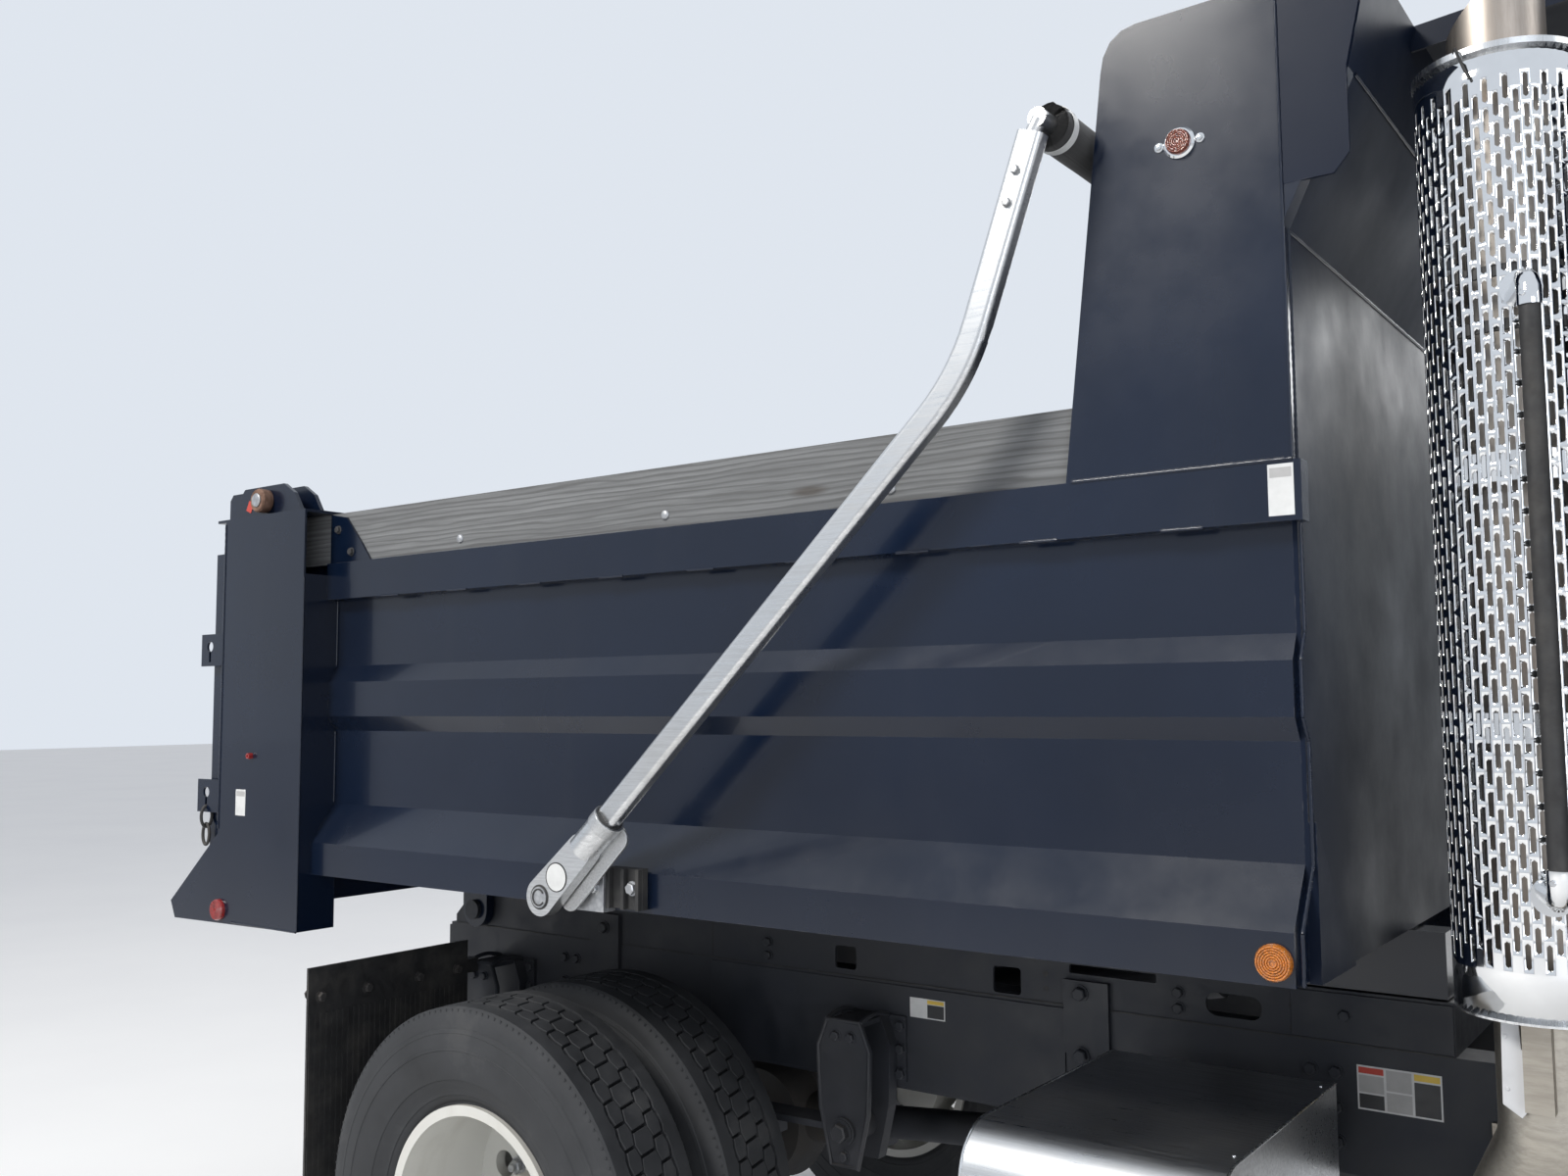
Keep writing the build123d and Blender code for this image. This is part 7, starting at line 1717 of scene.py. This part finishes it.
lamp_bezel = Shape()
lamp_bowls = Shape()
lamp_glass = Shape()
lamp_bulbs = Shape()
for side, hand in SIDES:
    middle_line = side * LAMP_MIDDLE
    outline = rectangle(*LAMP_OUTLINE, middle_line)
    back = rectangle(*LAMP_BACKING, middle_line)
    rim = [at(LAMP_RIM, left, up) for left, up in outline]
    lamp_bezel.tube(rim, 0.0065, 10, closed=True)
    count = len(outline)
    wall = [at(LAMP_BACK, left, up) for left, up in outline] + rim
    lamp_bezel.add(wall, [(i, (i + 1) % count, count + (i + 1) % count, count + i) for i in range(count)])
    lamp_bezel.prism(back, (5.2195, LAMP_BACK), axis="x")
    for shift in BOWL_SHIFTS:
        middle = at(LAMP_BACK, middle_line + shift, BOWL_HEIGHT)
        lamp_bowls.turn(middle, FORWARD, BOWL, 40, closed=True)
        lamp_bulbs.turn(middle, FORWARD, BULB, 20)
    lamp_glass.prism(outline, (LAMP_FRONT - 0.004, LAMP_FRONT - 0.001), axis="x")
    for i in range(FLUTES):
        left = middle_line - 0.132 + FLUTE_STEP * i
        lamp_glass.tube([at(LAMP_FRONT - 0.0015, left, z) for z in (0.945, 1.095)], 0.0016, 6)
headlamp_bezels = make("headlamp_bezels", lamp_bezel, "hood", CHROME, smooth=40)
make("headlamp_bowls", lamp_bowls, "hood", CHROME, smooth=50)
make("headlamp_bulbs", lamp_bulbs, "hood", WHITE_LABEL, smooth=50)
make("headlamp_glass", lamp_glass, "hood", GLASS, smooth=40)
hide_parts("headlamps")

# Bumper: its bolts and a blank plate

BUMPER_FACE = 5.420
BUMPER_BOLTS = [(y, z) for y in (-0.50, -0.43, 0.43, 0.50) for z in (0.545, 0.700)]
PLATE_SPAN = (5.4195, 5.4225)
PLATE_OUTLINE = (0.153, 0.520, 0.674, 0.012)
PLATE_SCREWS = [(y, z) for y in (-0.105, 0.105) for z in (0.534, 0.660)]
BUMPER_BOLT = ((-HIDE, 0.016), (0.003, 0.0155), (0.006, 0.012), (0.0075, 0.006))

bumper_bolts = Shape()
for y, z in BUMPER_BOLTS:
    bumper_bolts.turn(at(BUMPER_FACE, y, z), FORWARD, BUMPER_BOLT, 24)
make("bumper_bolts", bumper_bolts, "chassis", POLISHED, smooth=60)
front_plate = Shape()
front_plate.prism(rectangle(*PLATE_OUTLINE), PLATE_SPAN, axis="x")
for y, z in PLATE_SCREWS:
    front_plate.disc(at(PLATE_SPAN[1], y, z), FORWARD, 0.006, 0.002, top=0.005, steps=12)
make("blank_front_plate", front_plate, "chassis", WHITE_LABEL, bevel=0.0008)

# Dashboard: dials with rims, round vents, and three pedals

DASH_NORMAL = Vector((-0.610, 0, 0.793))
DASH_UP = Vector((0.793, 0, 0.610))
VENT_NORMAL = (-0.98, 0, 0.196)
# Each dial: place across, radius
DIALS = ((0.585, 0.044), (0.475, 0.044), (0.680, 0.027), (0.390, 0.027), (0.320, 0.027), (0.745, 0.027))
DIAL_PLACE = (3.662, 1.860)
VENTS = (-0.82, -0.32, 0.12, 0.86)
VENT_PLACE = (3.628, 1.730)
VENT_RADII = (0.038, 0.044)
VENT_BARS = (-0.02, 0.0, 0.02)
RIM_HEIGHT = 0.006
# Each pedal: place across, half width
PEDALS = ((0.600, 0.040), (0.470, 0.045), (0.370, 0.030))
PEDAL_SPAN = (3.700, 3.712)
PEDAL_HEIGHT = (1.235, 1.300)
PEDAL_STALK = ((3.705, 1.275), (3.740, 1.420), (3.868, 1.520))

dial_rims = Shape()
dial_faces = Shape()
needles = Shape()
for left, radius in DIALS:
    middle = at(DIAL_PLACE[0], left, DIAL_PLACE[1])
    dial_rims.ring(middle, DASH_NORMAL, (-HIDE, RIM_HEIGHT), (radius - 0.004, radius), 32)
    dial_faces.disc(middle, DASH_NORMAL, radius - 0.003, 0.001, steps=32)
    foot = DASH_NORMAL * 0.003
    needles.tube((middle + foot, middle + DASH_UP * radius * 0.7 + foot), 0.0012, 5)
for left in VENTS:
    vent = at(VENT_PLACE[0], left, VENT_PLACE[1])
    dial_rims.ring(vent, VENT_NORMAL, (-HIDE, RIM_HEIGHT), VENT_RADII, 32)
    for lift in VENT_BARS:
        bar = vent + Vector((-0.003, 0, lift))
        dial_rims.tube([bar + Vector((0, reach, 0)) for reach in (-0.034, 0.034)], 0.0025, 6)
for left, width in PEDALS:
    dial_faces.box(PEDAL_SPAN, (left - width, left + width), PEDAL_HEIGHT)
    dial_faces.tube([at(x, left, z) for x, z in PEDAL_STALK], 0.007, 8)
make("dial_rims", dial_rims, "chassis", CHROME, smooth=50)
make("dial_faces", dial_faces, "chassis", RUBBER, smooth=30)
make("dial_needles", needles, "chassis", WHITE_LABEL)

# Seats: cushions swollen by a short cloth simulation, with sewn channels, on a ribbed base

SEAT_MIDDLE = 0.520
PAD_ROUND = 0.026
PAD_VOXEL = 0.008
PAD_FRAMES = 20
PAD_PRESSURE = 4.0
PAD_CAP = 0.014
CHANNEL_DEPTH = 0.007
CHANNEL_WIDTH = 0.007
CUSHION_CHANNELS = [at(x, 0, 0).x for x in (2.96, 3.03, 3.10, 3.17)]
BACKREST_CHANNELS = [1.72, 1.80, 1.88, 1.96, 2.04]
# Each pad: name, span ahead, half width, height, whether it leans, channels, the axis they are counted on
PADS = (
    ("cushion", (2.900, 3.226), 0.236, (1.534, 1.628), False, CUSHION_CHANNELS, 0),
    ("backrest", (2.796, 2.876), 0.236, (1.545, 2.180), True, BACKREST_CHANNELS, 2),
    ("headrest", (2.788, 2.856), 0.136, (2.225, 2.338), True, [], 2),
)
BELLOWS = 9
BELLOWS_STEP = 0.034


def lean_at(z):
    """How far the seat's back leans to the rear at a height."""
    return 0.090 * (z - 1.520) / 0.680


def slab(name, x_span, half, z_span, leaning):
    """A plain block to start a pad from, as an object."""
    shape = Shape()
    shape.box(x_span, (-half, half), z_span)
    if leaning:
        shape.verts = [(x - lean_at(z), y, z) for x, y, z in shape.verts]
    mesh = bpy.data.meshes.new(name)
    mesh.from_pydata(shape.verts, [], shape.faces)
    blank = bpy.data.objects.new(name, mesh)
    bpy.context.scene.collection.objects.link(blank)
    rounding = blank.modifiers.new("rounding", "BEVEL")
    rounding.width = PAD_ROUND
    rounding.segments = 4
    voxels = blank.modifiers.new("voxels", "REMESH")
    voxels.mode = "VOXEL"
    voxels.voxel_size = PAD_VOXEL
    return blank


def shaped_mesh(holder):
    """The mesh that an object's modifiers make."""
    graph = bpy.context.evaluated_depsgraph_get()
    return bpy.data.meshes.new_from_object(holder.evaluated_get(graph))


def blown_up(blank):
    """Where a closed cover's points are after the cloth simulation."""
    cover = blank.modifiers.new("cover", "CLOTH")
    cover.settings.use_pressure = True
    cover.settings.uniform_pressure_force = PAD_PRESSURE
    cover.settings.effector_weights.gravity = 0.0
    cover.point_cache.frame_start = 1
    cover.point_cache.frame_end = PAD_FRAMES
    for step in range(1, PAD_FRAMES + 1):
        bpy.context.scene.frame_set(step)
    ends = [vertex.co.copy() for vertex in shaped_mesh(blank).vertices]
    bpy.context.scene.frame_set(1)
    return ends


def swollen(name, x_span, half, z_span, leaning):
    """A pad's points and faces after its cover has been blown up a little."""
    blank = slab(name, x_span, half, z_span, leaning)
    mesh = shaped_mesh(blank)
    start = [vertex.co.copy() for vertex in mesh.vertices]
    faces = [tuple(face.vertices) for face in mesh.polygons]
    blank.modifiers.clear()
    blank.data = mesh
    ends = blown_up(blank)
    bpy.data.objects.remove(blank)
    points = []
    for first, last in zip(start, ends):
        move = last - first
        if move.length > PAD_CAP:
            move = move.normalized() * PAD_CAP
        points.append(first + move)
    return points, faces


def channelled(points, lines, axis):
    """Points pulled in along sewn channels, which cross the pad at some places along an axis."""
    middle = sum(points, Vector()) / len(points)
    result = []
    for point in points:
        depth = 0.0
        for line in lines:
            away = (point[axis] - line) / CHANNEL_WIDTH
            depth = max(depth, CHANNEL_DEPTH * exp(-away * away))
        inward = middle - point
        inward[axis] = 0.0
        result.append(point + inward.normalized() * depth)
    return result


for pad_name, x_span, half, z_span, leaning, lines, axis in PADS:
    points, faces = swollen(pad_name, x_span, half, z_span, leaning)
    points = channelled(points, lines, axis)
    for side, hand in SIDES:
        pad = Shape()
        pad.add([point + Vector((0, side * SEAT_MIDDLE, 0)) for point in points], faces)
        piece = make(f"seat_{pad_name}_{hand}", pad, "chassis", CLOTH, smooth=180)
        finer = piece.modifiers.new("finer", "SUBSURF")
        finer.levels = 1
        finer.render_levels = 1
        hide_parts("seats")

for side, hand in SIDES:
    middle = side * SEAT_MIDDLE
    base = Shape()
    base.box((2.820, 3.200), (middle - 0.180, middle + 0.180), (1.160, 1.182))
    for i in range(BELLOWS):
        low = 1.182 + BELLOWS_STEP * i
        grow = 0.012 if i % 2 else 0.0
        across = (middle - 0.140 - grow, middle + 0.140 + grow)
        base.box((2.850 - grow, 3.150 + grow), across, (low, low + 0.035))
    base.box((2.800, 3.215), (middle - 0.215, middle + 0.215), (1.486, 1.530))
    make(f"seat_base_{hand}", base, "chassis", RUBBER, bevel=0.005)
    posts = Shape()
    for shift in (-0.06, 0.06):
        post = [at(x - lean_at(z), middle + shift, z) for x, z in ((2.835, 2.160), (2.822, 2.260))]
        posts.tube(post, 0.006, 12)
    make(f"headrest_posts_{hand}", posts, "chassis", CHROME, smooth=50)

# Rear lamps: rubber rings and ribbed lenses, and bolts on the mud flaps' bars

TAIL_LAMPS = (0.110, 0.230, 0.350)
TAIL_HEIGHT = 0.935
TAIL_FACE = -1.032
TAIL_RADIUS = 0.047
TAIL_RIBS = 8
TAIL_RIB_STEP = 0.0055
TAIL_RING = (
    (-0.004, 0.0525), (-0.004, 0.060), (0.001, 0.0595),
    (0.004, 0.054), (0.0035, 0.047), (-0.001, 0.047),
)
FLAP_FACE = -0.700
FLAP_BOLTS = (0.66, 0.80, 0.98, 1.13)
FLAP_BOLT_HEIGHT = 0.980
# The mud flaps' bar: its front and rear faces, and the way each faces
FLAP_BAR = ((FLAP_FACE, FORWARD), (-0.748, REARWARD))


def ribbed_lens():
    """The outline of a slightly domed lens with round ribs."""
    profile = [(-HIDE, TAIL_RADIUS)]
    for i in range(TAIL_RIBS):
        outer = 0.046 - TAIL_RIB_STEP * i
        lift = 0.0045 * (1 - (outer / TAIL_RADIUS) ** 2)
        profile += [(0.0005 + lift, outer), (0.0015 + lift, outer - 0.0025)]
    return profile + [(0.0055, 0.0008)]


tail_rings = Shape()
tail_lenses = Shape()
for side, hand in SIDES:
    for left in TAIL_LAMPS:
        face = at(TAIL_FACE, side * left, TAIL_HEIGHT)
        tail_rings.turn(face, REARWARD, TAIL_RING, 40, closed=True)
        tail_lenses.turn(face, REARWARD, ribbed_lens(), 40)
make("tail_lamp_rings", tail_rings, "chassis", RUBBER, smooth=40)
make("tail_lamp_lenses", tail_lenses, "chassis", RED, smooth=35)

flap_bolts = Shape()
for side, hand in SIDES:
    for y in FLAP_BOLTS:
        for x, direction in FLAP_BAR:
            flap_bolts.bolt(at(x, side * y, FLAP_BOLT_HEIGHT), direction, 0.026)
make("mud_flap_bolts", flap_bolts, "chassis", AXLE)

# Mud flaps: upright ribs moulded into the face that turns to the wheel

FLAP_SPAN = (0.632, 1.160)
FLAP_HEIGHT = (0.236, 0.935)
RIB_STEP = 0.0176
RIB_WIDTH = 0.006
RIB_DEPTH = 0.0022

ribs = Shape()
for side, hand in SIDES:
    place = FLAP_SPAN[0]
    while place < FLAP_SPAN[1]:
        across = (side * place, side * (place + RIB_WIDTH))
        ribs.box((FLAP_FACE - HIDE, FLAP_FACE + RIB_DEPTH), across, FLAP_HEIGHT)
        place += RIB_STEP
make("mud_flap_ribs", ribs, "chassis", RUBBER)

# Bed trim: what closes the wings' front edges, gusset and board bolts, and the chains' end links

WING_INNER = 1.139
WALL_EDGE = 1.107
# The top of the rail's end, and where the front wall folds ahead
WING_FOOT = 2.1622
FOLD_HEIGHT = 2.562
CLOSER_SPAN = (1.923, 1.934)
LEANING_CLOSER = ((1.923, 2.558), (1.934, 2.558), (2.048, 2.799), (2.040, 2.799))
WING_CORNER = ((1.9362, 2.626), (1.9362, 2.562), (1.968, 2.626))
GUSSET_FACE = 1.135
GUSSET_BOLTS = ((-0.655, 2.255), (-0.595, 2.190))
BOARD_BOLTS = (-0.15, 0.55, 1.15)
BOARD_BOLT = ((-HIDE, 0.012), (0.002, 0.0115), (0.005, 0.008), (0.006, 0.003))
CHAIN_END = (-1.145, 1.216, 1.4525)
# Each link of a chain's end: how far it hangs, and the way it is wide
CHAIN_LINKS = ((0.0, Vector(LEFTWARD)), (0.051, Vector(FORWARD)))
LINK_STEPS = 28
LINK_HALF_WIDTH = 0.0165
LINK_HALF_HEIGHT = 0.030
# Each fold of the front wall: ahead, up
WALL_FOLDS = ((1.9305, 2.5600), (2.0482, 2.8000))

for side, hand in SIDES:
    closer = Shape()
    closer.box(CLOSER_SPAN, (side * WALL_EDGE, side * WING_INNER), (WING_FOOT, FOLD_HEIGHT))
    closer.prism(LEANING_CLOSER, (side * 1.1025, side * WING_INNER))
    closer.prism(WING_CORNER, (side * WING_INNER, side * 1.1445))
    weld_foot, weld_top = (at(1.933, side * WALL_EDGE, z) for z in (WING_FOOT, FOLD_HEIGHT))
    closer.bead(weld_foot, weld_top, 0.0038, rng)
    make(f"wing_edge_{hand}", closer, "dump_body", NAVY)

    gusset_bolts = Shape()
    gusset_bolts.side_bolts(GUSSET_BOLTS, GUSSET_FACE, side, 0.019)
    make(f"gusset_bolts_{hand}", gusset_bolts, "dump_body", AXLE)
    board_bolts = Shape()
    for x in BOARD_BOLTS:
        for face, outward in ((1.129, side), (1.091, -side)):
            board_bolts.turn(at(x, side * face, 2.192), (0, outward, 0), BOARD_BOLT, 20)
    make(f"board_bolts_{hand}", board_bolts, "dump_body", GALVANISED, smooth=60)

    chain = Shape()
    top_link = at(CHAIN_END[0], side * CHAIN_END[1], CHAIN_END[2])
    for drop, wide in CHAIN_LINKS:
        link = []
        for i in range(LINK_STEPS):
            turn = 2 * pi * i / LINK_STEPS
            rise = Vector((0, 0, LINK_HALF_HEIGHT * sin(turn) - drop))
            link.append(top_link + wide * LINK_HALF_WIDTH * cos(turn) + rise)
        chain.tube(link, 0.0045, 10, closed=True)
    make(f"chain_end_{hand}", chain, "dump_body", AXLE, smooth=60)

folds = Shape()
for x, z in WALL_FOLDS:
    folds.bead(at(x, -1.100, z), at(x, 1.100, z), 0.0042, rng)
make("front_wall_welds", folds, "dump_body", NAVY, smooth=60)

# Floor: a pale sheet that glows a little where the camera or a bright metal sees it

FLOOR_HALF = 60.0
FLOOR_GLOW = 0.16

floor_mesh = bpy.data.meshes.new("studio_floor")
corners = [(x * FLOOR_HALF, y * FLOOR_HALF, 0) for x, y in ((-1, -1), (1, -1), (1, 1), (-1, 1))]
floor_mesh.from_pydata(corners, [], [(0, 1, 2, 3)])
floor = bpy.data.objects.new("studio_floor", floor_mesh)
bpy.context.scene.collection.objects.link(floor)
floor_finish = Finish("studio_floor", (0.80, 0.80, 0.79), 0.75)
floor_finish.spread((0.77, 0.77, 0.765), floor_finish.noise(0.6, 5.0), 0.4, 0.7)
path = floor_finish.node("ShaderNodeLightPath")
floor_seen = floor_finish.math("MAXIMUM", path.outputs["Is Camera Ray"], path.outputs["Is Glossy Ray"])
glow = floor_finish.math("MULTIPLY", floor_seen, FLOOR_GLOW)
floor_finish.shader.inputs["Emission Color"].default_value = (0.93, 0.95, 1.0, 1)
floor_finish.join(glow, floor_finish.shader.inputs["Emission Strength"])
floor_mesh.materials.append(floor_finish.material)

# World: a soft sky that lights the truck, and a plainer one where it is seen or mirrored

SKY_COLOUR = (0.90, 0.93, 1.0, 1)
SKY_STRENGTH = 0.50
SEEN_COLOUR = (0.74, 0.79, 0.86, 1)

world = bpy.data.worlds.new("studio")
bpy.context.scene.world = world
world.use_nodes = True
sky = Nodes(world.node_tree)
background = sky.tree.nodes["Background"]
sky.fill(background, {"Color": SKY_COLOUR, "Strength": SKY_STRENGTH})
seen = sky.node("ShaderNodeBackground", {"Color": SEEN_COLOUR, "Strength": 1.0})
path = sky.node("ShaderNodeLightPath")
mirrored = sky.math("MAXIMUM", path.outputs["Is Camera Ray"], path.outputs["Is Glossy Ray"])
either = sky.math("MAXIMUM", mirrored, path.outputs["Is Transmission Ray"])
blend = sky.node("ShaderNodeMixShader", {"Fac": either, 1: background.outputs[0], 2: seen.outputs[0]})
sky.join(blend.outputs[0], sky.tree.nodes["World Output"].inputs["Surface"])

# Lamps. Each one: name, place, what it faces, width, power in watts, colour

STUDIO_LAMPS = (
    ("key", (-3.6, -7.5, 8.0), (-0.4, -0.9, 1.2), 2.2, 760, (1.0, 0.97, 0.92)),
    ("fill", (6.5, -8.0, 3.5), (0.5, 0.0, 1.3), 5.0, 230, (0.92, 0.95, 1.0)),
    ("far", (1.0, 9.0, 6.5), (0.0, 0.0, 1.0), 5.0, 340, (1.0, 1.0, 1.0)),
    ("front", (9.5, 1.0, 4.5), (1.0, 0.0, 1.0), 4.0, 180, (1.0, 1.0, 1.0)),
)
for lamp_name, place, target, width, power, colour in STUDIO_LAMPS:
    data = bpy.data.lights.new(lamp_name, "AREA")
    data.size = width
    data.energy = power
    data.color = colour
    lamp = bpy.data.objects.new(lamp_name, data)
    lamp.location = place
    aim = Vector(target) - Vector(place)
    lamp.rotation_euler = aim.to_track_quat("-Z", "Y").to_euler()
    bpy.context.scene.collection.objects.link(lamp)

# Camera: where the photograph was taken from

CAMERA_PLACE = (2.600 + REAR_AXLE, -3.4268, 1.770)
CAMERA_RIGHT = (0.80068169, 0.59905094, -0.00684086)
CAMERA_UP = (0.05512259, -0.06229603, 0.99653435)
CAMERA_AHEAD = (-0.59654868, 0.79828389, 0.08290052)
CAMERA_LENS = 31.5
SENSOR_WIDTH = 36.0

camera_data = bpy.data.cameras.new("camera")
camera_data.lens = CAMERA_LENS
camera_data.sensor_width = SENSOR_WIDTH
camera_data.sensor_fit = "HORIZONTAL"
camera_data.clip_end = 500
camera = bpy.data.objects.new("camera", camera_data)
turn = Matrix((CAMERA_RIGHT, CAMERA_UP, [-c for c in CAMERA_AHEAD])).transposed()
camera.matrix_world = Matrix.Translation(CAMERA_PLACE) @ turn.to_4x4()
bpy.context.scene.collection.objects.link(camera)
bpy.context.scene.camera = camera
bpy.context.scene.view_settings.view_transform = "Standard"
